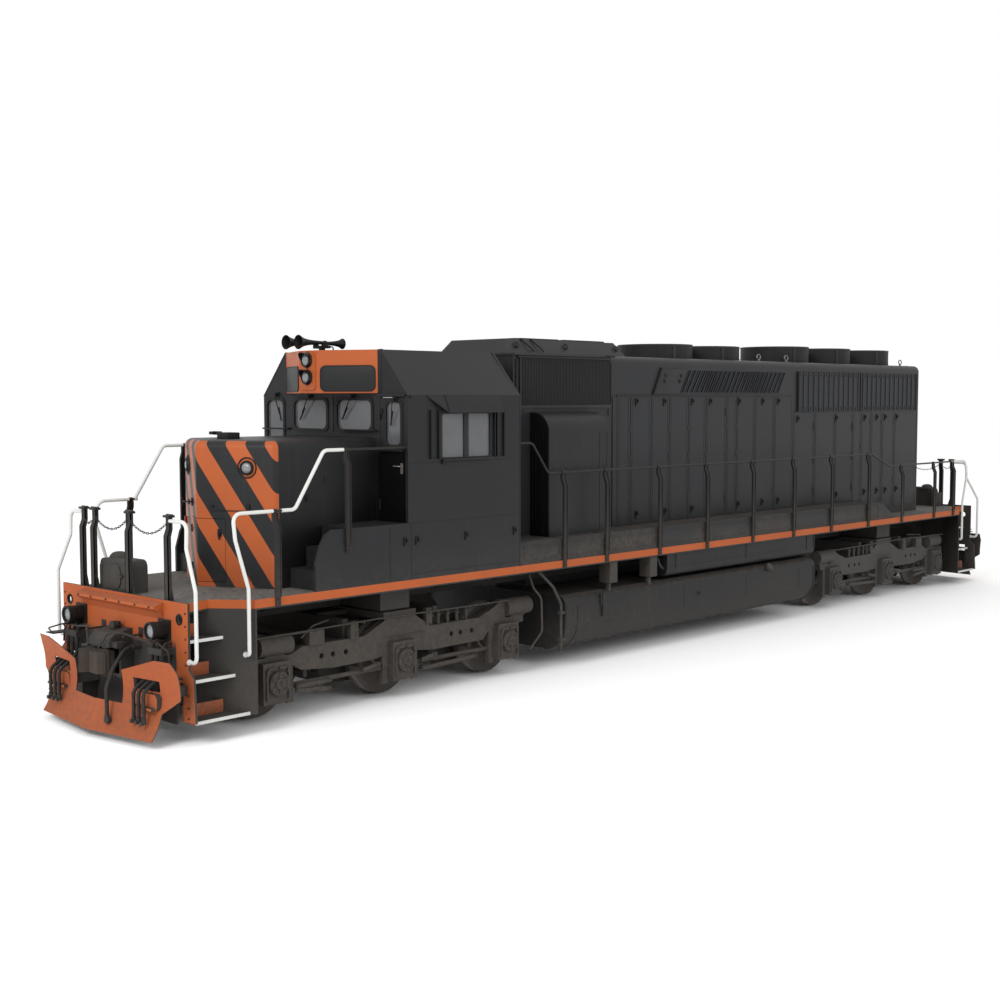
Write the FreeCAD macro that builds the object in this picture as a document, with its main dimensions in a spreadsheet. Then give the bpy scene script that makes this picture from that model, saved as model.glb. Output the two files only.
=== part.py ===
"""Six-axle diesel road locomotive with a low nose, built as an assembly of its real pieces.

Frame: +X towards the nose, +Y to the left side, +Z up. The origin is under the middle of the
locomotive, on the plane that the wheel flanges touch. Lengths are millimetres, angles degrees.
"""
import FreeCAD, Part
import Sketcher
import math
import os
from FreeCAD import Placement, Rotation, Vector

document = FreeCAD.newDocument("diesel_locomotive")
sheet = document.addObject("Spreadsheet::Sheet", "Sizes")


# ---------------------------------------------------------------- sizes held in the sheet

class Size:
    """A length that carries its number and the sheet formula that it comes from."""

    def __init__(self, number, formula):
        self.number = number
        self.formula = formula

    def __add__(self, other):
        return Size(self.number + size(other).number, f"({self.formula} + {size(other).formula})")

    def __sub__(self, other):
        return Size(self.number - size(other).number, f"({self.formula} - {size(other).formula})")

    def __mul__(self, other):
        return Size(self.number * size(other).number, f"({self.formula} * {size(other).formula})")

    def __truediv__(self, other):
        return Size(self.number / size(other).number, f"({self.formula} / {size(other).formula})")

    def __neg__(self):
        return self * -1

    __radd__ = __add__
    __rmul__ = __mul__

    def __rsub__(self, other):
        return size(other) - self

    def __lt__(self, other):
        return self.number < size(other).number


def size(entry):
    """A plain number as a Size, or the Size itself."""
    if isinstance(entry, Size):
        return entry
    return Size(float(entry), f"({float(entry):.6f})")


def store(table):
    """Write rows of (alias, value, meaning) to the sheet and give the values back by alias."""
    stored = {}
    for alias, value, meaning in table:
        row = store.next_row
        sheet.set(f"A{row}", alias)
        sheet.set(f"B{row}", str(value))
        sheet.set(f"C{row}", meaning)
        sheet.setAlias(f"B{row}", alias)
        stored[alias] = Size(float(value), f"Sizes.{alias}")
        store.next_row += 1
    return type("Sizes", (), stored)


store.next_row = 1

frame = store((
    ("sill_half_width", 1540, "middle to the outer face of the side sill"),
    ("sill_depth", 125, "height of the side sill"),
    ("sill_web", 14, "thickness of the side sill plate"),
    ("sill_flange", 80, "width of the side sill's lower flange"),
    ("deck_top", 1640, "walking surface above the flange tips"),
    ("deck_plate", 20, "thickness of the deck plate"),
    ("deck_end", 9200, "end of the full-width deck from the middle"),
    ("platform_corner", 9563, "inner corner of the step well from the middle"),
    ("platform_half_width", 1096, "half width of the platform at that corner"),
    ("platform_end_half_width", 1230, "half width of the platform at the end plate"),
    ("end_plate_face", 10050, "outer face of the end plate from the middle"),
    ("end_plate_thickness", 30, "thickness of the end plate"),
    ("centre_sill_half_width", 330, "half width of the centre sill"),
    ("centre_sill_bottom", 1205, "underside of the centre sill"),
    ("bolster_half_width", 1150, "half width of the body bolster"),
    ("bolster_half_length", 260, "half length of the body bolster along the track"),
    ("crossbearer_thickness", 24, "plate of the cross bearers between the sills"),
    ("bearer_flat", 400, "level outer end of a cross bearer"),
    ("bogie_centre", 6629.5, "bogie pivot from the middle"),
    ("pivot_radius", 120, "centre pin on the body"),
    ("pivot_length", 60, "length of the centre pin below the body plate"),
    ("pivot_plate_radius", 300, "round centre plate on the body"),
    ("fit_clearance", 0.05, "radial clearance of a shaft in its bore"),
    ("seat_gap", 0.3, "gap between pieces that rest on one another"),
))

wheels = store((
    ("tread_radius", 508, "wheel tread"),
    ("flange_height", 25, "flange tip outside the tread"),
    ("flange_width", 36, "thickness of the flange at its foot"),
    ("rim_width", 140, "width of the wheel rim with its flange"),
    ("rim_depth", 70, "depth of the rim below the tread"),
    ("web_thickness", 32, "plate between hub and rim"),
    ("hub_radius", 150, "wheel hub"),
    ("hub_overhang", 22, "hub beyond each side of the rim"),
    ("back_to_back", 1360, "distance between the inner faces of the wheels"),
    ("axle_radius", 95, "axle body"),
    ("journal_radius", 78, "axle end in its journal box"),
    ("journal_start", 1050, "start of the journal from the middle"),
    ("journal_end", 1235, "end of the journal from the middle"),
))

bogie = store((
    ("axle_reach", 2070, "outer and inner axle from the pivot"),
    ("middle_axle_shift", 47, "middle axle from the pivot towards the middle of the locomotive"),
    ("side_inner", 1080, "inner face of the side frame"),
    ("side_outer", 1190, "outer face of the side frame"),
    ("beam_top", 915, "top of the side frame between the axles"),
    ("hump_top", 1090, "top of the side frame under the bolster"),
    ("beam_bottom", 590, "bottom of the side frame between the axles"),
    ("end_top", 840, "top of the side frame beyond the outer axle"),
    ("leg_bottom", 235, "bottom of the pedestal legs"),
    ("leg_width", 105, "width of a pedestal leg"),
    ("box_opening", 420, "pedestal opening along the track"),
    ("opening_top", 790, "top of the pedestal opening"),
    ("frame_end", 2480, "end of the side frame from the pivot"),
    ("bolster_top", 1185, "top of the bogie bolster"),
    ("bogie_bolster_half_length", 340, "half length of the bogie bolster along the track"),
    ("transom_inner", 820, "near face of a transom from the pivot"),
    ("transom_outer", 1200, "far face of a transom from the pivot"),
    ("frame_hole_radius", 36, "lightening holes of the side frame"),
    ("frame_hole_height", 752, "centre of the lightening holes"),
))

boxes = store((
    ("box_inner", 1060, "inner face of a journal box"),
    ("box_outer", 1290, "outer face of a journal box"),
    ("box_bottom", 275, "bottom of a journal box"),
    ("cover_radius", 150, "round cover of a journal box"),
    ("cover_depth", 42, "cover beyond the journal box"),
    ("cylinder_radius", 128, "brake cylinder"),
    ("cylinder_length", 500, "brake cylinder"),
    ("rod_radius", 30, "brake rod between the pedestals"),
    ("rod_height", 445, "brake rods above the flange tips"),
    ("shoe_gap", 12, "released brake shoe from the tread"),
    ("shoe_depth", 60, "thickness of a brake shoe"),
    ("shoe_width", 90, "width of a brake shoe"),
    ("shoe_half_angle", 20, "half of the angle that a shoe covers"),
    ("motor_half_width", 520, "half width of a traction motor"),
    ("motor_bottom", 200, "underside of a traction motor"),
    ("motor_top", 900, "top of a traction motor"),
    ("motor_bevel", 170, "bevelled edges of a traction motor"),
    ("motor_axle_gap", 18, "traction motor from the axle"),
))

# ---------------------------------------------------------------- drawing helpers

PLANES = {"xy": "XY_Plane", "xz": "XZ_Plane", "yz": "YZ_Plane"}
ALONG = {"x": Rotation(Vector(0, 1, 0), 90), "y": Rotation(Vector(1, 0, 0), -90), "z": Rotation()}
MIRRORS = {"x": Vector(1, 0, 0), "y": Vector(0, 1, 0)}


def bind(item, field, entry):
    item.setExpression(field, size(entry).formula)


def place(item, x, y, z):
    for field, entry in (("x", x), ("y", y), ("z", z)):
        bind(item, "Placement.Base." + field, entry)


def span(pair):
    """The two ends of a stretch with the lower one first."""
    first, second = size(pair[0]), size(pair[1])
    return (first, second) if first < second else (second, first)


def block(name, x, y, z):
    """A straight block between two places along each axis."""
    item = document.addObject("Part::Box", name)
    ends = [span(pair) for pair in (x, y, z)]
    for field, (low, high) in zip(("Length", "Width", "Height"), ends):
        bind(item, field, high - low)
    place(item, ends[0][0], ends[1][0], ends[2][0])
    return item


def rod(name, radius, axis, ends, at):
    """A round bar along an axis, between two ends, at the two other coordinates in order."""
    item = document.addObject("Part::Cylinder", name)
    low, high = span(ends)
    bind(item, "Radius", radius)
    bind(item, "Height", high - low)
    item.Placement = Placement(Vector(), ALONG[axis])
    base = list(at)
    base.insert("xyz".index(axis), low)
    place(item, *base)
    return item


def origin_plane(body, plane):
    return next(f for f in body.Origin.OriginFeatures if f.Role == PLANES[plane])


def draw_polygon(sketch, corners):
    """Close a polygon through corners that the sheet places."""
    first = sketch.GeometryCount
    corners = [(size(u), size(v)) for u, v in corners]
    spots = [Vector(u.number, v.number, 0) for u, v in corners]
    count = len(spots)
    sketch.addGeometry([Part.LineSegment(spots[i], spots[(i + 1) % count]) for i in range(count)])
    for i in range(count):
        here, after = first + i, first + (i + 1) % count
        sketch.addConstraint(Sketcher.Constraint("Coincident", here, 2, after, 1))
    for i, corner in enumerate(corners):
        for kind, entry in zip(("DistanceX", "DistanceY"), corner):
            pin(sketch, kind, first + i, 1, entry)


def pin(sketch, kind, element, point, entry):
    """Hold one coordinate of a sketch point at a size from the sheet."""
    if abs(entry.number) < 1e-9:
        axis = -2 if kind == "DistanceX" else -1
        sketch.addConstraint(Sketcher.Constraint("PointOnObject", element, point, axis))
        return
    if entry.number > 0:
        order = (-1, 1, element, point)
    else:
        order, entry = (element, point, -1, 1), -entry
    index = sketch.addConstraint(Sketcher.Constraint(kind, *order, entry.number))
    sketch.setExpression(f"Constraints[{index}]", entry.formula)


def draw_circle(sketch, centre, radius):
    u, v, r = size(centre[0]), size(centre[1]), size(radius)
    element = sketch.addGeometry(Part.Circle(Vector(u.number, v.number, 0), Vector(0, 0, 1), r.number))
    index = sketch.addConstraint(Sketcher.Constraint("Radius", element, r.number))
    sketch.setExpression(f"Constraints[{index}]", r.formula)
    pin(sketch, "DistanceX", element, 3, u)
    pin(sketch, "DistanceY", element, 3, v)


def sketch_on(body, name, plane, offset, outlines, circles=()):
    """A sketch of polygons and circles on a plane of the body, moved along its normal."""
    sketch = body.newObject("Sketcher::SketchObject", name)
    sketch.AttachmentSupport = (origin_plane(body, plane), [""])
    sketch.MapMode = "FlatFace"
    bind(sketch, "AttachmentOffset.Base.z", -offset if plane == "xz" else offset)
    for corners in outlines:
        draw_polygon(sketch, corners)
    for centre, radius in circles:
        draw_circle(sketch, centre, radius)
    return sketch


def plate(name, plane, ends, outlines, circles=()):
    """A body padded between two places along the normal of the plane it is drawn on."""
    body = document.addObject("PartDesign::Body", name)
    low, high = span(ends)
    sketch = sketch_on(body, name + "_outline", plane, low, outlines, circles)
    pad = body.newObject("PartDesign::Pad", name + "_pad")
    pad.Profile = sketch
    pad.Reversed = plane == "xz"
    bind(pad, "Length", high - low)
    return body


def turned(name, corners, x, z):
    """A body turned about an axis along Y: corners are (place along Y, radius)."""
    body = document.addObject("PartDesign::Body", name)
    sketch = sketch_on(body, name + "_outline", "xy", size(0), [[(r, y) for y, r in corners]])
    turn = body.newObject("PartDesign::Revolution", name + "_turn")
    turn.Profile = sketch
    turn.ReferenceAxis = (sketch, ["V_Axis"])
    turn.Angle = 360
    place(body, x, 0, z)
    return body


def rounded(body, radius, chosen):
    """Round those edges of the body's last feature that the test picks."""
    document.recompute()
    tip = body.Tip
    names = [f"Edge{i + 1}" for i, edge in enumerate(tip.Shape.Edges) if chosen(edge)]
    fillet = body.newObject("PartDesign::Fillet", body.Name + f"_round{len(body.Group)}")
    fillet.Base = (tip, names)
    bind(fillet, "Radius", radius)
    return body


def edges_along(axis, **places):
    """A test for straight edges parallel to an axis whose middle is at the given places."""
    direction = {"x": Vector(1, 0, 0), "y": Vector(0, 1, 0), "z": Vector(0, 0, 1)}[axis]

    def chosen(edge):
        if len(edge.Vertexes) != 2 or edge.Curve.TypeId != "Part::GeomLine":
            return False
        run = edge.Vertexes[1].Point - edge.Vertexes[0].Point
        middle = edge.CenterOfMass
        parallel = run.cross(direction).Length < 1e-6 * run.Length
        near = all(any(abs(getattr(middle, at) - size(entry).number) < 1 for entry in entries)
                   for at, entries in places.items())
        return parallel and near

    return chosen


def fused(name, items):
    item = document.addObject("Part::MultiFuse", name)
    item.Shapes = items
    item.Refine = True
    return item


def cut(name, base, tools):
    item = document.addObject("Part::Cut", name)
    item.Base = base
    item.Tool = tools[0] if len(tools) == 1 else fused(name + "_tools", tools)
    item.Refine = True
    return item


def together(name, items):
    """Like pieces that do not touch, kept in one node."""
    item = document.addObject("Part::Compound", name)
    item.Links = items
    return item


def mirrored(name, source, *axes):
    """A copy mirrored in the plane across each named axis."""
    for step, axis in enumerate(axes):
        last = step == len(axes) - 1
        item = document.addObject("Part::Mirroring", name if last else f"{name}_step{step}")
        item.Source = source
        item.Normal = MIRRORS[axis]
        source = item
    return source


def both_sides(name, source):
    """The piece and its mirror image across the middle plane, in one node."""
    return together(name, [source, mirrored(name + "_right", source, "y")])


def tube(name, points, radius):
    """A round bar that runs through points in space, mitred where it turns."""
    corners = [Vector(*(size(entry).number for entry in point)) for point in points]
    start = (corners[1] - corners[0]).normalize()
    profile = Part.Wire(Part.Circle(corners[0], start, size(radius).number).toShape())
    item = document.addObject("Part::Feature", name)
    item.Shape = Part.makePolygon(corners).makePipeShell([profile], True, False, 1)
    return item


def hose_section(place, direction, radius):
    """Eight-sided face square to the hose; every hose bends in a plane along the locomotive."""
    across = Vector(0, 1, 0)
    upright = direction.cross(across)
    angles = [math.radians(22.5 + 45 * number) for number in range(8)]
    ring = [place + across * (radius * math.cos(angle)) + upright * (radius * math.sin(angle))
            for angle in angles]
    return Part.Face(Part.makePolygon(ring + ring[:1]))


def hose(name, points, radius):
    """A hose whose straight runs are joined by arcs as large as the runs allow."""
    corners = [Vector(*(size(entry).number for entry in point)) for point in points]
    radius = size(radius).number
    pieces, start = [], corners[0]
    for before, corner, after in zip(corners, corners[1:], corners[2:]):
        reach = 0.45 * min((corner - before).Length, (after - corner).Length)
        into, out = (corner - before).normalize(), (after - corner).normalize()
        turn, axis = into.getAngle(out), into.cross(out).normalize()
        first = corner - into * reach
        centre = first + axis.cross(into) * (reach / math.tan(turn / 2))
        pieces.append(hose_section(start, into, radius).extrude(first - start))
        pieces.append(hose_section(first, into, radius).revolve(centre, axis, math.degrees(turn)))
        start = corner + out * reach
    last = corners[-1] - start
    pieces.append(hose_section(start, Vector(last).normalize(), radius).extrude(last))
    item = document.addObject("Part::Feature", name)
    item.Shape = pieces[0].multiFuse(pieces[1:]).removeSplitter()
    return item


def hinge(name, x, y, heights, leaf):
    """Lift-off hinges on one upright line: the fixed halves with their pins, and the swinging halves.

    The leaf gives the depth back to the panel, signed along X, and the reach along Y, signed
    towards the door.
    """
    radius, height, pin_radius = hinges.knuckle_radius, hinges.knuckle_height, hinges.hinge_pin_radius
    depth, reach = leaf
    fixed, swinging = [], []
    for number, low in enumerate(heights):
        middle = low + height
        top = middle + height
        seat = middle + frame.seat_gap
        post = rod(f"{name}_post_{number}", radius, "z", (low, middle), (x, y))
        pin_rod = rod(f"{name}_pin_{number}", pin_radius, "z", (middle, top - hinges.pin_short), (x, y))
        strap = block(f"{name}_strap_{number}", (x, x + depth), (y, y - reach), (low, middle))
        fixed.append(fused(f"{name}_fixed_{number}", [post, pin_rod, strap]))
        eye = rod(f"{name}_eye_{number}", radius, "z", (seat, top), (x, y))
        arm = block(f"{name}_arm_{number}", (x, x + depth), (y, y + reach), (seat, top))
        bore = rod(f"{name}_bore_{number}", pin_radius + frame.fit_clearance, "z", (low, top + 10), (x, y))
        swinging.append(cut(f"{name}_swinging_{number}", fused(f"{name}_eye_and_arm_{number}", [eye, arm]),
                            [bore]))
    return fixed, swinging


nodes = {}


def keep(item, label):
    """Give the piece its own label, which names its file."""
    item.Label = label
    nodes[label] = item
    return item


hinges = store((
    ("knuckle_radius", 16, "hinge knuckle, and hinge line beyond the door's face"),
    ("knuckle_height", 70, "each half of a hinge"),
    ("hinge_pin_radius", 8, "hinge pin"),
    ("pin_short", 6, "hinge pin below the top of its knuckle"),
    ("strap_reach", 45, "hinge strap along the panel"),
    ("hinge_inset", 150, "lower and upper hinge from the ends of the door"),
))


# ---------------------------------------------------------------- underframe and ends

def build_underframe():
    web, flange = frame.sill_web, frame.sill_flange
    outer, top = frame.sill_half_width, frame.deck_top
    sill_bottom = top - frame.sill_depth
    under_deck = top - frame.deck_plate
    half = [(outer, top), (outer, sill_bottom), (outer - flange, sill_bottom),
            (outer - flange, sill_bottom + web), (outer - web, sill_bottom + web),
            (outer - web, under_deck)]
    section = half + [(-y, z) for y, z in reversed(half)]
    deck = plate("deck", "yz", (-frame.deck_end, frame.deck_end), [section])
    centre_half = frame.centre_sill_half_width
    sill = block("centre_sill", (-frame.platform_corner, frame.platform_corner),
                 (-centre_half, centre_half), (frame.centre_sill_bottom, under_deck))
    pieces = [deck, sill]
    bearer = frame.crossbearer_thickness
    for number, station in enumerate((-8200, -5100, -3700, -2100, -500, 1100, 2700, 3900, 5100, 8200)):
        corners = [(centre_half, frame.centre_sill_bottom + 60), (outer - frame.bearer_flat, sill_bottom),
                   (outer - flange, sill_bottom), (outer - web, sill_bottom + web),
                   (outer - web, under_deck), (centre_half, under_deck)]
        for side, points in (("left", corners), ("right", [(-y, z) for y, z in corners])):
            pieces.append(plate(f"bearer_{side}_{number}", "yz",
                                (size(station), size(station) + bearer), [points]))
    for end, name in ((1, "front"), (-1, "rear")):
        centre = frame.bogie_centre * end
        reach = frame.bolster_half_length
        pieces.append(block(f"{name}_bolster", (centre - reach, centre + reach),
                            (-frame.bolster_half_width, frame.bolster_half_width),
                            (frame.centre_sill_bottom, under_deck)))
        plate_bottom = bogie.bolster_top + frame.seat_gap
        pieces.append(rod(f"{name}_centre_plate", frame.pivot_plate_radius, "z",
                          (plate_bottom, frame.centre_sill_bottom), (centre, 0)))
        pieces.append(rod(f"{name}_centre_pin", frame.pivot_radius, "z",
                          (plate_bottom - frame.pivot_length, plate_bottom), (centre, 0)))
        pieces.append(platform(name, end))
    return keep(fused("underframe", pieces), "underframe")


def platform(name, end):
    """The end platform between the step wells, as deep as the side sill."""
    outline = [(frame.deck_end, frame.sill_half_width), (frame.platform_corner, frame.platform_half_width),
               (frame.end_plate_face - frame.end_plate_thickness, frame.platform_end_half_width)]
    outline = outline + [(x, -y) for x, y in reversed(outline)]
    return plate(f"{name}_platform", "xy", (frame.deck_top - frame.sill_depth, frame.deck_top),
                 [[(x * end, y) for x, y in outline]])


ends = store((
    ("plate_half_width", 1404, "half width of the end plate above the steps"),
    ("plate_top", 1668, "top of the end plate"),
    ("plate_notch", 890, "bottom of the wide part of the end plate"),
    ("wing_top", 805, "top of the end plate's outer wing beside the steps"),
    ("wing_half_width", 1530, "outer edge of that wing at its bottom"),
    ("wing_inner", 1290, "inner edge of that wing at its bottom"),
    ("wing_bottom", 285, "bottom of that wing"),
    ("pocket_half_width", 250, "outside of the coupler pocket"),
    ("pocket_wall", 40, "walls of the coupler pocket"),
    ("pocket_bottom", 680, "underside of the coupler pocket"),
    ("pocket_top", 1060, "top of the coupler pocket"),
    ("pocket_rear", 9600, "rear of the coupler pocket from the middle"),
    ("pocket_face", 10230, "front of the coupler pocket from the middle"),
    ("striker_reach", 330, "striker casting over the coupler beyond the end plate"),
    ("striker_half_width", 230, "half width of the striker casting"),
    ("striker_top", 1265, "top of the striker casting at the end plate"),
    ("ledge_half_width", 900, "half width of the anticlimber ledge"),
    ("ledge_reach", 130, "anticlimber ledge beyond the end plate"),
    ("ledge_drop", 230, "height of the ledge on the end plate"),
    ("light_spacing", 940, "ditch lights from the middle plane"),
    ("light_height", 1325, "ditch lights above the flange tips"),
    ("light_radius", 95, "ditch light housing"),
    ("light_length", 190, "ditch light housing beyond the end plate"),
    ("hole_radius", 52, "round holes of the end plate"),
    ("hole_spacing", 1235, "round holes from the middle plane"),
    ("hole_height", 1470, "round holes above the flange tips"),
    ("skirt_thickness", 16, "plate behind the steps"),
    ("tread_thickness", 30, "step plate"),
))

STEPS = (  # top of the tread, its outer edge and its inner edge from the middle plane
    (1205, 1235, 990),
    (750, 1345, 1100),
    (295, 1480, 1230),
)


def build_pilot():
    """End plate, ledge, coupler pocket, steps and ditch lights at the nose end."""
    face = frame.end_plate_face
    back = face - frame.end_plate_thickness
    half = [(ends.plate_half_width, ends.plate_top), (ends.plate_half_width, ends.plate_notch),
            (ends.wing_half_width - 30, ends.wing_top), (ends.wing_half_width, ends.wing_bottom),
            (ends.wing_inner, ends.wing_bottom), (ends.wing_inner, ends.wing_top),
            (ends.pocket_half_width, ends.wing_top), (ends.pocket_half_width, ends.pocket_top)]
    outline = half + [(-y, z) for y, z in reversed(half)]
    holes = [((side * ends.hole_spacing, ends.hole_height), ends.hole_radius) for side in (1, -1)]
    pieces = [plate("end_plate", "yz", (back, face), [outline], holes)]
    ledge = [(face, ends.plate_top - 30), (face + ends.ledge_reach, ends.plate_top - 70),
             (face + ends.ledge_reach, ends.plate_top - 100), (face + 40, ends.plate_top - 150),
             (face, ends.plate_top - ends.ledge_drop)]
    pieces.append(plate("ledge", "xz", (-ends.ledge_half_width, ends.ledge_half_width), [ledge]))
    pieces.append(coupler_pocket())
    striker = [(face, ends.pocket_top - 1), (face + ends.striker_reach, ends.pocket_top - 1),
               (face + ends.striker_reach, ends.pocket_top + 80),
               (face + ends.striker_reach - 90, ends.pocket_top + 150), (face, ends.striker_top)]
    pieces.append(plate("striker", "xz", (-ends.striker_half_width, ends.striker_half_width), [striker]))
    pieces.append(rod("brake_pipe", hoses.brake_hose_radius + hoses.hose_sleeve, "x",
                      (face, face + hoses.brake_pipe_reach), (hoses.brake_hose_across, hoses.brake_pipe_height)))
    for side, name in ((1, "left"), (-1, "right")):
        pieces.extend(step_well(name, side))
        pieces.append(block(f"{name}_manifold", (face, face + hoses.manifold_reach),
                            (hoses.manifold_inner * side, hoses.manifold_outer * side),
                            (hoses.manifold_bottom, hoses.manifold_bottom + hoses.manifold_height)))
        lamp = (side * ends.light_spacing, ends.light_height)
        pieces.append(rod(f"{name}_ditch_light", ends.light_radius, "x", (face, face + ends.light_length), lamp))
    pilot = fused("front_pilot", pieces)
    keep(pilot, "front_pilot")
    return keep(mirrored("rear_pilot", pilot, "x"), "rear_pilot")


def coupler_pocket():
    """Square tube that holds the coupler shank, hung from the platform."""
    wall, half = ends.pocket_wall, ends.pocket_half_width
    outer = [(-half, ends.pocket_bottom), (half, ends.pocket_bottom), (half, ends.pocket_top),
             (-half, ends.pocket_top)]
    inner = [(-half + wall, ends.pocket_bottom + wall), (half - wall, ends.pocket_bottom + wall),
             (half - wall, ends.pocket_top - wall), (-half + wall, ends.pocket_top - wall)]
    pocket = plate("coupler_pocket", "yz", (ends.pocket_rear, ends.pocket_face), [outer, inner])
    post = block("pocket_hanger", (ends.pocket_rear, frame.end_plate_face - frame.end_plate_thickness),
                 (-half, half), (ends.pocket_top, frame.deck_top - frame.sill_depth))
    rear_wall = block("pocket_rear_wall", (ends.pocket_rear, ends.pocket_rear + wall), (-half, half),
                      (ends.pocket_bottom, ends.pocket_top))
    return fused("draft_gear", [pocket, post, rear_wall])


def skirt_line(across):
    """Place along the locomotive where the slanted plate behind the steps stands."""
    slope = (frame.platform_corner - frame.deck_end) / (frame.sill_half_width - frame.platform_half_width)
    return frame.deck_end + slope * (frame.sill_half_width - across)


def step_well(name, side):
    """Three treads between the end plate and the slanted skirt behind them."""
    back = frame.end_plate_face - frame.end_plate_thickness
    inner_wall = size(STEPS[0][2]) - 14
    under = frame.deck_top - frame.sill_depth
    thick = ends.skirt_thickness
    skirt = [(frame.deck_end, frame.sill_half_width), (skirt_line(inner_wall), inner_wall),
             (skirt_line(inner_wall) - thick * 1.4, inner_wall),
             (frame.deck_end - thick * 1.4, frame.sill_half_width)]
    pieces = [plate(f"{name}_skirt", "xy", (size(STEPS[2][0]) - ends.tread_thickness, under),
                    [[(x, y * side) for x, y in skirt]])]
    for number, (height, outer, inner) in enumerate(STEPS):
        tread = [(skirt_line(size(outer)), size(outer)), (back, size(outer)), (back, size(inner)),
                 (skirt_line(size(inner)), size(inner))]
        pieces.append(plate(f"{name}_tread_{number}", "xy", (size(height) - ends.tread_thickness, height),
                            [[(x, y * side) for x, y in tread]]))
        pieces.append(block(f"{name}_riser_{number}", (skirt_line(size(inner)), back),
                            (size(inner) * side, (size(inner) - 14) * side),
                            (size(height) - ends.tread_thickness, size(height) + 160)))
    return pieces


plow = store((
    ("apex", 10610, "front of the blade's lower edge at the middle plane"),
    ("edge_bottom", 95, "lower edge of the blade"),
    ("edge_top", 1030, "top of the blade at its outer corners"),
    ("blade_half_width", 1535, "half width of the blade"),
    ("corner_half_width", 1240, "half width of the lower edge"),
    ("corner_height", 400, "top of the upright lower corners"),
    ("sweep", 190, "outer end of the lower edge behind the apex"),
    ("blade_thickness", 14, "blade plate"),
    ("blade_hollow", 170, "hollow of the rolled blade"),
    ("gap_half_width", 530, "opening for the coupler"),
    ("gap_bottom", 440, "lower edge of the opening for the coupler"),
    ("slot_inner", 730, "hose slot from the middle plane"),
    ("slot_outer", 1190, "far edge of the hose slot from the middle plane"),
    ("slot_bottom", 645, "bottom of the hose slot"),
    ("slot_top", 775, "top of the hose slot"),
    ("stay_width", 60, "stays between the blade and the end plate"),
    ("holder_inner", 740, "hose holder from the middle plane"),
    ("holder_outer", 1220, "far edge of the hose holder from the middle plane"),
    ("holder_bottom", 440, "bottom of the hose holder"),
    ("holder_bevel", 38, "bevelled corners of the hose holder"),
    ("holder_front", 10362, "front of the hose holder's plate from the middle"),
    ("holder_rear", 10290, "rear of the hose holder's plate from the middle"),
))


def blade_section():
    """Closed outline of the rolled blade plate on the middle plane."""
    bottom, top = plow.edge_bottom.number, plow.edge_top.number
    hollow, thick, x = plow.blade_hollow.number, plow.blade_thickness.number, plow.apex.number

    def arc(shift):
        low, high = Vector(x + shift, 0, bottom), Vector(x + shift - hollow * 0.45, 0, top)
        deep = Vector(x + shift - hollow, 0, bottom + (top - bottom) * 0.55)
        return low, Part.Arc(low, deep, high).toShape(), high

    low_front, face_arc, high_front = arc(0)
    low_back, back_arc, high_back = arc(-thick)
    return Part.Wire([face_arc, Part.LineSegment(high_front, high_back).toShape(), back_arc,
                      Part.LineSegment(low_back, low_front).toShape()])


def build_plow():
    """Rolled V blade cut to its front outline, with its hose holders and stays to the end plate."""
    swept = Vector(-plow.sweep.number, plow.blade_half_width.number, 0)
    sheet_half = document.addObject("Part::Feature", "blade_half")
    sheet_half.Shape = Part.Face(blade_section()).extrude(swept)
    blade = fused("blade", [sheet_half, mirrored("blade_other_half", sheet_half, "y")])
    half = [(plow.gap_half_width, plow.edge_top - 190), (plow.blade_half_width - 330, plow.edge_top),
            (plow.blade_half_width - 60, plow.edge_top), (plow.blade_half_width, plow.edge_top - 130),
            (plow.blade_half_width, plow.corner_height + 190), (plow.corner_half_width, plow.corner_height),
            (plow.corner_half_width, plow.edge_bottom - 10)]
    outline = [(plow.gap_half_width, plow.gap_bottom)] + half
    outline = outline + [(-y, z) for y, z in reversed(outline)]
    slots = [[(side * plow.slot_inner, plow.slot_bottom), (side * plow.slot_outer, plow.slot_bottom),
              (side * plow.slot_outer, plow.slot_top), (side * plow.slot_inner, plow.slot_top)]
             for side in (1, -1)]
    window = plate("blade_outline", "yz", (frame.end_plate_face, plow.apex + 20), [outline] + slots)
    shaped = document.addObject("Part::Common", "blade_shaped")
    shaped.Base, shaped.Tool = blade, window
    pieces = [shaped]
    for side, name in ((1, "left"), (-1, "right")):
        for number, (across, height) in enumerate(((560, 520), (1310, 600))):
            y = size(across) * side
            front = plow.apex - plow.sweep * (size(across) / plow.blade_half_width) - plow.blade_hollow
            pieces.append(block(f"{name}_stay_{number}", (frame.end_plate_face, front - plow.blade_thickness / 2),
                                (y, y + plow.stay_width * side),
                                (size(height), size(height) + plow.stay_width * 2)))
        pieces.append(hose_holder(f"{name}_hose_holder", side))
    front = keep(fused("front_plow", pieces), "front_plow")
    return keep(mirrored("rear_plow", front, "x"), "rear_plow")


def hose_holder(name, side):
    """Eight-sided plate on the blade below the hose slot, with the lip that the hoses rest on."""
    low_y, high_y, bevel = plow.holder_inner, plow.holder_outer, plow.holder_bevel
    low_z, high_z = plow.holder_bottom, plow.slot_bottom - 20
    outline = [(low_y, low_z + bevel), (low_y + bevel, low_z), (high_y - bevel, low_z), (high_y, low_z + bevel),
               (high_y, high_z - bevel), (high_y - bevel, high_z), (low_y + bevel, high_z),
               (low_y, high_z - bevel)]
    board = plate(name + "_board", "yz", (plow.holder_rear, plow.holder_front),
                  [[(y * side, z) for y, z in outline]])
    reach = hoses.hose_line - hoses.hose_radius - frame.seat_gap
    lip = block(name + "_lip", (plow.holder_rear, reach),
                ((low_y + bevel) * side, (high_y - bevel) * side), (low_z, low_z + hoses.lip_height))
    return fused(name, [board, lip])


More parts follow.
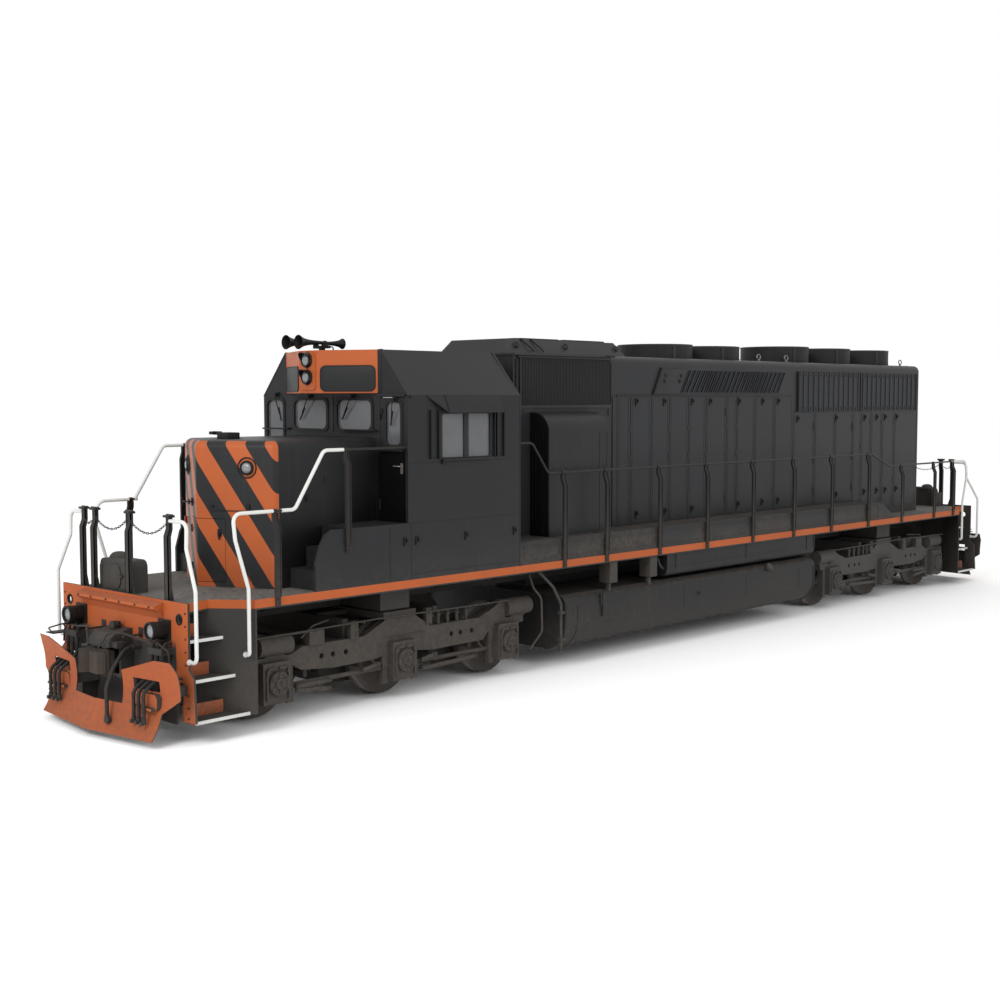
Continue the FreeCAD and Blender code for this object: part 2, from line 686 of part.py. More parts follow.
hoses = store((
    ("hose_radius", 22, "air hose between locomotives"),
    ("brake_hose_radius", 25, "brake hose beside the coupler"),
    ("hose_middle", 960, "middle hose of each group from the middle plane"),
    ("hose_pitch", 105, "spacing of the hoses in a group"),
    ("hose_line", 10440, "hanging run of the hoses from the middle"),
    ("hose_slope_top", 828, "start of the hoses' slope to their slot"),
    ("hose_end", 340, "lower end of the hoses"),
    ("hose_sleeve", 6, "metal end of a hose beyond its radius"),
    ("sleeve_length", 65, "metal end of a hose"),
    ("manifold_inner", 820, "hose manifold from the middle plane"),
    ("manifold_outer", 1100, "far end of the hose manifold"),
    ("manifold_bottom", 1045, "underside of the hose manifold"),
    ("manifold_height", 75, "hose manifold"),
    ("manifold_reach", 165, "hose manifold beyond the end plate"),
    ("lip_height", 30, "lip that the hoses rest on"),
    ("brake_hose_across", 400, "brake hose from the middle plane"),
    ("brake_pipe_height", 1060, "brake pipe above the flange tips"),
    ("brake_pipe_reach", 70, "brake pipe beyond the end plate"),
    ("brake_hose_line", 10520, "hanging run of the brake hose from the middle"),
    ("brake_hose_end", 290, "lower end of the brake hose"),
))


def end_hose(name, route, radius, low):
    """A hose with the metal sleeve on its lower end."""
    x, y, _ = route[-1]
    sleeve = rod(name + "_sleeve", radius + hoses.hose_sleeve, "z", (low - hoses.sleeve_length, low), (x, y))
    return fused(name, [hose(name + "_run", route, radius), sleeve])


def build_hoses():
    """Six air hoses through the blade's slots to their holders, and the brake hose beside the coupler."""
    start = frame.end_plate_face + hoses.manifold_reach - hoses.hose_radius * 1.5
    line, slope_top, gap = hoses.hose_line, hoses.hose_slope_top, frame.seat_gap
    pieces = []
    for side, name in ((1, "left"), (-1, "right")):
        for number in (-1, 0, 1):
            y = (hoses.hose_middle + hoses.hose_pitch * number) * side
            route = [(start, y, hoses.manifold_bottom - gap), (start, y, slope_top),
                     (line, y, plow.slot_bottom), (line, y, hoses.hose_end)]
            pieces.append(end_hose(f"{name}_hose_{number + 2}", route, hoses.hose_radius, hoses.hose_end))
    y, line = hoses.brake_hose_across, hoses.brake_hose_line
    pipe_end = frame.end_plate_face + hoses.brake_pipe_reach
    height = hoses.brake_pipe_height
    route = [(pipe_end + gap, y, height), (pipe_end + 140, y, height), (line - 90, y, height - 220),
             (line, y, height - 440), (line, y, hoses.brake_hose_end)]
    pieces.append(end_hose("brake_hose", route, hoses.brake_hose_radius, hoses.brake_hose_end))
    keep(together("front_air_hoses", pieces), "front_air_hoses")


# ---------------------------------------------------------------- bogies and wheelsets

def axle_places(end):
    """Distance of each axle from the middle of the locomotive, outermost first."""
    reaches = (bogie.axle_reach, -bogie.middle_axle_shift, -bogie.axle_reach)
    return [(frame.bogie_centre + reach) * end for reach in reaches]


def axle_height():
    return wheels.tread_radius + wheels.flange_height


def build_wheelset(label, x):
    """Axle and its two wheels, turned in one piece about the axle line."""
    back = wheels.back_to_back / 2
    front = back + wheels.rim_width
    tread, rim_inside = wheels.tread_radius, wheels.tread_radius - wheels.rim_depth
    flange_tip = tread + wheels.flange_height
    dish = front - 60
    half = [(back, wheels.axle_radius), (back, flange_tip), (back + wheels.flange_width, tread),
            (front, tread), (front, rim_inside),
            (dish, wheels.hub_radius), (front + wheels.hub_overhang, wheels.hub_radius),
            (front + wheels.hub_overhang, wheels.axle_radius),
            (wheels.journal_start, wheels.axle_radius), (wheels.journal_start, wheels.journal_radius),
            (wheels.journal_end, wheels.journal_radius), (wheels.journal_end, size(0))]
    profile = [(-y, radius) for y, radius in reversed(half)] + half
    return keep(turned(label + "_turned", profile, x, axle_height()), label)


def side_frame(name):
    """Cast side frame in the bogie's own places: humped beam, pedestal legs and holes."""
    top, hump, bottom = bogie.beam_top, bogie.hump_top, bogie.beam_bottom
    reach, end, end_top = bogie.axle_reach, bogie.frame_end, bogie.end_top
    outline = [(end, end_top), (reach - 300, end_top), (reach - 470, top), (size(580), top),
               (size(195), hump), (size(-340), hump), (size(-620), top), (-(reach - 510), top),
               (-(reach - 220), hump - 70), (-(reach - 60), hump + 30), (-(reach + 30), hump + 30),
               (-(reach + 30), end_top + 15), (-end, end_top + 15), (-end, bogie.opening_top - 30),
               (-(reach - 320), bogie.opening_top - 90), (-(reach - 430), bottom),
               (size(-640), bottom - 12), (size(-367), bottom + 20), (size(273), bottom + 20),
               (size(450), bottom - 5), (size(1096), bottom - 15), (reach - 450, bottom + 30),
               (reach - 320, bogie.opening_top - 90), (end, bogie.opening_top - 30)]
    holes = [((size(station), bogie.frame_hole_height), bogie.frame_hole_radius)
             for station in (1290, 1105, 890, -1015, -1195, -1415)]
    beam = plate(f"{name}_beam", "xz", (bogie.side_inner, bogie.side_outer), [outline], holes)
    pieces = [beam]
    openings = []
    for number, station in enumerate((reach, -bogie.middle_axle_shift, -reach)):
        half = bogie.box_opening / 2
        leg = half + bogie.leg_width
        pieces.append(block(f"{name}_pedestal_{number}", (station - leg, station + leg),
                            (bogie.side_inner, bogie.side_outer), (bogie.leg_bottom, bogie.end_top - 10)))
        openings.append(block(f"{name}_opening_{number}", (station - half, station + half),
                              (bogie.side_inner - 10, bogie.side_outer + 10),
                              (bogie.leg_bottom - 10, bogie.opening_top)))
    return cut(name, fused(name + "_solid", pieces), openings)


def build_bogie_frame():
    """Two side frames, two transoms and the bolster with its centre bowl, as one casting."""
    side = side_frame("side_frame")
    pieces = [side, mirrored("side_frame_right", side, "y")]
    inner, outer = bogie.transom_inner, bogie.transom_outer
    for direction, name in ((1, "outer"), (-1, "inner")):
        pieces.append(block(f"{name}_transom", (inner * direction, outer * direction),
                            (-bogie.side_inner, bogie.side_inner), (bogie.beam_bottom + 30, bogie.beam_top - 20)))
    reach = bogie.bogie_bolster_half_length
    bolster = block("bolster", (-reach, reach - 100), (-bogie.side_outer, bogie.side_outer),
                    (bogie.hump_top - 1, bogie.bolster_top))
    risers = [block(f"bolster_riser_{number}", (place_low, place_low + 90),
                    (-bogie.side_inner, bogie.side_inner), (bogie.beam_top - 60, bogie.bolster_top - 30))
              for number, place_low in enumerate((size(760), size(-850)))]
    links = [block(f"bolster_link_{number}", low_high, (-size(420), size(420)),
                   (bogie.hump_top + 5, bogie.bolster_top - 30))
             for number, low_high in enumerate(((reach - 101, size(760)), (-size(761), -reach + 1)))]
    bowl = rod("centre_bowl", frame.pivot_radius + frame.fit_clearance, "z",
               (bogie.bolster_top - frame.pivot_length - 10, bogie.bolster_top + 10), (0, 0))
    casting = cut("bogie_frame", fused("bogie_casting", pieces + [bolster] + risers + links), [bowl])
    return casting


def build_journal_boxes():
    """A box with a round cover at each axle end, sliding in its pedestal."""
    pieces = []
    centre_height = axle_height()
    for number, station in enumerate((bogie.axle_reach, -bogie.middle_axle_shift, -bogie.axle_reach)):
        half = bogie.box_opening / 2 - frame.seat_gap
        housing = block(f"box_{number}", (station - half, station + half), (boxes.box_inner, boxes.box_outer),
                        (boxes.box_bottom, bogie.opening_top - frame.seat_gap))
        cover = rod(f"cover_{number}", boxes.cover_radius, "y",
                    (boxes.box_outer, boxes.box_outer + boxes.cover_depth), (station, centre_height))
        bore = rod(f"journal_bore_{number}", wheels.journal_radius + frame.fit_clearance, "y",
                   (boxes.box_inner - 10, wheels.journal_end + 5), (station, centre_height))
        pieces.append(cut(f"journal_box_{number}", fused(f"box_and_cover_{number}", [housing, cover]), [bore]))
    return both_sides("journal_boxes", together("journal_boxes_left", pieces))


def build_brake_gear():
    """Cylinders at the frame ends, rods between the pedestals, and a hung shoe at each wheel."""
    pieces = []
    middle = (bogie.side_inner + bogie.side_outer) / 2
    leg = bogie.box_opening / 2 + bogie.leg_width
    radius, length = boxes.cylinder_radius, boxes.cylinder_length
    reach = bogie.axle_reach
    for name, low, seat in (("outer", reach - 280, bogie.end_top),
                            ("inner", -(reach + 30) - length, bogie.end_top + 15)):
        barrel = rod(f"{name}_cylinder", radius, "x", (low, low + length), (middle + 20, seat + radius + 12))
        foot = block(f"{name}_cylinder_foot", (low + 80, low + length - 120),
                     (bogie.side_inner, bogie.side_outer), (seat, seat + 60))
        pieces.append(fused(f"{name}_brake_cylinder", [barrel, foot]))
    stations = (reach, -bogie.middle_axle_shift, -reach)
    for number, (ahead, behind) in enumerate(zip(stations, stations[1:])):
        pieces.append(rod(f"brake_rod_{number}", boxes.rod_radius, "x", (behind + leg, ahead - leg),
                          (middle, boxes.rod_height)))
    for number, (station, way) in enumerate(zip(stations, (-1, 1, 1))):
        pieces.append(brake_shoe(f"brake_shoe_{number}", station, way))
    return both_sides("brake_gear", together("brake_gear_left", pieces))


def brake_shoe(name, station, way):
    """A shoe beside the tread on a bar that reaches to a hanger on the side frame."""
    inner = wheels.tread_radius + boxes.shoe_gap
    outer = inner + boxes.shoe_depth
    half = boxes.shoe_half_angle.number
    back = wheels.back_to_back / 2 + wheels.flange_width + 20
    ring = document.addObject("Part::Feature", name + "_ring")
    turn = math.radians(half)
    spots = []
    for radius in (inner.number, outer.number):
        spots.append([Vector(radius * math.cos(angle) * way, 0, radius * math.sin(angle))
                      for angle in (-turn, 0, turn)])
    (a, b, c), (d, e, f) = spots
    outline = Part.Wire([Part.Arc(a, b, c).toShape(), Part.LineSegment(c, f).toShape(),
                         Part.Arc(f, e, d).toShape(), Part.LineSegment(d, a).toShape()])
    ring.Shape = Part.Face(outline).extrude(Vector(0, boxes.shoe_width.number, 0))
    place(ring, station, back, axle_height())
    bar_low = station + (outer - 12) * way
    bar_high = station + (outer + 45) * way
    low = axle_height() - 40
    bar = block(name + "_bar", (bar_low, bar_high), (back + 10, bogie.side_inner - 25), (low, low + 80))
    hanger = block(name + "_hanger", (bar_low, bar_high), (bogie.side_inner - 25, bogie.side_inner),
                   (low, bogie.beam_bottom + 120))
    return fused(name, [ring, bar, hanger])


def build_motors():
    """Axle-hung traction motors, each against its transom."""
    pieces = []
    reach, shift = bogie.axle_reach, bogie.middle_axle_shift
    gap = wheels.axle_radius + boxes.motor_axle_gap
    stretches = ((bogie.transom_outer, reach - gap), (-shift + gap, bogie.transom_inner),
                 (-reach + gap, -bogie.transom_outer))
    bottom, top, bevel = boxes.motor_bottom, boxes.motor_top, boxes.motor_bevel
    for number, (low, high) in enumerate(stretches):
        outline = [(low, bottom + bevel), (low + bevel, bottom), (high - bevel, bottom),
                   (high, bottom + bevel), (high, top - bevel), (high - bevel, top),
                   (low + bevel, top), (low, top - bevel)]
        pieces.append(plate(f"motor_{number}", "xz", (-boxes.motor_half_width, boxes.motor_half_width),
                            [outline]))
    return together("traction_motors", pieces)


def build_bogies():
    """The same bogie under each end, turned half round at the rear."""
    masters = (("frame", build_bogie_frame()), ("journal_boxes", build_journal_boxes()),
               ("brake_gear", build_brake_gear()), ("motors", build_motors()))
    for kind, master in masters:
        front = document.addObject("Part::Compound", f"front_bogie_{kind}")
        front.Links = [master]
        bind(front, "Placement.Base.x", frame.bogie_centre)
        keep(front, f"front_bogie_{kind}")
        keep(mirrored(f"rear_bogie_{kind}", front, "x"), f"rear_bogie_{kind}")
    for end, name in ((1, "front"), (-1, "rear")):
        for number, x in enumerate(axle_places(end), 1):
            build_wheelset(f"{name}_wheelset_{number}", x)


couplers = store((
    ("pivot", 9760, "coupler pin from the middle"),
    ("height", 875, "centre line of the couplers above the flange tips"),
    ("shank_half_width", 65, "coupler shank"),
    ("shank_half_height", 75, "coupler shank"),
    ("head_half_height", 140, "coupler head"),
    ("pulling_face", 10490, "pulling face of the knuckle from the middle"),
    ("pin_radius", 40, "coupler pin"),
    ("boss_radius", 62, "round boss that the knuckle turns in"),
    ("boss_depth", 130, "knuckle boss behind the pulling face"),
    ("boss_across", 135, "knuckle boss from the middle plane"),
    ("nose_radius", 38, "round nose of the knuckle"),
))


def build_coupler():
    """Knuckle coupler: shank with its pin, head with guard arm, and the hooked knuckle."""
    pivot, face, middle = couplers.pivot, couplers.pulling_face, couplers.height
    shank = block("shank", (pivot - 60, face - 230), (-couplers.shank_half_width, couplers.shank_half_width),
                  (middle - couplers.shank_half_height, middle + couplers.shank_half_height))
    head = [(face - 265, size(-110)), (face - 210, size(-190)), (face + 20, size(-235)),
            (face + 60, size(-170)), (face - 90, size(-90)), (face - 120, size(20)),
            (face - 60, size(60)), (face - 60, size(190)), (face - 210, size(190)), (face - 265, size(110))]
    knuckle = [(face - 80, size(200)), (face, size(150)), (face, size(40)), (face - 20, size(-22)),
               (face - 58, size(-22)), (face - 80, size(60))]
    neck = [(face - 350, -couplers.shank_half_width), (face - 262, size(-110)), (face - 262, size(110)),
            (face - 350, couplers.shank_half_width)]
    low, high = middle - couplers.head_half_height, middle + couplers.head_half_height
    pieces = [shank, plate("coupler_head", "xy", (low, high), [head]),
              plate("coupler_neck", "xy", (middle - couplers.shank_half_height,
                                           middle + couplers.shank_half_height), [neck]),
              plate("knuckle", "xy", (low + 10, high - 10), [knuckle]),
              rod("knuckle_boss", couplers.boss_radius, "z", (low - 15, high + 15),
                  (face - couplers.boss_depth, couplers.boss_across)),
              rod("knuckle_nose", couplers.nose_radius, "z", (low + 10, high - 10),
                  (face - couplers.nose_radius - 2, -couplers.nose_radius / 2)),
              rod("coupler_pin", couplers.pin_radius, "z",
                  (ends.pocket_bottom + ends.pocket_wall + frame.seat_gap,
                   ends.pocket_top - ends.pocket_wall - frame.seat_gap), (pivot, 0))]
    front = keep(fused("front_coupler", pieces), "front_coupler")
    return keep(mirrored("rear_coupler", front, "x", "y"), "rear_coupler")


# ---------------------------------------------------------------- tank and reservoirs

tank = store((
    ("front", 3560, "front of the fuel tank from the middle"),
    ("rear", -3420, "rear of the fuel tank from the middle"),
    ("half_width", 1500, "half width of the fuel tank"),
    ("bottom", 270, "underside of the fuel tank"),
    ("top", 1020, "shoulder of the fuel tank"),
    ("crown", 1090, "top of the fuel tank"),
    ("belly_radius", 420, "lower round of the tank section"),
    ("shoulder_radius", 90, "upper round of the tank section"),
    ("reservoir_front", 1080, "front of the air reservoirs from the middle"),
    ("reservoir_rear", -3400, "rear of the air reservoirs from the middle"),
    ("reservoir_bottom", 1150, "underside of the air reservoirs"),
    ("reservoir_inset", 40, "air reservoirs inside the sill face"),
    ("reservoir_depth", 300, "air reservoirs across the locomotive"),
    ("reservoir_round", 110, "rounds of the reservoir section"),
))


def build_tank():
    half = tank.half_width
    outline = [(half, tank.bottom), (half, tank.top), (half - 130, tank.crown),
               (-half + 130, tank.crown), (-half, tank.top), (-half, tank.bottom)]
    body = plate("tank_body", "yz", (tank.rear, tank.front), [outline])
    rounded(body, tank.belly_radius, edges_along("x", y=(half, -half), z=(tank.bottom,)))
    rounded(body, tank.shoulder_radius, edges_along("x", y=(half, -half), z=(tank.top,)))
    saddle = block("tank_saddle", (tank.rear + 400, tank.front - 400),
                   (-frame.centre_sill_half_width, frame.centre_sill_half_width),
                   (tank.crown, frame.centre_sill_bottom))
    keep(fused("fuel_tank", [body, saddle]), "fuel_tank")
    top = frame.deck_top - frame.sill_depth
    outer = frame.sill_half_width - tank.reservoir_inset
    inner = outer - tank.reservoir_depth
    section = [(inner, tank.reservoir_bottom), (outer, tank.reservoir_bottom), (outer, top), (inner, top)]
    reservoir = plate("air_reservoir", "yz", (tank.reservoir_rear, tank.reservoir_front), [section])
    rounded(reservoir, tank.reservoir_round,
            edges_along("x", y=(outer, inner), z=(tank.reservoir_bottom,)))
    return keep(both_sides("air_reservoirs", reservoir), "air_reservoirs")


# ---------------------------------------------------------------- nose, cab and its fittings

nose = store((
    ("nose_front", 8380, "front of the short hood from the middle"),
    ("nose_half_width", 905, "half width of the short hood"),
    ("nose_top", 3495, "top of the short hood"),
    ("nose_round", 100, "rounded edges of the short hood"),
    ("nose_wall", 45, "walls of the short hood"),
    ("nose_door_half_width", 345, "half width of the nose door opening"),
    ("nose_door_bottom", 1700, "bottom of the nose door opening"),
    ("nose_door_top", 2510, "top of the nose door opening"),
    ("nose_lamp_radius", 130, "ring of the nose headlight"),
    ("nose_lamp_depth", 60, "nose headlight beyond the hood"),
    ("nose_lamp_across", 280, "nose headlight from the middle plane"),
    ("nose_lamp_height", 3130, "nose headlight above the flange tips"),
    ("door_gap", 6, "gap around a door in its opening"),
    ("door_thickness", 40, "doors of nose and cab"),
    ("box_top", 2390, "top of the battery boxes and cab floor"),
    ("box_front", 8280, "foot of the battery box's side panel from the middle"),
    ("box_panel", 40, "side panel of a battery box"),
    ("stair_run", 270, "depth of a stair ahead of the battery box"),
    ("stair_rise", 250, "rise of a stair ahead of the battery box"),
))

cab = store((
    ("cab_front", 6735, "front of the cab from the middle"),
    ("cab_rear", 4585, "rear of the cab from the middle"),
    ("eave", 4065, "top of the cab side"),
    ("roof_top", 4665, "flat of the cab roof"),
    ("roof_half_width", 1020, "half width of the roof's flat"),
    ("cab_wall", 50, "whole thickness of the cab walls and roof"),
    ("floor_plate", 50, "cab floor"),
    ("side_window_front", 6126, "front of the side window from the middle"),
    ("side_window_rear", 5184, "rear of the side window from the middle"),
    ("side_window_bottom", 3215, "bottom of the side window"),
    ("side_window_top", 3825, "top of the side window"),
    ("screen_inner", 95, "windscreen from the middle plane"),
    ("screen_outer", 845, "far edge of the windscreen from the middle plane"),
    ("screen_bottom", 3580, "bottom of the windscreens"),
    ("screen_top", 4015, "top of the windscreens"),
    ("corner_inner", 1000, "cab door or corner window opening from the middle plane"),
    ("corner_outer", 1470, "far edge of that opening from the middle plane"),
    ("corner_bottom", 3390, "bottom of the corner windows"),
    ("door_top", 4035, "top of the cab door openings"),
    ("pane_thickness", 8, "window panes"),
    ("door_pane_margin", 45, "door frame outside and above its pane"),
    ("door_pane_inset", 105, "door frame between the hinges and its pane"),
    ("housing_half_width", 1020, "half width of the headlight housing at the cab"),
    ("housing_front", 7140, "front of the headlight housing from the middle"),
    ("housing_front_half_width", 190, "half width of the housing's front panel"),
    ("housing_bottom", 4090, "underside of the headlight housing"),
    ("lamp_radius", 82, "headlight barrel"),
    ("lamp_length", 45, "headlight barrel beyond the housing"),
    ("lamp_upper", 4535, "upper headlight"),
    ("lamp_lower", 4305, "lower headlight"),
))


def rectangle(low_u, high_u, low_v, high_v):
    return [(low_u, low_v), (high_u, low_v), (high_u, high_v), (low_u, high_v)]


def build_nose():
    """Short hood with its access door in front and the stepped battery boxes beside it."""
    half, top, front, wall = nose.nose_half_width, nose.nose_top, nose.nose_front, nose.nose_wall
    shell = plate("nose_outer", "xz", (-half, half),
                  [rectangle(cab.cab_front, front, frame.deck_top, top)])
    rounded(shell, nose.nose_round, lambda edge: edges_along("z", x=(front,), y=(half, -half))(edge)
            or edges_along("y", x=(front,), z=(top,))(edge)
            or edges_along("x", y=(half, -half), z=(top,))(edge))
    hollow = block("nose_hollow", (cab.cab_front + wall, front - wall), (-half + wall, half - wall),
                   (frame.deck_top + wall, top - wall))
    opening = block("nose_opening", (front - wall - 10, front + 10),
                    (-nose.nose_door_half_width, nose.nose_door_half_width),
                    (nose.nose_door_bottom, nose.nose_door_top))
    gap, thick = nose.door_gap, nose.door_thickness
    fixed, swinging = hinge("nose_hinge", front + hinges.knuckle_radius, -nose.nose_door_half_width + gap / 2,
                            (nose.nose_door_bottom + hinges.hinge_inset,
                             nose.nose_door_top - hinges.hinge_inset - hinges.knuckle_height * 2),
                            (-hinges.knuckle_radius, hinges.strap_reach))
    shell_with_door_hole = cut("nose_shell", shell, [hollow, opening])
    lamp = [rod("nose_lamp_ring", nose.nose_lamp_radius, "x", (front, front + nose.nose_lamp_depth),
                (nose.nose_lamp_across, nose.nose_lamp_height)),
            rod("nose_lamp_hollow", nose.nose_lamp_radius / 2, "x",
                (front + nose.nose_lamp_depth / 3, front + nose.nose_lamp_depth + 10),
                (nose.nose_lamp_across, nose.nose_lamp_height))]
    keep(fused("short_hood", [shell_with_door_hole, cut("nose_lamp", lamp[0], [lamp[1]])] + fixed), "short_hood")
    leaf = rectangle(-nose.nose_door_half_width + gap, nose.nose_door_half_width - gap,
                     nose.nose_door_bottom + gap, nose.nose_door_top - gap)
    panel = plate("nose_door_leaf", "yz", (front - thick, front), [leaf])
    keep(fused("nose_door", [panel] + swinging), "nose_door")
    run, rise, deck = nose.stair_run, nose.stair_rise, frame.deck_top
    top = nose.box_top
    stair_foot = nose.box_front - 50
    stairs = [(cab.cab_front, deck), (stair_foot, deck), (stair_foot, top - rise * 2),
              (stair_foot - run, top - rise * 2), (stair_foot - run, top - rise),
              (stair_foot - run * 2, top - rise), (stair_foot - run * 2, top), (cab.cab_front, top)]
    inner_face = frame.sill_half_width - nose.box_panel
    core = plate("stairs", "xz", (half, inner_face), [stairs])
    foot = nose.box_front
    panel_outline = [(cab.cab_front, deck), (foot, deck), (foot, deck + 330), (foot - 70, deck + 560),
                     (foot - 150, deck + 690), (foot - 250, top), (cab.cab_front, top)]
    panel = plate("box_panel", "xz", (inner_face, frame.sill_half_width), [panel_outline])
    keep(both_sides("battery_boxes", fused("battery_box_left", [core, panel])), "battery_boxes")


def cab_section(inset):
    """Half outline of the cab's cross-section above the floor, inset by part of the wall."""
    return [(frame.sill_half_width - cab.cab_wall * inset, cab.eave),
            (frame.sill_half_width - cab.cab_wall * 1.32 * inset, cab.eave),
            (cab.roof_half_width - cab.cab_wall * 0.45 * inset, cab.roof_top - cab.cab_wall * inset)]


def build_cab_shell():
    """Sides, roof and end walls of the hollow cab, each as thick as the whole wall."""
    half, wall = frame.sill_half_width, cab.cab_wall
    front, rear = cab.cab_front, cab.cab_rear
    side = plate("cab_side", "xz", (half - wall, half),
                 [rectangle(rear, front, frame.deck_top, cab.eave),
                  rectangle(cab.side_window_rear, cab.side_window_front,
                            cab.side_window_bottom, cab.side_window_top)])
    keep(both_sides("cab_sides", side), "cab_sides")
    outer = [(half, cab.eave), (cab.roof_half_width, cab.roof_top)]
    inner = [cab_section(1)[2], cab_section(1)[1]]
    outline = outer + [(-y, z) for y, z in reversed(outer)]
    outline += [(-y, z) for y, z in reversed(inner)] + inner
    keep(plate("cab_roof", "yz", (rear, front), [outline]), "cab_roof")
    wall_half = [(half - wall, nose.box_top)] + cab_section(1)
    wall_outline = wall_half + [(-y, z) for y, z in reversed(wall_half)]
    screens = [rectangle(side * cab.screen_inner, side * cab.screen_outer, cab.screen_bottom, cab.screen_top)
               for side in (1, -1)]
    doorway = (nose.box_top + nose.door_gap, cab.door_top)
    window = (cab.corner_bottom, cab.door_top - 20)
    for end, faces, face, side, extra in (("front", (front - wall, front), front, 1, screens),
                                          ("rear", (rear, rear + wall), rear, -1, [])):
        openings = [rectangle(side * cab.corner_inner, side * cab.corner_outer, *doorway),
                    rectangle(-side * (cab.corner_inner + 60), -side * cab.corner_outer, *window)]
        panel = plate(f"cab_{end}_panel", "yz", faces, [wall_outline] + openings + extra)
        fixed, swinging = cab_hinge(f"{end}_door_hinge", side, face, side)
        keep(fused(f"cab_{end}_wall", [panel] + fixed), f"cab_{end}_wall")
        cab_door(f"{end}_cab_door", side, face, side, swinging)
    base_half = frame.centre_sill_half_width * 2
    floor_under = nose.box_top - cab.floor_plate
    floor = block("floor_plate", (rear + wall, front - wall), (-half + wall, half - wall),
                  (floor_under, nose.box_top))
    base = block("floor_base", (rear + wall, front - wall), (-base_half, base_half),
                 (frame.deck_top, floor_under))
    keep(fused("cab_floor", [floor, base]), "cab_floor")


def cab_hinge(name, side, outer_face, way):
    """The two hinges of a cab door, on the opening's inner edge."""
    return hinge(name, outer_face + hinges.knuckle_radius * way, (cab.corner_inner + nose.door_gap / 2) * side,
                 (nose.box_top + hinges.hinge_inset, cab.door_top - hinges.hinge_inset - hinges.knuckle_height * 2),
                 (-hinges.knuckle_radius * way, hinges.strap_reach * side))


def cab_door(label, side, outer_face, way, swinging):
    """A cab door with its hinge halves, and its pane; way is +1 where the door faces forward."""
    gap, thick = nose.door_gap, nose.door_thickness
    margin = cab.door_pane_margin
    low_y, high_y = cab.corner_inner + gap, cab.corner_outer - gap
    bottom, top = nose.box_top + gap * 2, cab.door_top - gap
    faces = (outer_face - thick * way, outer_face)
    leaf = [(y * side, z) for y, z in rectangle(low_y, high_y, bottom, top)]
    pane = (low_y + cab.door_pane_inset, high_y - margin, cab.corner_bottom, top - margin)
    hole = [(y * side, z) for y, z in rectangle(*pane)]
    panel = plate(label + "_leaf", "yz", faces, [leaf, hole])
    keep(fused(label, [panel] + swinging), label)
    gap = frame.seat_gap
    middle = outer_face - thick / 2 * way
    half = cab.pane_thickness / 2
    keep(block(label + "_pane", (middle - half, middle + half),
               ((pane[0] + gap) * side, (pane[1] - gap) * side), (pane[2] + gap, pane[3] - gap)),
         label + "_glass")


def pane_in_wall(name, x_faces, y_edges, z_edges):
    """A pane with a small gap to the edges of its opening."""
    gap = frame.seat_gap
    (low_y, high_y), (low_z, high_z) = span(y_edges), span(z_edges)
    return block(name, x_faces, (low_y + gap, high_y - gap), (low_z + gap, high_z - gap))


def build_cab_glass():
    wall, half, gap = cab.cab_wall, cab.pane_thickness / 2, frame.seat_gap
    front_middle, rear_middle = cab.cab_front - wall / 2, cab.cab_rear + wall / 2
    front_faces = (front_middle - half, front_middle + half)
    rear_faces = (rear_middle - half, rear_middle + half)
    screen = (cab.screen_bottom, cab.screen_top)
    corner = (cab.corner_bottom, cab.door_top - 20)
    panes = [pane_in_wall("screen_left", front_faces, (cab.screen_inner, cab.screen_outer), screen),
             pane_in_wall("screen_right", front_faces, (-cab.screen_inner, -cab.screen_outer), screen),
             pane_in_wall("corner_right", front_faces, (-cab.corner_inner - 60, -cab.corner_outer), corner),
             pane_in_wall("corner_left", rear_faces, (cab.corner_inner + 60, cab.corner_outer), corner)]
    side_middle = frame.sill_half_width - wall / 2
    window = block("side_window", (cab.side_window_rear + gap, cab.side_window_front - gap),
                   (side_middle - half, side_middle + half),
                   (cab.side_window_bottom + gap, cab.side_window_top - gap))
    panes += [window, mirrored("side_window_right", window, "y")]
    keep(together("cab_glass", panes), "cab_glass")


seat = store((
    ("cushion_height", 2830, "top of a seat cushion"),
    ("cushion_depth", 480, "seat cushion along the locomotive"),
    ("cushion_width", 500, "seat cushion across the locomotive"),
    ("cushion_thickness", 110, "seat cushion"),
    ("back_height", 620, "seat back above the cushion"),
    ("seat_place", 5350, "rear of the cushions from the middle"),
    ("seat_across", 880, "inner edge of a cushion from the middle plane"),
    ("post_radius", 60, "seat post"),
))


def build_cab_inside():
    rear, across = seat.seat_place, seat.seat_across
    top, thick = seat.cushion_height, seat.cushion_thickness
    cushion = block("cushion", (rear, rear + seat.cushion_depth), (across, across + seat.cushion_width),
                    (top - thick, top))
    back = plate("seat_back", "xz", (across, across + seat.cushion_width),
                 [[(rear, top - thick), (rear + 20, top - thick), (rear - 40, top + seat.back_height),
                   (rear - 130, top + seat.back_height)]])
    post = rod("seat_post", seat.post_radius, "z", (nose.box_top, top - thick),
               (rear + seat.cushion_depth / 2, across + seat.cushion_width / 2))
    keep(both_sides("seats", fused("seat_left", [cushion, back, post])), "seats")
    desk_rear = seat.seat_place + seat.cushion_depth + 120
    desk = plate("control_desk", "xz", (-size(1050), -size(420)),
                 [[(desk_rear, nose.box_top), (desk_rear + 420, nose.box_top),
                   (desk_rear + 420, seat.cushion_height + 520), (desk_rear + 230, seat.cushion_height + 520),
                   (desk_rear, seat.cushion_height + 180)]])
    keep(desk, "control_stand")


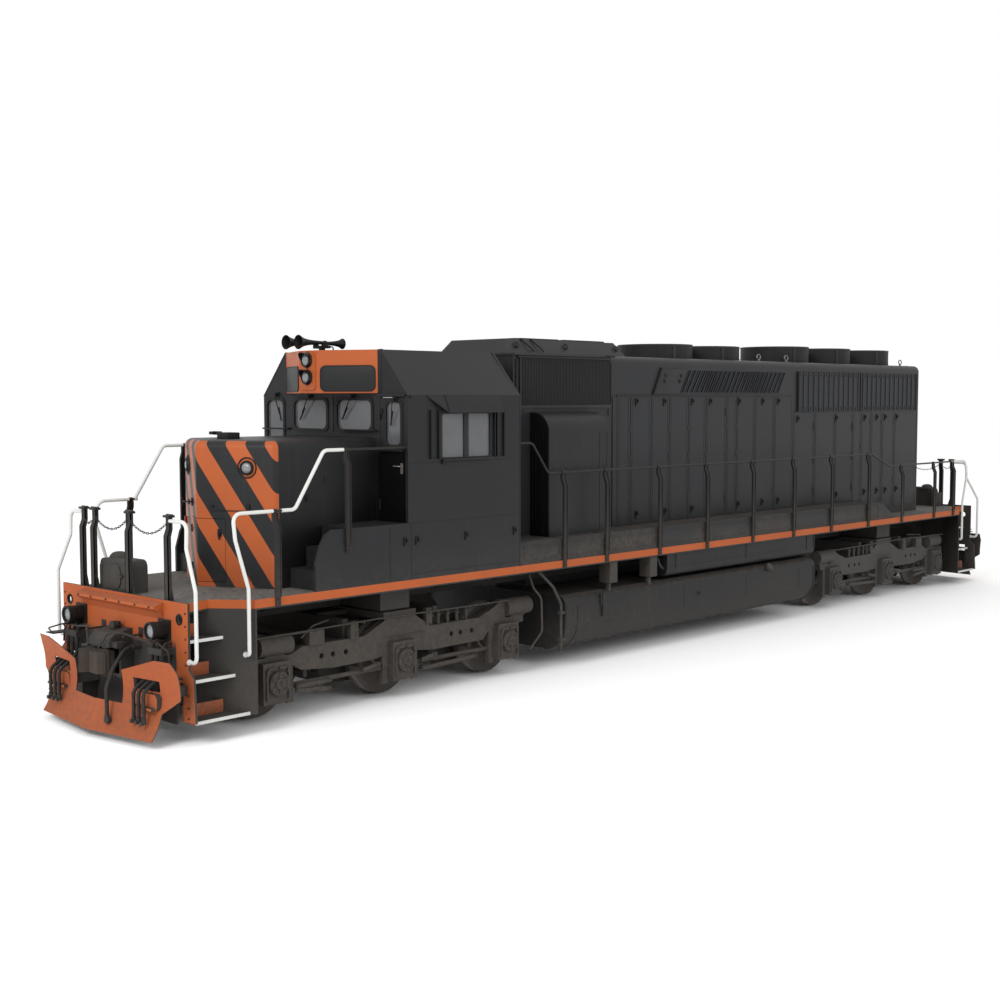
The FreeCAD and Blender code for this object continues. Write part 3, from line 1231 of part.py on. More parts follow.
def build_roof_front():
    """Headlight housing across the cab front, with two barrels, and the horn behind it."""
    outline = [(cab.cab_front, cab.housing_half_width), (cab.housing_front, cab.housing_front_half_width)]
    outline = outline + [(x, -y) for x, y in reversed(outline)]
    body = plate("housing", "xy", (cab.housing_bottom, cab.roof_top), [outline])
    lamps = [rod(f"lamp_{number}", cab.lamp_radius, "x",
                 (cab.housing_front, cab.housing_front + cab.lamp_length), (0, height))
             for number, height in enumerate((cab.lamp_upper, cab.lamp_lower))]
    keep(fused("headlight_housing", [body] + lamps), "headlight_housing")
    build_horn()


HORN_TRUMPETS = (  # throat, bell mouth, place across, mouth radius
    (6600, 7120, -300, 72),
    (6600, 7040, -450, 80),
    (6540, 6330, -375, 66),
)


def build_horn():
    """Three trumpets on a bar that stands on the cab roof."""
    bar = block("horn_bar", (size(6540), size(6600)), (-size(510), -size(240)), (size(4770), size(4820)))
    post = block("horn_post", (size(6545), size(6595)), (-size(400), -size(350)), (cab.roof_top, size(4771)))
    pieces = [bar, post]
    for number, (throat, mouth, across, radius) in enumerate(HORN_TRUMPETS):
        way = 1 if mouth > throat else -1
        cone = document.addObject("Part::Cone", f"trumpet_{number}")
        cone.Radius1, cone.Radius2, cone.Height = 20, radius, abs(mouth - throat)
        cone.Placement = Placement(Vector(), Rotation(Vector(0, 0, 1), Vector(way, 0, 0)))
        place(cone, size(throat), size(across), size(4795))
        pieces.append(cone)
    keep(fused("horn", pieces), "horn")


# ---------------------------------------------------------------- hoods, grilles and fans

hood = store((
    ("hood_half_width", 920, "half width of the long hood"),
    ("hood_top", 4685, "top of the long hood"),
    ("hood_front", 1815, "front of the long hood from the middle"),
    ("hood_rear", -8450, "rear of the long hood from the middle"),
    ("hood_round", 130, "rounded edges along the hood roof"),
    ("hood_wall", 60, "hood walls with their door frames"),
    ("door_proud", 12, "hood doors beyond the hood side"),
    ("door_seam", 14, "seam between hood doors"),
    ("door_foot", 60, "foot of the hood doors above the deck"),
    ("filter_front", 4560, "front of the air filter compartment from the middle"),
    ("filter_recess_front", 4060, "front of the filter screens from the middle"),
    ("screen_low", 3910, "bottom of the filter screens"),
    ("roof_lip_front", 4085, "front of the overhanging roof sheet from the middle"),
    ("roof_lip_half_width", 965, "half width of the overhanging roof sheet"),
    ("roof_lip_thickness", 30, "overhanging roof sheet"),
    ("hatch_front", 4020, "front of the roof hatch from the middle"),
    ("hatch_rear", 1180, "rear of the roof hatch from the middle"),
    ("hatch_half_width", 720, "half width of the roof hatch at its foot"),
    ("hatch_height", 225, "roof hatch above the roof"),
    ("hatch_bevel", 150, "slope of the roof hatch's sides"),
    ("blower_front", 3700, "front of the blower duct from the middle"),
    ("blower_rear", 2340, "rear of the blower duct from the middle"),
    ("blower_face", 1300, "outer face of the blower duct from the middle plane"),
    ("blower_top", 3810, "top of the blower duct"),
    ("blower_round", 300, "round of the blower duct's upper edge"),
    ("duct_top", 1970, "top of the raised walkway duct"),
    ("duct_inset", 15, "outer face of the raised walkway duct inside the sill face"),
    ("duct_rear", -5850, "rear of the duct's level top from the middle"),
    ("duct_foot", -6420, "foot of the duct's rear slope from the middle"),
    ("engine_front", 1400, "front of the engine and generator from the middle"),
    ("engine_rear", -3300, "rear of the engine from the middle"),
    ("engine_half_width", 560, "half width of the engine"),
    ("engine_height", 1750, "height of the engine above the deck"),
))

grille = store((
    ("brake_front", 24, "lower front corner of the brake grid opening from the middle"),
    ("brake_rear", -3074, "lower rear corner of the brake grid opening from the middle"),
    ("brake_lean", -260, "shift of the opening's top edge along the hood"),
    ("brake_bottom", 4085, "bottom of the brake grid opening"),
    ("brake_top", 4510, "top of the brake grid opening"),
    ("brake_rim", 30, "rim of the brake grid grille"),
    ("slat_width", 34, "slat of the brake grid grille"),
    ("radiator_front", -3690, "front of the radiator shutters from the middle"),
    ("radiator_rear", -8330, "rear of the radiator shutters from the middle"),
    ("radiator_bottom", 3770, "bottom of the radiator shutters"),
    ("radiator_top", 4500, "top of the radiator shutters"),
    ("shutter_thickness", 14, "radiator shutter panel"),
    ("rib_proud", 16, "shutter rib beyond the panel"),
    ("rib_width", 40, "shutter rib along the hood"),
))

SLAT_COUNT = 22
RIB_COUNT = 25

fan = store((
    ("fan_housing_radius", 650, "outside of a fan housing"),
    ("fan_housing_wall", 25, "wall of a fan housing"),
    ("fan_tip_gap", 20, "blade tips from the housing"),
    ("fan_hub_radius", 150, "hub of a fan"),
    ("fan_hub_height", 90, "height of a fan's hub"),
    ("fan_motor_radius", 130, "motor under a fan"),
    ("fan_motor_top", 90, "top of the fan motors above the hood roof"),
    ("fan_shaft_radius", 30, "shaft of a fan motor"),
    ("fan_shaft_length", 60, "shaft above the fan motor"),
    ("fan_arm_width", 60, "arms that carry a fan motor"),
    ("blade_width", 170, "fan blade"),
    ("blade_sheet", 12, "thickness of a fan blade"),
    ("blade_pitch", 32, "pitch of the fan blades in degrees"),
))

FANS = (  # name, place along the hood, height of its housing
    ("brake_fan_1", -530, 255),
    ("brake_fan_2", -1970, 255),
    ("radiator_fan_1", -4330, 310),
    ("radiator_fan_2", -5900, 310),
    ("radiator_fan_3", -7470, 310),
)

DOOR_SEAMS = (  # places along the hood of the seams between doors, and the height of their tops
    ((1780, 1320, 775, 280, -256, -760, -1376, -1690, -2263, -2900, -3540), 4040),
    ((-3540, -4300, -5050, -5730, -6060, -6450, -6900, -7410, -8400), 3745),
)

BLADE_COUNT = 8


def leaning_opening(inset):
    """The brake grid opening with its rim's inset: a parallelogram that leans back."""
    height = grille.brake_top - grille.brake_bottom
    slope = grille.brake_lean / height
    low, high = grille.brake_bottom + inset, grille.brake_top - inset
    shift_low, shift_high = slope * inset, slope * (height - inset)
    return [(grille.brake_rear + inset + shift_low, low), (grille.brake_front - inset + shift_low, low),
            (grille.brake_front - inset + shift_high, high), (grille.brake_rear + inset + shift_high, high)]


def hood_doors():
    """Engine and radiator doors that stand proud of both hood sides, with a seam between them."""
    half, seam = hood.hood_half_width, hood.door_seam / 2
    doors = []
    for seams, top in DOOR_SEAMS:
        for front, rear in zip(seams, seams[1:]):
            for side, foot in ((1, hood.duct_top + hood.door_seam), (-1, frame.deck_top + hood.door_foot)):
                doors.append(block(f"door_{len(doors)}", (size(rear) + seam, size(front) - seam),
                                   (half * side, (half + hood.door_proud) * side), (foot, size(top))))
    return doors


def build_long_hood():
    """Hollow hood with its doors, its brake grid openings cut and a hole in the roof under each fan."""
    half, wall, deck = hood.hood_half_width, hood.hood_wall, frame.deck_top
    outer = plate("hood_outer", "yz", (hood.hood_rear, hood.hood_front),
                  [rectangle(-half, half, deck, hood.hood_top)])
    rounded(outer, hood.hood_round, edges_along("x", y=(half, -half), z=(hood.hood_top,)))
    hollow = block("hood_hollow", (hood.hood_rear + wall, hood.hood_front - wall),
                   (-half + wall, half - wall), (deck, hood.hood_top - wall))
    openings = [plate("brake_openings", "xz", (-half - 10, half + 10), [leaning_opening(0)])]
    inner_radius = fan.fan_housing_radius - fan.fan_housing_wall
    for name, station, height in FANS:
        openings.append(rod(f"{name}_hole", inner_radius, "z",
                            (hood.hood_top - wall - 10, hood.hood_top + 10), (station, 0)))
    keep(fused("long_hood", [cut("hood_shell", outer, [hollow] + openings)] + hood_doors()), "long_hood")
    keep(block("engine_block", (hood.engine_rear, hood.engine_front),
               (-hood.engine_half_width, hood.engine_half_width), (deck, deck + hood.engine_height)),
         "engine_block")


def build_filter_house():
    """Air filter compartment behind the cab, its roof sheet and the roof hatch."""
    half, lip = hood.hood_half_width, hood.roof_lip_thickness
    low, top = frame.deck_top, hood.hood_top - lip
    body = block("filter_body", (hood.hood_front, hood.filter_front), (-half, half), (low, hood.screen_low))
    neck = block("filter_neck", (hood.hood_front, hood.filter_recess_front), (-half + 12, half - 12),
                 (hood.screen_low, top))
    keep(fused("filter_house", [body, neck]), "filter_house")
    roof_sheet = block("roof_sheet", (hood.hood_front, hood.roof_lip_front),
                       (-hood.roof_lip_half_width, hood.roof_lip_half_width), (top, hood.hood_top))
    front, rear, across = hood.hatch_front, hood.hatch_rear, hood.hatch_half_width
    bevel = hood.hatch_bevel
    crown = document.addObject("Part::Wedge", "hatch_crown")
    for field, entry in (("Xmin", rear), ("Xmax", front), ("Zmin", -across), ("Zmax", across),
                         ("X2min", rear + bevel), ("X2max", front - bevel),
                         ("Z2min", -across + bevel), ("Z2max", across - bevel),
                         ("Ymin", 0), ("Ymax", hood.hatch_height)):
        bind(crown, field, entry)
    crown.Placement = Placement(Vector(), Rotation(Vector(1, 0, 0), 90))
    bind(crown, "Placement.Base.z", hood.hood_top)
    keep(fused("roof_hatch", [roof_sheet, crown]), "roof_hatch")


def build_ducts():
    """Blower duct on the left of the filter house, and the raised walkway duct behind the cab."""
    face, top = hood.blower_face, hood.blower_top
    blower = plate("blower", "yz", (hood.blower_rear, hood.blower_front),
                   [rectangle(hood.hood_half_width, face, hood.duct_top, top)])
    rounded(blower, hood.blower_round, edges_along("x", y=(face,), z=(top,)))
    keep(blower, "blower_duct")
    profile = [(cab.cab_rear, frame.deck_top), (cab.cab_rear, hood.duct_top),
               (hood.duct_rear, hood.duct_top), (hood.duct_foot, frame.deck_top)]
    keep(plate("walkway_duct", "xz", (hood.hood_half_width, frame.sill_half_width - hood.duct_inset), [profile]),
         "walkway_duct")


def build_brake_grilles():
    """Leaning slats in a rim that fills the opening in each hood side."""
    half, gap = hood.hood_half_width, frame.seat_gap
    faces = (half - 40, half)
    rim = plate("grille_rim", "xz", faces, [leaning_opening(gap), leaning_opening(grille.brake_rim)])
    corners = leaning_opening(grille.brake_rim - 2)
    (rear_low, low), (front_low, _), (_, high), (rear_high, _) = corners
    pitch = (front_low - rear_low) / (SLAT_COUNT + 1)
    width = grille.slat_width
    pieces = [rim]
    for number in range(1, SLAT_COUNT + 1):
        start_low, start_high = rear_low + pitch * number, rear_high + pitch * number
        pieces.append(plate(f"slat_{number}", "xz", (half - 34, half - 4),
                            [[(start_low - width / 2, low), (start_low + width / 2, low),
                              (start_high + width / 2, high), (start_high - width / 2, high)]]))
    keep(both_sides("brake_grilles", fused("brake_grille_left", pieces)), "brake_grilles")


def build_radiator_grilles():
    """Two shutter panels on each hood side with upright ribs."""
    half, low, high = hood.hood_half_width, grille.radiator_bottom, grille.radiator_top
    thick, proud, width = grille.shutter_thickness, grille.rib_proud, grille.rib_width
    pieces = [block("shutter_panel", (grille.radiator_rear, grille.radiator_front),
                    (half, half + thick), (low, high))]
    pitch = (grille.radiator_front - grille.radiator_rear - width) / RIB_COUNT
    for number in range(RIB_COUNT + 1):
        start = grille.radiator_rear + pitch * number
        pieces.append(block(f"rib_{number}", (start, start + width), (half + thick - 1, half + thick + proud),
                            (low, high)))
    keep(both_sides("radiator_grilles", fused("radiator_grille_left", pieces)), "radiator_grilles")


def build_fans():
    """A ring housing, a motor on three arms, and a bladed rotor on its shaft for each fan."""
    roof = hood.hood_top
    outer, wall = fan.fan_housing_radius, fan.fan_housing_wall
    inner = outer - wall
    motor_top = roof + fan.fan_motor_top
    housings = []
    for name, station, height in FANS:
        ring = plate(f"{name}_ring", "xy", (roof, roof + height), [],
                     [((size(station), 0), outer), ((size(station), 0), inner)])
        motor = rod(f"{name}_motor", fan.fan_motor_radius, "z", (roof - 40, motor_top), (station, 0))
        shaft = rod(f"{name}_shaft", fan.fan_shaft_radius, "z", (motor_top, motor_top + fan.fan_shaft_length),
                    (station, 0))
        across = fan.fan_arm_width / 2
        arm = block(f"{name}_arm", (size(station) - inner - 5, size(station) + inner + 5),
                    (-across, across), (roof + 20, roof + 50))
        housings.append(fused(f"{name}_housing", [ring, motor, shaft, arm]))
        build_rotor(name, size(station), motor_top + frame.seat_gap)
    keep(together("fan_housings", housings), "fan_housings")


def build_rotor(label, station, base):
    """A hub bored for its shaft, with pitched blades around it."""
    hub = rod(f"{label}_hub", fan.fan_hub_radius, "z", (0, fan.fan_hub_height), (0, 0))
    tip = fan.fan_housing_radius - fan.fan_housing_wall - fan.fan_tip_gap
    blades = []
    for number in range(BLADE_COUNT):
        blade = document.addObject("Part::Box", f"{label}_blade_{number}")
        bind(blade, "Length", tip - fan.fan_hub_radius + 40)
        bind(blade, "Width", fan.blade_width)
        bind(blade, "Height", fan.blade_sheet)
        around = Rotation(Vector(0, 0, 1), 360 * number / BLADE_COUNT)
        pitched = Rotation(Vector(1, 0, 0), fan.blade_pitch.number)
        turn = around.multiply(pitched)
        start = Vector(fan.fan_hub_radius.number - 40, -fan.blade_width.number / 2, 0)
        blade.Placement = Placement(turn.multVec(start) + Vector(0, 0, fan.fan_hub_height.number / 2), turn)
        blades.append(blade)
    bore = rod(f"{label}_bore", fan.fan_shaft_radius + frame.fit_clearance, "z",
               (-10, fan.fan_hub_height + 10), (0, 0))
    rotor = cut(f"{label}_rotor", fused(f"{label}_bladed_hub", [hub] + blades), [bore])
    place(rotor, station, 0, base)
    keep(rotor, label)


# ---------------------------------------------------------------- handrails and end fittings

rail = store((
    ("rail_radius", 17, "handrail tube"),
    ("post_width", 66, "handrail post along the locomotive"),
    ("post_thickness", 24, "handrail post across the locomotive"),
    ("post_foot", 1545, "foot of the posts on the side sill"),
    ("high_rail", 2930, "handrail beside the raised duct"),
    ("low_rail", 2675, "handrail beside the plain deck"),
    ("cab_rail", 3380, "handrail that meets the cab"),
    ("stanchion_width", 90, "stanchion on an end platform"),
    ("stanchion_depth", 60, "stanchion along the locomotive"),
    ("stanchion_top", 2655, "top of the stanchions"),
    ("grab_knee", 1305, "upright of the end grab rail from the middle plane"),
    ("grab_slope_top", 2290, "start of the end grab rail's slope outwards"),
    ("grab_slope_foot", 1820, "end of the end grab rail's slope"),
    ("grab_end", 990, "lower end of the end grab rail"),
    ("box_height", 400, "equipment box on an end platform"),
))

POSTS_LEFT = (  # place along the locomotive, foot, top
    (8870, 1545, 2655), (7770, 2120, 3380), (3630, 1545, 2930), (2655, 1545, 2930), (1330, 1545, 2930),
    (40, 1545, 2930), (-1310, 1545, 2930), (-2620, 1545, 2930), (-3920, 1545, 2930), (-5290, 1545, 2930),
    (-6630, 1545, 2675), (-8010, 1545, 2675), (-8880, 1545, 2675),
)

POSTS_RIGHT = (
    (8980, 1545, 2655), (8120, 2120, 3380), (3630, 1545, 2675), (2655, 1545, 2675), (1330, 1545, 2675),
    (40, 1545, 2675), (-1310, 1545, 2675), (-2620, 1545, 2675), (-3920, 1545, 2675), (-5290, 1545, 2675),
    (-6630, 1545, 2675), (-8010, 1545, 2675), (-8880, 1545, 2675),
)

STANCHIONS = (-980, -720, 80, 930)  # places across the front platform


def step_rail(end):
    """The rail's run down the outer edge of the skirt, in height order from its hook."""
    return [(size(9300) * end, size(990)), (size(9300) * end, size(1790)), (size(9480) * end, size(2370)),
            (size(9480) * end, rail.low_rail)]


def side_rails(name, posts, rear_run):
    """Posts on the sill with the front and rear handrail tubes of the left side."""
    line = frame.sill_half_width + rail.post_thickness / 2
    cab_rail, wall_line = rail.cab_rail, frame.sill_half_width - 20
    front_run = step_rail(1) + [(size(posts[1][0]) + 800, rail.low_rail), (size(posts[1][0]) + 330, cab_rail),
                                (cab.cab_front, cab_rail)]
    runs = {"front": front_run, "rear": rear_run + list(reversed(step_rail(-1)))}
    pieces = []
    for end, run in runs.items():
        points = [(x, line, z) for x, z in run]
        pieces.append(tube(f"{name}_{end}_rail", points, rail.rail_radius))
        hook_x = size(9300) if end == "front" else size(-9300)
        pieces.append(rod(f"{name}_{end}_hook", rail.rail_radius, "y",
                          (frame.sill_half_width - 60, line), (hook_x, size(990))))
    for corner, x in (("front", (cab.cab_front - 40, cab.cab_front)), ("rear", (cab.cab_rear, cab.cab_rear + 40))):
        pieces.append(block(f"{name}_{corner}_bracket", x, (frame.sill_half_width, line),
                            (cab_rail - 20, cab_rail + 20)))
    for number, (station, foot, top) in enumerate(posts):
        half = rail.post_width / 2
        pieces.append(block(f"{name}_post_{number}", (size(station) - half, size(station) + half),
                            (frame.sill_half_width, frame.sill_half_width + rail.post_thickness),
                            (foot, size(top) + 20)))
    return fused(name, pieces)


def build_side_rails():
    start = [(cab.cab_rear, rail.cab_rail), (size(4300), rail.cab_rail)]
    left_run = start + [(size(3950), rail.high_rail), (size(-5450), rail.high_rail),
                        (size(-6150), rail.low_rail)]
    right_run = start + [(size(3850), rail.low_rail)]
    keep(side_rails("left_handrails", POSTS_LEFT, left_run), "left_handrails")
    right = side_rails("right_rails", POSTS_RIGHT, right_run)
    keep(mirrored("right_handrails", right, "y"), "right_handrails")


def build_end_rails():
    """Four stanchions on each end platform and the grab rails beside the steps."""
    inner = frame.end_plate_face - frame.end_plate_thickness
    foot = frame.deck_top
    pieces = []
    for number, across in enumerate(STANCHIONS):
        half = rail.stanchion_width / 2
        post = block(f"stanchion_{number}", (inner - rail.stanchion_depth, inner),
                     (size(across) - half, size(across) + half), (foot, rail.stanchion_top))
        cap = block(f"stanchion_cap_{number}", (inner - rail.stanchion_depth - 25, inner + 25),
                    (size(across) - half - 20, size(across) + half + 20),
                    (rail.stanchion_top - 1, rail.stanchion_top + 14))
        pieces.append(fused(f"stanchion_with_cap_{number}", [post, cap]))
    line = frame.end_plate_face - frame.end_plate_thickness / 2
    height = rail.stanchion_top - 60
    grab_line = frame.sill_half_width + rail.post_thickness / 2
    for name, side, index in (("left", 1, 3), ("right", -1, 0)):
        start = (size(abs(STANCHIONS[index])) + rail.stanchion_width / 2 - 10) * side
        upper, knee = line - 45, rail.grab_knee * side
        points = [(upper, start, height), (upper, knee, height), (upper, knee, rail.grab_slope_top),
                  (line, grab_line * side, rail.grab_slope_foot), (line, grab_line * side, rail.grab_end),
                  (line, ends.plate_half_width * side, rail.grab_end)]
        grab = tube(f"{name}_grab", points, rail.rail_radius)
        pieces[index] = fused(f"{name}_stanchion_and_grab", [pieces[index], grab])
    front = together("front_end_rails_pieces", pieces)
    rear = mirrored("rear_end_rails_pieces", front, "x", "y")
    keep(together("end_rails", [front, rear]), "end_rails")
    low, high = inner - 320, inner - rail.stanchion_depth - 20
    box = plate("end_box", "yz", (low, high), [rectangle(-size(675), size(30), foot, foot + rail.box_height)])
    rounded(box, 90, edges_along("x", z=(foot + rail.box_height,)))
    keep(together("end_boxes", [box, mirrored("rear_end_box", box, "x", "y")]), "end_boxes")


# ---------------------------------------------------------------- the whole locomotive

def build():
    build_underframe()
    build_pilot()
    build_plow()
    build_hoses()
    build_bogies()
    build_coupler()
    build_tank()
    build_nose()
    build_cab_shell()
    build_cab_glass()
    build_cab_inside()
    build_roof_front()
    build_long_hood()
    build_filter_house()
    build_ducts()
    build_brake_grilles()
    build_radiator_grilles()
    build_fans()
    build_side_rails()
    build_end_rails()
    document.recompute()


def check():
    """Stop if any object failed or any piece is not a valid solid."""
    for item in document.Objects:
        if "Invalid" in item.State or "Error" in item.State:
            raise RuntimeError(f"{item.Name} failed: {item.State}")
    for label, item in nodes.items():
        shape = item.Shape
        if shape.isNull() or not shape.isValid() or not shape.Solids:
            raise RuntimeError(f"{label} is not a valid solid")


def export():
    os.makedirs("parts", exist_ok=True)
    for label, item in nodes.items():
        item.Shape.exportStep(f"parts/{label}.step")


build()
check()
export()
print(len(nodes), "pieces written")
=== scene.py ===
"""Finish of the diesel locomotive: paint, glass, rails, latches, hoses and the studio around it.

Metres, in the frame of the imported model: +X to the nose, +Y to the left side, +Z up.
"""
import math
import bpy
import bmesh
from bpy.props import FloatProperty, FloatVectorProperty, IntProperty, PointerProperty
from mathutils import Matrix, Vector


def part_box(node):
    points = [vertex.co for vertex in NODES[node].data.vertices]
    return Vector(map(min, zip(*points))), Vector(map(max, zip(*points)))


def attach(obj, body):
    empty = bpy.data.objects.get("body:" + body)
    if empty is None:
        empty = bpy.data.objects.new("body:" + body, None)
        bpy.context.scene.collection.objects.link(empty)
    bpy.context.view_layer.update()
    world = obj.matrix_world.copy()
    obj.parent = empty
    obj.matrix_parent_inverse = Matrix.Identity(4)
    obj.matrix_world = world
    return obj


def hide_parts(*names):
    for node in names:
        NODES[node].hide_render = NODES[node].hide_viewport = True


bl_info = {
    "name": "Diesel Locomotive Finish",
    "version": (1, 0, 0),
    "blender": (4, 5, 0),
    "location": "View3D > Sidebar > Locomotive",
    "description": "Builds the paint, fittings and studio of a six-axle diesel locomotive",
    "category": "Object",
}

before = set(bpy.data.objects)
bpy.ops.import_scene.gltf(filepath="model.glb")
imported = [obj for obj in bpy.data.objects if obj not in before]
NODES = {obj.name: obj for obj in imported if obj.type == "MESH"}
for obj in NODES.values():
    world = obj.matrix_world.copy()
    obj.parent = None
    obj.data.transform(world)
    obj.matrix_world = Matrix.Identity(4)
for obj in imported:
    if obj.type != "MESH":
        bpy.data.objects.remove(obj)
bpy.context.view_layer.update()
ROOT = "locomotive"

MIRROR_X = Matrix.Scale(-1, 4, (1, 0, 0))
MIRROR_Y = Matrix.Scale(-1, 4, (0, 1, 0))
HALF_TURN = Matrix.Rotation(math.pi, 4, "Z")
HERE = Matrix.Identity(4)
ALL_CORNERS = (HERE, MIRROR_Y, MIRROR_X, HALF_TURN)
# Reach of a fitting into the sheet it sits on, and height of a seam above it.
SUNK, SEAM_PROUD = 0.004, 0.0015
# Heights of the two lamps at each end.
FRONT_LAMPS = (4.535, 4.305)
REAR_LAMPS = (4.44, 4.21)


# ---------------------------------------------------------------- sizes and colours

def colour(name, description, default):
    return FloatVectorProperty(name=name, description=description, default=default,
                               subtype="COLOR", size=3, min=0.0, max=1.0)


def length(name, description, default):
    return FloatProperty(name=name, description=description, default=default, min=0.0, unit="LENGTH")


class PaintSettings(bpy.types.PropertyGroup):
    body: colour("Body", "Charcoal of the hoods and cab", (0.016, 0.0165, 0.018))
    orange: colour("Orange", "Orange of the nose, stripe and plows", (0.335, 0.075, 0.019))
    safety: colour("Safety white", "White of the step edges and step rails", (0.55, 0.55, 0.53))
    running_gear: colour("Running gear", "Dusty paint of bogies, tank and underframe", (0.030, 0.028, 0.026))
    dust: colour("Dust", "Road dust that settles low on the vehicle", (0.074, 0.063, 0.053))
    rust: colour("Rust", "Rust of the bare castings", (0.034, 0.024, 0.018))
    rubber: colour("Rubber", "Hoses, wiper blades and window seals", (0.012, 0.012, 0.012))
    steel: colour("Steel", "Worn steel of treads and fittings", (0.20, 0.18, 0.165))
    seat: colour("Cushions", "Covering of the crew's seats", (0.035, 0.032, 0.034))


class RailSettings(bpy.types.PropertyGroup):
    radius: length("Rail radius", "Radius of the handrail tubes", 0.017)
    step_grab_radius: length("Step rail radius", "Radius of the white rails at the steps", 0.023)
    sides: IntProperty(name="Rail sides", description="Facets round a handrail tube",
                       default=12, min=6, max=32)


class StageSettings(bpy.types.PropertyGroup):
    lens: FloatProperty(name="Lens", description="Focal length on a 36 mm wide sensor",
                        default=50.21, min=10.0, max=200.0, unit="CAMERA")
    camera_x: FloatProperty(name="Camera X", description="Place of the camera along the locomotive",
                            default=19.0407, unit="LENGTH")
    camera_y: FloatProperty(name="Camera Y", description="Place of the camera to the left",
                            default=14.9588, unit="LENGTH")
    camera_z: FloatProperty(name="Camera Z", description="Height of the camera",
                            default=4.0176, unit="LENGTH")
    yaw: FloatProperty(name="Heading", description="Heading of the view from +X towards +Y",
                       default=math.radians(223.7039), subtype="ANGLE")
    pitch: FloatProperty(name="Pitch", description="Rise of the view above the horizon",
                         default=math.radians(-4.1692), subtype="ANGLE")
    roll: FloatProperty(name="Roll", description="Turn of the camera about its view",
                        default=math.radians(0.0719), subtype="ANGLE")
    sky: FloatProperty(name="Studio light", description="Strength of the even white surround",
                       default=1.0, min=0.0)
    key: FloatProperty(name="Key light", description="Strength of the large light ahead",
                       default=1.0, min=0.0)


# ---------------------------------------------------------------- mesh building

def soften(shape, edges, width):
    """Round some edges a little."""
    bmesh.ops.bevel(shape, geom=list(edges), offset=width, segments=2, profile=0.7, affect="EDGES",
                    clamp_overlap=True)


def add_box(shape, low, high, bevel=0.0):
    """A straight box between two corners, with small rounded edges."""
    low, high = Vector(map(min, low, high)), Vector(map(max, low, high))
    made = bmesh.ops.create_cube(shape, size=1.0)["verts"]
    for vert in made:
        vert.co = Vector(low[i] + (vert.co[i] + 0.5) * (high[i] - low[i]) for i in range(3))
    if bevel:
        soften(shape, {edge for vert in made for edge in vert.link_edges}, bevel)


def join_rings(shape, rings, around=True):
    """Faces between each ring and the next; around also joins a ring's last point to its first."""
    faces = []
    for low, high in zip(rings, rings[1:]):
        for i in range(len(low) if around else len(low) - 1):
            after = (i + 1) % len(low)
            faces.append(shape.faces.new((low[i], low[after], high[after], high[i])))
    return faces


def add_solid(shape, first, second):
    """A closed solid between two outlines with as many corners; its end faces come first."""
    rings = [[shape.verts.new(corner) for corner in outline] for outline in (first, second)]
    faces = [shape.faces.new(rings[0]), shape.faces.new(list(reversed(rings[1])))] + join_rings(shape, rings)
    bmesh.ops.recalc_face_normals(shape, faces=faces)
    return faces


def place_on(axis, corner, along):
    """A corner of a plane across an axis, at a place along that axis."""
    point = list(corner)
    point.insert(axis, along)
    return point


def add_prism(shape, outline, axis, low, high, bevel=0.0):
    """An outline in the plane across an axis, extruded between two places on it."""
    faces = add_solid(shape,
                      *([place_on(axis, corner, along) for corner in outline] for along in (low, high)))
    if bevel:
        soften(shape, {edge for face in faces[:2] for edge in face.edges}, bevel)


def turns(count):
    """Angles that divide a full turn, from 0."""
    return [2 * math.pi * i / count for i in range(count)]


def circle(shape, centre, first, second, radius, sides):
    """Points round a centre, in the plane of two unit vectors."""
    return [shape.verts.new(centre + (first * math.cos(turn) + second * math.sin(turn)) * radius)
            for turn in turns(sides)]


def across(direction):
    """Two unit vectors square to a direction and to one another."""
    direction = Vector(direction).normalized()
    helper = Vector((0, 0, 1)) if abs(direction.z) < 0.9 else Vector((1, 0, 0))
    first = direction.cross(helper).normalized()
    return first, direction.cross(first).normalized()


def add_turned(shape, start, direction, profile, sides=24):
    """A profile of (distance along the direction, radius) turned about it, closed at radius 0."""
    direction = Vector(direction).normalized()
    first, second = across(direction)
    rings = []
    for along, radius in profile:
        centre = Vector(start) + direction * along
        rings.append(circle(shape, centre, first, second, radius, sides) if radius > 1e-6
                     else [shape.verts.new(centre)])
    faces = []
    for low, high in zip(rings, rings[1:]):
        for i in range(sides):
            after = (i + 1) % sides
            corners = dict.fromkeys((low[i % len(low)], low[after % len(low)],
                                     high[after % len(high)], high[i % len(high)]))
            if len(corners) > 2:
                faces.append(shape.faces.new(tuple(corners)))
    bmesh.ops.recalc_face_normals(shape, faces=faces)


def disc(radius, height):
    """The profile of a plain disc, for add_turned."""
    return [(0, 0), (0, radius), (height, radius), (height, 0)]


def add_disc_rod(shape, start, end, radius, sides=16, edge=0.0):
    """A round bar with flat ends and, if asked, rounded rims."""
    reach = (Vector(end) - Vector(start)).length
    edge = min(edge, radius * 0.5, reach * 0.45)
    profile = [(0, 0), (0, radius - edge), (edge, radius), (reach - edge, radius), (reach, radius - edge),
               (reach, 0)] if edge else disc(radius, reach)
    add_turned(shape, start, Vector(end) - Vector(start), profile, sides)


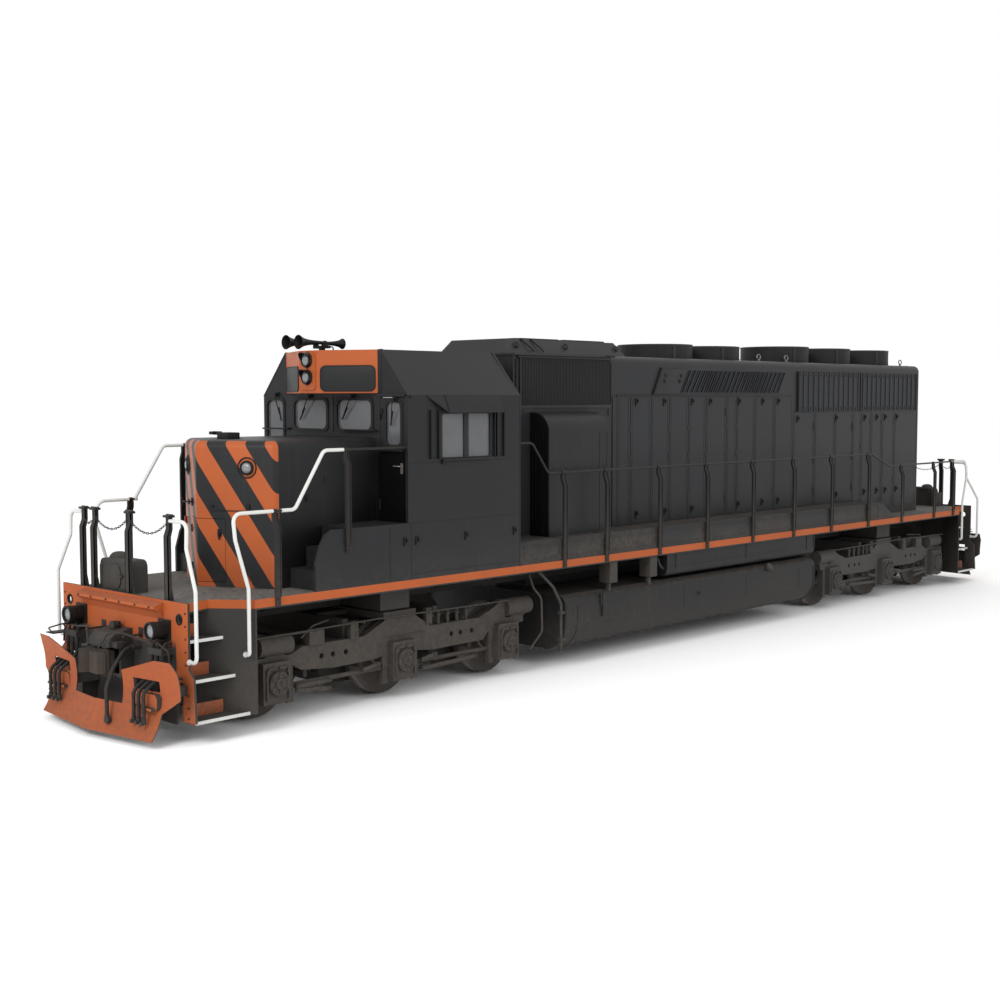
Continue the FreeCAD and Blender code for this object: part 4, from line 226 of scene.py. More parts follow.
def rounded_path(points, bend, steps=6):
    """The points of a path whose turns are arcs of a bend radius."""
    points = [Vector(point) for point in points]
    path = [points[0]]
    for before, here, after in zip(points, points[1:], points[2:]):
        arrive, leave = (here - before).normalized(), (after - here).normalized()
        turn = arrive.angle(leave, 0.0)
        if turn < 0.02:
            path.append(here)
            continue
        reach = min(bend * math.tan(turn / 2), (here - before).length * 0.49, (after - here).length * 0.49)
        radius = reach / math.tan(turn / 2)
        centre = here + (leave - arrive).normalized() * (radius / math.cos(turn / 2))
        start = here - arrive * reach - centre
        axis = arrive.cross(leave).normalized()
        for i in range(steps + 1):
            path.append(centre + Matrix.Rotation(turn * i / steps, 3, axis) @ start)
    path.append(points[-1])
    return path


def add_tube(shape, points, radius, bend=0.05, sides=10, steps=5):
    """A closed round tube along points with arcs at its turns."""
    path = rounded_path(points, bend, steps) if len(points) > 2 else [Vector(p) for p in points]
    rings = []
    first, _ = across(path[1] - path[0])
    for i, here in enumerate(path):
        before, after = path[max(i - 1, 0)], path[min(i + 1, len(path) - 1)]
        direction = (after - before).normalized()
        first = (first - direction * first.dot(direction)).normalized()
        rings.append(circle(shape, here, first, direction.cross(first), radius, sides))
    faces = [shape.faces.new(rings[0]), shape.faces.new(rings[-1])] + join_rings(shape, rings)
    bmesh.ops.recalc_face_normals(shape, faces=faces)


def spread(shape, moves):
    """Copies of everything in the shape, one for each move, in place of the first."""
    original = shape.verts[:] + shape.edges[:] + shape.faces[:]
    for move in (*moves[1:], moves[0]):
        parts = original if move is moves[0] else bmesh.ops.duplicate(shape, geom=original)["geom"]
        bmesh.ops.transform(shape, matrix=move, verts=[g for g in parts if isinstance(g, bmesh.types.BMVert)])
        if move.determinant() < 0:
            bmesh.ops.reverse_faces(shape, faces=[g for g in parts if isinstance(g, bmesh.types.BMFace)])


def put(name, shape, key, body=ROOT, moves=(), smooth_angle=40):
    """Turn a shape, or its copies by the moves, into a piece in a shared material that rides on a body."""
    if moves:
        spread(shape, moves)
    mesh = bpy.data.meshes.new(name)
    shape.to_mesh(mesh)
    shape.free()
    mesh.shade_smooth()
    mesh.set_sharp_from_angle(angle=math.radians(smooth_angle))
    piece = bpy.data.objects.new(name, mesh)
    bpy.context.scene.collection.objects.link(piece)
    mesh.materials.append(MATERIALS[key])
    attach(piece, body)
    return piece


# ---------------------------------------------------------------- shared finishes

class Tree:
    """Short ways to add and join the nodes of one material or group."""

    def __init__(self, tree):
        self.tree = tree

    def node(self, kind, inputs=None, **fields):
        made = self.tree.nodes.new(kind)
        for field, value in fields.items():
            setattr(made, field, value)
        for key, value in (inputs or {}).items():
            if hasattr(value, "is_output"):
                self.tree.links.new(value, made.inputs[key])
            else:
                made.inputs[key].default_value = value
        return made

    def math(self, operation, *values, clamp=False):
        return self.node("ShaderNodeMath", dict(enumerate(values)), operation=operation,
                         use_clamp=clamp).outputs[0]

    def smooth(self, value, low, high):
        """0 at low and 1 at high, or the other way round where low is the higher."""
        made = self.node("ShaderNodeMapRange", {"Value": value, "From Min": low, "From Max": high},
                         interpolation_type="SMOOTHSTEP")
        return made.outputs["Result"]

    def mix(self, share, first, second, blend="MIX"):
        made = self.node("ShaderNodeMix", data_type="RGBA", blend_type=blend)
        for socket, value in ((made.inputs[0], share), (made.inputs[6], first), (made.inputs[7], second)):
            if hasattr(value, "is_output"):
                self.tree.links.new(value, socket)
            elif hasattr(value, "__len__"):
                socket.default_value = tuple(value) + (1.0,) * (4 - len(value))
            else:
                socket.default_value = value
        return made.outputs[2]

    def noise(self, place, scale, detail=3.0, rough=0.55):
        return self.node("ShaderNodeTexNoise", {"Vector": place, "Scale": scale, "Detail": detail,
                                                "Roughness": rough}).outputs["Fac"]


def start_group(name, inputs, outputs):
    group = bpy.data.node_groups.new(name, "ShaderNodeTree")
    for label, kind, default in inputs:
        socket = group.interface.new_socket(label, in_out="INPUT", socket_type=kind)
        socket.default_value = default
    for label, kind in outputs:
        group.interface.new_socket(label, in_out="OUTPUT", socket_type=kind)
    tree = Tree(group)
    return group, tree, tree.node("NodeGroupInput").outputs, tree.node("NodeGroupOutput").inputs


def build_weathering():
    """Paint that fades in patches, with dust that settles low down, on ledges and in rain streaks."""
    number, tint = "NodeSocketFloat", "NodeSocketColor"
    group, tree, given, result = start_group("Weathering", (
        ("Paint", tint, (0.03, 0.03, 0.03, 1)), ("Dust", tint, (0.1, 0.08, 0.06, 1)),
        ("Dust Top", number, 2.2), ("Dust Foot", number, 1.0), ("Dust Amount", number, 0.6),
        ("Ledge Dust", number, 0.3), ("Streaks", number, 0.2), ("Fading", number, 0.25),
        ("Gloss Roughness", number, 0.42)),
        (("Color", tint), ("Roughness", number), ("Height", number)))
    place = tree.node("ShaderNodeTexCoord").outputs["Object"]
    normal = tree.node("ShaderNodeNewGeometry").outputs["Normal"]
    height = tree.node("ShaderNodeSeparateXYZ", {0: place}).outputs["Z"]
    upward = tree.node("ShaderNodeSeparateXYZ", {0: normal}).outputs["Z"]
    patches = tree.noise(place, 0.9, 5.0)
    grain = tree.noise(place, 14.0, 6.0, 0.62)
    stretched = tree.node("ShaderNodeMapping", {"Vector": place, "Scale": (7.0, 7.0, 0.35)}).outputs[0]
    runs = tree.noise(stretched, 1.6, 4.0, 0.6)

    drift = tree.math("MULTIPLY_ADD", tree.math("SUBTRACT", patches, 0.5), 1.3, height)
    low_dust = tree.node("ShaderNodeMapRange", {"Value": drift, "From Min": given["Dust Top"],
                                                "From Max": given["Dust Foot"]},
                         interpolation_type="SMOOTHSTEP").outputs["Result"]
    low_dust = tree.math("MULTIPLY", low_dust, given["Dust Amount"])
    ledge = tree.math("MULTIPLY", tree.smooth(upward, 0.35, 0.95), given["Ledge Dust"])
    streak = tree.math("MULTIPLY", tree.smooth(runs, 0.52, 0.78), given["Streaks"])
    dusty = tree.math("MAXIMUM", low_dust, ledge)
    dusty = tree.math("ADD", dusty, streak, clamp=True)
    broken = tree.math("MULTIPLY", dusty, tree.smooth(grain, 0.15, 0.75), clamp=True)

    fade = tree.math("MULTIPLY", tree.math("SUBTRACT", patches, 0.5), given["Fading"])
    bright = tree.math("ADD", 1.0, tree.math("MULTIPLY", fade, 2.0))
    faded = tree.node("ShaderNodeVectorMath", {0: given["Paint"], "Scale": bright},
                      operation="SCALE").outputs[0]
    tree.tree.links.new(tree.mix(broken, faded, given["Dust"]), result["Color"])
    rough = tree.math("ADD", given["Gloss Roughness"], tree.math("MULTIPLY", broken, 0.45))
    rough = tree.math("ADD", rough, tree.math("MULTIPLY", tree.math("SUBTRACT", grain, 0.5), 0.12),
                      clamp=True)
    tree.tree.links.new(rough, result["Roughness"])
    tree.tree.links.new(tree.math("MULTIPLY", grain, tree.math("ADD", 0.25, broken)), result["Height"])
    return group


def build_stripes():
    """Mask of the slanting warning stripes on the nose front, 1 in an orange stripe."""
    number = "NodeSocketFloat"
    group, tree, given, result = start_group("Nose Stripes", (
        ("Edge", number, 8.405), ("Period", number, 0.812), ("Dark Share", number, 0.49),
        ("Start", number, 2.86), ("Slope", number, 1.68)),
        (("Orange", number),))
    place = tree.node("ShaderNodeTexCoord").outputs["Object"]
    x, y, z = tree.node("ShaderNodeSeparateXYZ", {0: place}).outputs
    normal = tree.node("ShaderNodeNewGeometry").outputs["True Normal"]
    upward = tree.node("ShaderNodeSeparateXYZ", {0: normal}).outputs["Z"]
    along = tree.math("SUBTRACT", tree.math("MULTIPLY_ADD", y, given["Slope"], z), given["Start"])
    turns = tree.math("DIVIDE", along, given["Period"])
    turns = tree.math("SUBTRACT", turns, tree.math("FLOOR", turns))
    light = tree.smooth(turns, tree.math("SUBTRACT", given["Dark Share"], 0.008),
                        tree.math("ADD", given["Dark Share"], 0.008))
    edge = tree.smooth(turns, 0.992, 1.0)
    light = tree.math("SUBTRACT", light, edge, clamp=True)
    ahead = tree.math("GREATER_THAN", x, given["Edge"])
    ahead = tree.math("MULTIPLY", ahead, tree.math("LESS_THAN", upward, 0.9))
    tree.tree.links.new(tree.math("MULTIPLY", light, ahead), result["Orange"])
    return group


GROUPS = {}
MATERIALS = {}
# Near-black of painted shade: the alcove beside the nose, the nose's sides and the sheets in dark openings.
PAINTED_SHADE_BLACK = (0.0012, 0.0012, 0.0012)
BRIGHT_STEEL = (0.26, 0.25, 0.24)
SILL_DUST = (0.155, 0.145, 0.132)
AMOUNTS = ("Dust Top", "Dust Foot", "Dust Amount", "Ledge Dust", "Streaks", "Fading", "Gloss Roughness")


def surface(name, metallic=0.0, coat=0.0, alpha=1.0):
    """A new material with its Principled shader, as a tree to wire up."""
    material = bpy.data.materials.new(name)
    material.use_nodes = True
    tree = Tree(material.node_tree)
    shader = material.node_tree.nodes["Principled BSDF"]
    for socket, value in (("Metallic", metallic), ("Coat Weight", coat), ("Alpha", alpha)):
        shader.inputs[socket].default_value = value
    return material, tree, shader


def weathered(name, paint, settings, amounts, metallic=0.0):
    """A painted or bare surface with the shared weathering; amounts follow AMOUNTS."""
    material, tree, shader = surface(name, metallic)
    shader.inputs["Specular IOR Level"].default_value = 0.2
    group = tree.node("ShaderNodeGroup", node_tree=GROUPS["weathering"])
    group.inputs["Paint"].default_value = (*paint, 1.0)
    group.inputs["Dust"].default_value = (*settings.dust, 1.0)
    for label, value in zip(AMOUNTS, amounts):
        group.inputs[label].default_value = value
    tree.tree.links.new(group.outputs["Color"], shader.inputs["Base Color"])
    tree.tree.links.new(group.outputs["Roughness"], shader.inputs["Roughness"])
    raised = tree.node("ShaderNodeBump", {"Height": group.outputs["Height"], "Strength": 0.35,
                                          "Distance": 0.004})
    tree.tree.links.new(raised.outputs["Normal"], shader.inputs["Normal"])
    return material


def weathering_of(material):
    """The weathering group's node in a material."""
    return next(n for n in material.node_tree.nodes if n.type == "GROUP" and "Paint" in n.inputs)


def two_tone(material, mask, other):
    """Put another paint where the mask is 1, under the same weathering."""
    tree = Tree(material.node_tree)
    paint = weathering_of(material).inputs["Paint"]
    first = paint.links[0].from_socket if paint.is_linked else tuple(paint.default_value)
    tree.tree.links.new(tree.mix(mask(tree), first, (*other, 1.0)), paint)


def spot_of(tree):
    """The three coordinates of the point being painted."""
    return tree.node("ShaderNodeSeparateXYZ", {0: tree.node("ShaderNodeTexCoord").outputs["Object"]}).outputs


def facing_of(tree):
    """The three parts of the surface's normal."""
    return tree.node("ShaderNodeSeparateXYZ",
                     {0: tree.node("ShaderNodeNewGeometry").outputs["Normal"]}).outputs


def alcove_shade_mask(tree):
    """Painted shade in the sheltered corners beside the nose, below the cab windows."""
    _, y, z = spot_of(tree)
    return tree.math("MULTIPLY", tree.smooth(tree.math("ABSOLUTE", y), 0.88, 0.94),
                     tree.smooth(z, 3.38, 3.28))


def nose_shade_mask(tree):
    """Painted shade on the nose's sides that grows downwards and towards the cab."""
    x, _, z = spot_of(tree)
    low = tree.math("MULTIPLY", tree.smooth(z, 3.25, 1.75), 0.8)
    back = tree.math("MULTIPLY", tree.math("MULTIPLY", tree.smooth(x, 8.3, 7.0), tree.smooth(z, 3.42, 3.2)),
                     0.6)
    both = tree.math("ADD", low, back, clamp=True)
    return tree.math("MULTIPLY", both, tree.math("LESS_THAN", x, 8.402))


# Key, name, paint or the setting that holds it, its shade as a factor on that paint, then the amounts of the
# weathering group. The factor 0.72 darkens the cab, cab front and nose charcoal as painted shade; 1.25 makes
# the hatch lighter.
FINISHES = (
    ("body", "Body charcoal", "body", 1.0, 2.3, 1.3, 0.35, 0.12, 0.10, 0.22, 0.42),
    ("cab", "Cab charcoal", "body", 0.72, 2.3, 1.3, 0.3, 0.12, 0.08, 0.2, 0.42),
    ("front_wall", "Cab front charcoal", "body", 0.72, 2.2, 1.0, 0.1, 0.1, 0.05, 0.2, 0.42),
    ("hatch", "Hatch charcoal", "body", 1.25, 2.2, 1.0, 0.1, 0.1, 0.12, 0.25, 0.42),
    ("nose", "Nose paint", "body", 0.72, 2.2, 1.2, 0.35, 0.1, 0.12, 0.2, 0.42),
    ("orange", "Orange paint", "orange", 1.0, 1.2, 0.2, 0.35, 0.25, 0.12, 0.18, 0.42),
    ("orange_low", "Dusty orange", "orange", 1.0, 1.9, 0.2, 0.75, 0.4, 0.3, 0.2, 0.42),
    ("board", "Board charcoal", (0.011, 0.0115, 0.012), 1.0, 2.2, 1.0, 0.1, 0.1, 0.05, 0.25, 0.42),
    ("screen", "Screen charcoal", (0.012, 0.0122, 0.013), 1.0, 2.2, 1.0, 0.1, 0.1, 0.12, 0.25, 0.6),
    # Near-black sheets inside openings: painted shade.
    ("black", "Dark opening", PAINTED_SHADE_BLACK, 1.0, 2.2, 1.0, 0.0, 0.0, 0.0, 0.25, 0.9),
    ("duct", "Duct charcoal", "body", 1.0, 2.15, 1.55, 0.75, 0.75, 0.25, 0.3, 0.55),
    ("rail", "Dark rail", (0.014, 0.0125, 0.0115), 1.0, 2.6, 1.2, 0.45, 0.2, 0.15, 0.25, 0.42),
    ("safety", "Safety white", "safety", 1.0, 1.4, 0.2, 0.18, 0.05, 0.05, 0.06, 0.42),
    ("gear", "Running gear", "running_gear", 1.0, 2.6, 0.7, 0.75, 0.5, 0.2, 0.35, 0.62),
    ("gear_pale", "Pale running gear", (0.046, 0.045, 0.044), 1.0, 2.2, 0.5, 0.5, 0.5, 0.2, 0.3, 0.62),
    ("gear_dark", "Greasy castings", (0.020, 0.018, 0.017), 1.0, 1.4, 0.2, 0.4, 0.4, 0.2, 0.25, 0.5),
    ("tank", "Tank paint", (0.0115, 0.0115, 0.0122), 1.0, 1.2, 0.2, 0.5, 0.6, 0.3, 0.45, 0.5),
    ("rusty", "Rusty castings", "rust", 1.0, 1.8, 0.2, 0.55, 0.4, 0.2, 0.25, 0.75),
    ("wheel", "Wheel steel", (0.060, 0.050, 0.044), 1.0, 1.4, 0.2, 0.5, 0.2, 0.2, 0.25, 0.5),
    ("grille", "Grille paint", (0.022, 0.023, 0.026), 1.0, 2.0, 1.0, 0.3, 0.2, 0.25, 0.25, 0.55),
    ("fan", "Fan charcoal", (0.010, 0.0102, 0.011), 1.0, 2.2, 1.0, 0.1, 0.2, 0.15, 0.25, 0.55),
    ("steel", "Worn steel", "steel", 1.0, 2.0, 0.3, 0.4, 0.3, 0.2, 0.25, 0.45),
    ("rubber", "Rubber", "rubber", 1.0, 1.6, 0.3, 0.3, 0.15, 0.2, 0.25, 0.6),
    ("latch", "Latch black", (0.006, 0.006, 0.006), 1.0, 1.5, 0.5, 0.2, 0.1, 0.2, 0.25, 0.5),
    ("inside", "Cab lining", (0.16, 0.19, 0.18), 1.0, 2.0, 1.0, 0.2, 0.1, 0.2, 0.25, 0.42),
    ("red", "Marker red", (0.13, 0.012, 0.009), 1.0, 2.2, 1.0, 0.2, 0.3, 0.2, 0.25, 0.42),
    ("sill", "Sill paint", "running_gear", 1.0, 1.6, 0.2, 0.45, 0.9, 0.1, 0.25, 0.6),
    ("pilot", "Pilot paint", "running_gear", 1.0, 1.6, 0.2, 0.45, 0.4, 0.1, 0.25, 0.6),
    ("plow", "Plow paint", "running_gear", 1.0, 1.6, 0.2, 0.45, 0.4, 0.1, 0.25, 0.6),
)
METAL = {"steel": 0.7}


def stripe_mask(tree):
    """The slanting orange stripes of the nose front."""
    return tree.node("ShaderNodeGroup", node_tree=GROUPS["stripes"]).outputs["Orange"]


def worn_tread(tree):
    """Bright steel on the treads, which face away from the axle's line."""
    return tree.smooth(tree.math("ABSOLUTE", facing_of(tree)["Y"]), 0.35, 0.1)


def build_materials(settings):
    GROUPS["weathering"] = build_weathering()
    GROUPS["stripes"] = build_stripes()
    made = {"glass": build_glass(), "lens": build_lens(), "seat": build_seat_cloth(settings)}
    for key, name, paint, shade, *amounts in FINISHES:
        base = getattr(settings, paint) if isinstance(paint, str) else paint
        made[key] = weathered(name, [channel * shade for channel in base], settings, amounts,
                              METAL.get(key, 0.0))
    weathering_of(made["sill"]).inputs["Dust"].default_value = (*SILL_DUST, 1.0)
    orange = tuple(settings.orange)
    # The alcove and nose-side masks lay painted shade in near-black over their paint.
    for key, mask, other in (("front_wall", alcove_shade_mask, PAINTED_SHADE_BLACK), ("nose", stripe_mask, orange),
                             ("nose", nose_shade_mask, PAINTED_SHADE_BLACK), ("wheel", worn_tread, BRIGHT_STEEL),
                             ("sill", sill_mask, orange), ("pilot", end_plate_mask, orange),
                             ("plow", outward, orange)):
        two_tone(made[key], mask, other)
    return made


def build_glass():
    """Grey tinted panes with a film of dust."""
    material, tree, shader = surface("Window glass", alpha=0.92)
    place = tree.node("ShaderNodeTexCoord").outputs["Object"]
    film = tree.smooth(tree.noise(place, 3.0, 5.0, 0.65), 0.35, 0.8)
    tint = tree.mix(film, (0.082, 0.085, 0.091), (0.10, 0.102, 0.107))
    tree.tree.links.new(tint, shader.inputs["Base Color"])
    tree.tree.links.new(tree.math("MULTIPLY_ADD", film, 0.18, 0.06), shader.inputs["Roughness"])
    return material


def build_lens():
    """Ribbed lamp glass over its reflector."""
    material, tree, shader = surface("Lamp lens", coat=0.6)
    place = tree.node("ShaderNodeTexCoord").outputs["Object"]
    ribs = tree.node("ShaderNodeTexWave", {"Vector": place, "Scale": 28.0, "Distortion": 0.4},
                     bands_direction="Y").outputs["Fac"]
    tree.tree.links.new(tree.mix(ribs, (0.10, 0.105, 0.112), (0.21, 0.215, 0.225)),
                        shader.inputs["Base Color"])
    tree.tree.links.new(tree.math("MULTIPLY_ADD", ribs, 0.1, 0.12), shader.inputs["Roughness"])
    raised = tree.node("ShaderNodeBump", {"Height": ribs, "Strength": 0.4, "Distance": 0.004})
    tree.tree.links.new(raised.outputs["Normal"], shader.inputs["Normal"])
    return material


def build_seat_cloth(settings):
    """Woven seat covering with worn, paler crowns."""
    material, tree, shader = surface("Cushion cloth")
    place = tree.node("ShaderNodeTexCoord").outputs["Object"]
    warp = tree.node("ShaderNodeTexWave", {"Vector": place, "Scale": 160.0},
                     bands_direction="Y").outputs["Fac"]
    weft = tree.node("ShaderNodeTexWave", {"Vector": place, "Scale": 160.0},
                     bands_direction="X").outputs["Fac"]
    weave = tree.math("MULTIPLY", warp, weft)
    worn = tree.smooth(tree.noise(place, 6.0, 4.0), 0.4, 0.75)
    cloth = tuple(settings.seat)
    pale = tuple(channel * 2.2 for channel in cloth)
    tree.tree.links.new(tree.mix(worn, cloth, pale), shader.inputs["Base Color"])
    shader.inputs["Roughness"].default_value = 0.9
    shader.inputs["Sheen Weight"].default_value = 0.4
    raised = tree.node("ShaderNodeBump", {"Height": weave, "Strength": 0.5, "Distance": 0.001})
    tree.tree.links.new(raised.outputs["Normal"], shader.inputs["Normal"])
    return material


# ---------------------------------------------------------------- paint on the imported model

PAINTED = {
    "body": ("filter_house", "long_hood"),
    "cab": ("cab_sides", "cab_rear_wall", "cab_roof", "battery_boxes", "blower_duct", "rear_cab_door"),
    "front_wall": ("cab_front_wall", "front_cab_door"),
    "hatch": ("roof_hatch",),
    "nose": ("short_hood", "nose_door"),
    "duct": ("walkway_duct",),
    "orange": ("headlight_housing",),
    "tank": ("fuel_tank", "air_reservoirs"),
    "gear": ("front_bogie_frame", "front_bogie_journal_boxes", "front_bogie_brake_gear", "end_boxes"),
    "gear_pale": ("rear_bogie_frame", "rear_bogie_journal_boxes", "rear_bogie_brake_gear"),
    "rubber": ("front_air_hoses",),
    "gear_dark": ("front_bogie_motors", "rear_bogie_motors", "engine_block"),
    "rusty": ("front_coupler", "rear_coupler"),
    "grille": ("brake_grilles", "radiator_grilles", "horn"),
    "fan": ("fan_housings", "brake_fan_1", "brake_fan_2", "radiator_fan_1", "radiator_fan_2",
            "radiator_fan_3"),
    "glass": ("cab_glass", "front_cab_door_glass", "rear_cab_door_glass"),
    "inside": ("control_stand", "cab_floor"),
    "wheel": tuple(f"{end}_wheelset_{number}" for end in ("front", "rear") for number in (1, 2, 3)),
    "rail": ("left_handrails", "right_handrails", "end_rails"),
    "seat": ("seats",),
    "sill": ("underframe",),
    "pilot": ("front_pilot", "rear_pilot"),
    "plow": ("front_plow", "rear_plow"),
}


def sill_mask(tree):
    """Orange on the outer face of the side sill and the platform edges."""
    _, y, z = spot_of(tree)
    upright = tree.math("LESS_THAN", tree.math("ABSOLUTE", facing_of(tree)["Z"]), 0.5)
    outer = tree.math("GREATER_THAN", tree.math("ABSOLUTE", y), 1.05)
    high = tree.math("GREATER_THAN", z, DECK - 0.105)
    return tree.math("MULTIPLY", upright, tree.math("MULTIPLY", outer, high))


def outward(tree):
    """1 on the faces that look away from the middle of the locomotive."""
    x = spot_of(tree)["X"]
    return tree.math("GREATER_THAN", tree.math("MULTIPLY", facing_of(tree)["X"], tree.math("SIGN", x)), 0.1)


def end_plate_mask(tree):
    """Orange on the end plate and its ledge, bare round the coupler and behind."""
    x, y, z = spot_of(tree)
    reach, spread_y = tree.math("ABSOLUTE", x), tree.math("ABSOLUTE", y)
    ledge = tree.math("MULTIPLY", tree.math("GREATER_THAN", reach, PLATE_FACE + 0.002),
                      tree.math("GREATER_THAN", z, 1.38))
    shown = tree.math("MAXIMUM", outward(tree), ledge)
    pocket = tree.math("MULTIPLY", tree.math("GREATER_THAN", reach, PLATE_FACE + 0.01),
                       tree.math("LESS_THAN", z, 1.38))
    clear = tree.math("MAXIMUM", tree.smooth(z, 1.10, 1.24), tree.math("GREATER_THAN", spread_y, 1.16))
    clear = tree.math("MULTIPLY", clear, tree.math("SUBTRACT", 1.0, pocket))
    ahead = tree.math("GREATER_THAN", reach, 10.01)
    return tree.math("MULTIPLY", ahead, tree.math("MULTIPLY", shown, clear))


class LOCOMOTIVE_OT_paint_frame(bpy.types.Operator):
    """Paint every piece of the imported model."""
    bl_idname = "locomotive.paint_frame"
    bl_label = "Paint the packed pieces"

    def execute(self, context):
        MATERIALS.update(build_materials(context.scene.locomotive_paint))
        for key, names in PAINTED.items():
            for name in names:
                NODES[name].data.materials.clear()
                NODES[name].data.materials.append(MATERIALS[key])
        return {"FINISHED"}


# ---------------------------------------------------------------- places worked out from the model

NOSE_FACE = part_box("nose_door")[0].x + 0.04
_, NOSE_SIDE, NOSE_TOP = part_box("short_hood")[1]
CAB_LOW, CAB_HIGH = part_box("cab_sides")
CAB_FRONT, CAB_REAR, CAB_SIDE, EAVE = CAB_HIGH.x, CAB_LOW.x, CAB_HIGH.y, CAB_HIGH.z
HOUSING_LOW, HOUSING_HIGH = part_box("headlight_housing")
HOOD_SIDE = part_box("filter_house")[1].y
HOOD_FRONT, DOOR_FACE, HOOD_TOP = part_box("long_hood")[1]
HOOD_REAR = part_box("long_hood")[0].x
FRAME_END, SILL_SIDE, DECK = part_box("underframe")[1]
PLATE_FACE = FRAME_END + 0.03
_, DUCT_SIDE, DUCT_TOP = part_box("walkway_duct")[1]
BLOWER_LOW, BLOWER_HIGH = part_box("blower_duct")
TANK_LOW, TANK_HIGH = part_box("fuel_tank")
BOTH_SIDES = (HERE, MIRROR_Y)
BOTH_ENDS = (HERE, HALF_TURN)


def rounded_corners(low, high, radius, steps=5):
    """A rectangle's outline with rounded corners, anticlockwise from its low corner."""
    ring = []
    for u, v, start in ((low[0] + radius, low[1] + radius, math.pi),
                        (high[0] - radius, low[1] + radius, 1.5 * math.pi),
                        (high[0] - radius, high[1] - radius, 0.0),
                        (low[0] + radius, high[1] - radius, 0.5 * math.pi)):
        for i in range(steps + 1):
            angle = start + 0.5 * math.pi * i / steps
            ring.append((u + radius * math.cos(angle), v + radius * math.sin(angle)))
    return ring


def add_frame(shape, low, high, axis, place, border, thickness, corner, inner, steps=5):
    """A flat frame with rounded corners outside and inside: a window seal or a raised rim."""
    outer = rounded_corners(low, high, corner, steps)
    opening = rounded_corners((low[0] + border, low[1] + border), (high[0] - border, high[1] - border),
                              inner, steps)
    rings = [[shape.verts.new(place_on(axis, point, along)) for point in ring]
             for ring, along in ((outer, place), (outer, place + thickness), (opening, place + thickness),
                                 (opening, place))]
    bmesh.ops.recalc_face_normals(shape, faces=join_rings(shape, rings + rings[:1]))


def add_bolt(shape, place, direction, radius=0.014, height=0.012):
    """A six-sided bolt head."""
    add_turned(shape, place, direction, [(0, 0), (0, radius), (height * 0.7, radius),
                                         (height, radius * 0.8), (height, 0)], 6)


def add_ring(shape, centre, direction, radius, thickness, sides=20, around=6):
    """A round ring of wire."""
    first, second = across(direction)
    direction = Vector(direction).normalized()
    rings = []
    for turn in turns(sides):
        out = first * math.cos(turn) + second * math.sin(turn)
        rings.append(circle(shape, Vector(centre) + out * radius, out, direction, thickness, around))
    bmesh.ops.recalc_face_normals(shape, faces=join_rings(shape, rings + rings[:1]))


# ---------------------------------------------------------------- nose

RIDGE = NOSE_FACE + 0.58
FACET_ANGLE = math.atan(0.5)
PROW_SIDE = 0.985
PROW_ROUND = 0.10
PROW_BACK = 7.30
SKIN = 0.003
SHEET = 0.0025
TOP_TURN = math.radians(90) * 0.985
PROW_CORNER = RIDGE - PROW_SIDE * math.tan(FACET_ANGLE)
FACET = Matrix.Translation((RIDGE, 0, 0)) @ Matrix.Rotation(FACET_ANGLE, 4, "Z")
BOTH_FACETS = (FACET, MIRROR_Y @ FACET)


def prow_side(x):
    """Half width of the nose where it widens from the cab door's swing to its front corners."""
    share = min(max((x - PROW_BACK) / (PROW_CORNER - PROW_BACK), 0.0), 1.0)
    return NOSE_SIDE + SKIN + share * (PROW_SIDE - NOSE_SIDE - SKIN)


def prow_outline(radius):
    """The nose in plan, at a distance outside the line its rounded edges turn about."""
    lean = math.atan2(PROW_SIDE - NOSE_SIDE - SKIN, PROW_CORNER - PROW_BACK)
    ridge_x = RIDGE - PROW_ROUND / math.cos(FACET_ANGLE)
    rise = math.tan(lean)
    side_y = PROW_SIDE - PROW_ROUND / math.cos(lean)
    core_y = (side_y + rise * (ridge_x - PROW_CORNER)) / (1 + rise * math.tan(FACET_ANGLE))
    core_x = ridge_x - core_y * math.tan(FACET_ANGLE)
    back_y = NOSE_SIDE + SKIN - PROW_ROUND + radius
    half = [(CAB_FRONT + 0.002, back_y), (PROW_BACK, back_y)]
    for step in range(9):
        angle = math.pi / 2 + lean + (FACET_ANGLE - math.pi / 2 - lean) * step / 8
        half.append((core_x + radius * math.cos(angle), core_y + radius * math.sin(angle)))
    for step in range(4):
        angle = FACET_ANGLE * (1 - step / 4)
        half.append((ridge_x + radius * math.cos(angle), radius * math.sin(angle)))
    return half + [(ridge_x + radius, 0.0)] + [(x, -y) for x, y in reversed(half)]


def cut_with(piece, cutter):
    """Take the cutter's solid out of a piece and drop the cutter."""
    tool = bpy.data.objects.new("cutter", bpy.data.meshes.new("cutter"))
    cutter.to_mesh(tool.data)
    cutter.free()
    bpy.context.scene.collection.objects.link(tool)
    change = piece.modifiers.new("doorway", "BOOLEAN")
    change.object, change.operation, change.solver = tool, "DIFFERENCE", "EXACT"
    bpy.context.view_layer.update()
    piece.data = bpy.data.meshes.new_from_object(piece.evaluated_get(bpy.context.evaluated_depsgraph_get()))
    piece.modifiers.clear()
    bpy.data.objects.remove(tool)


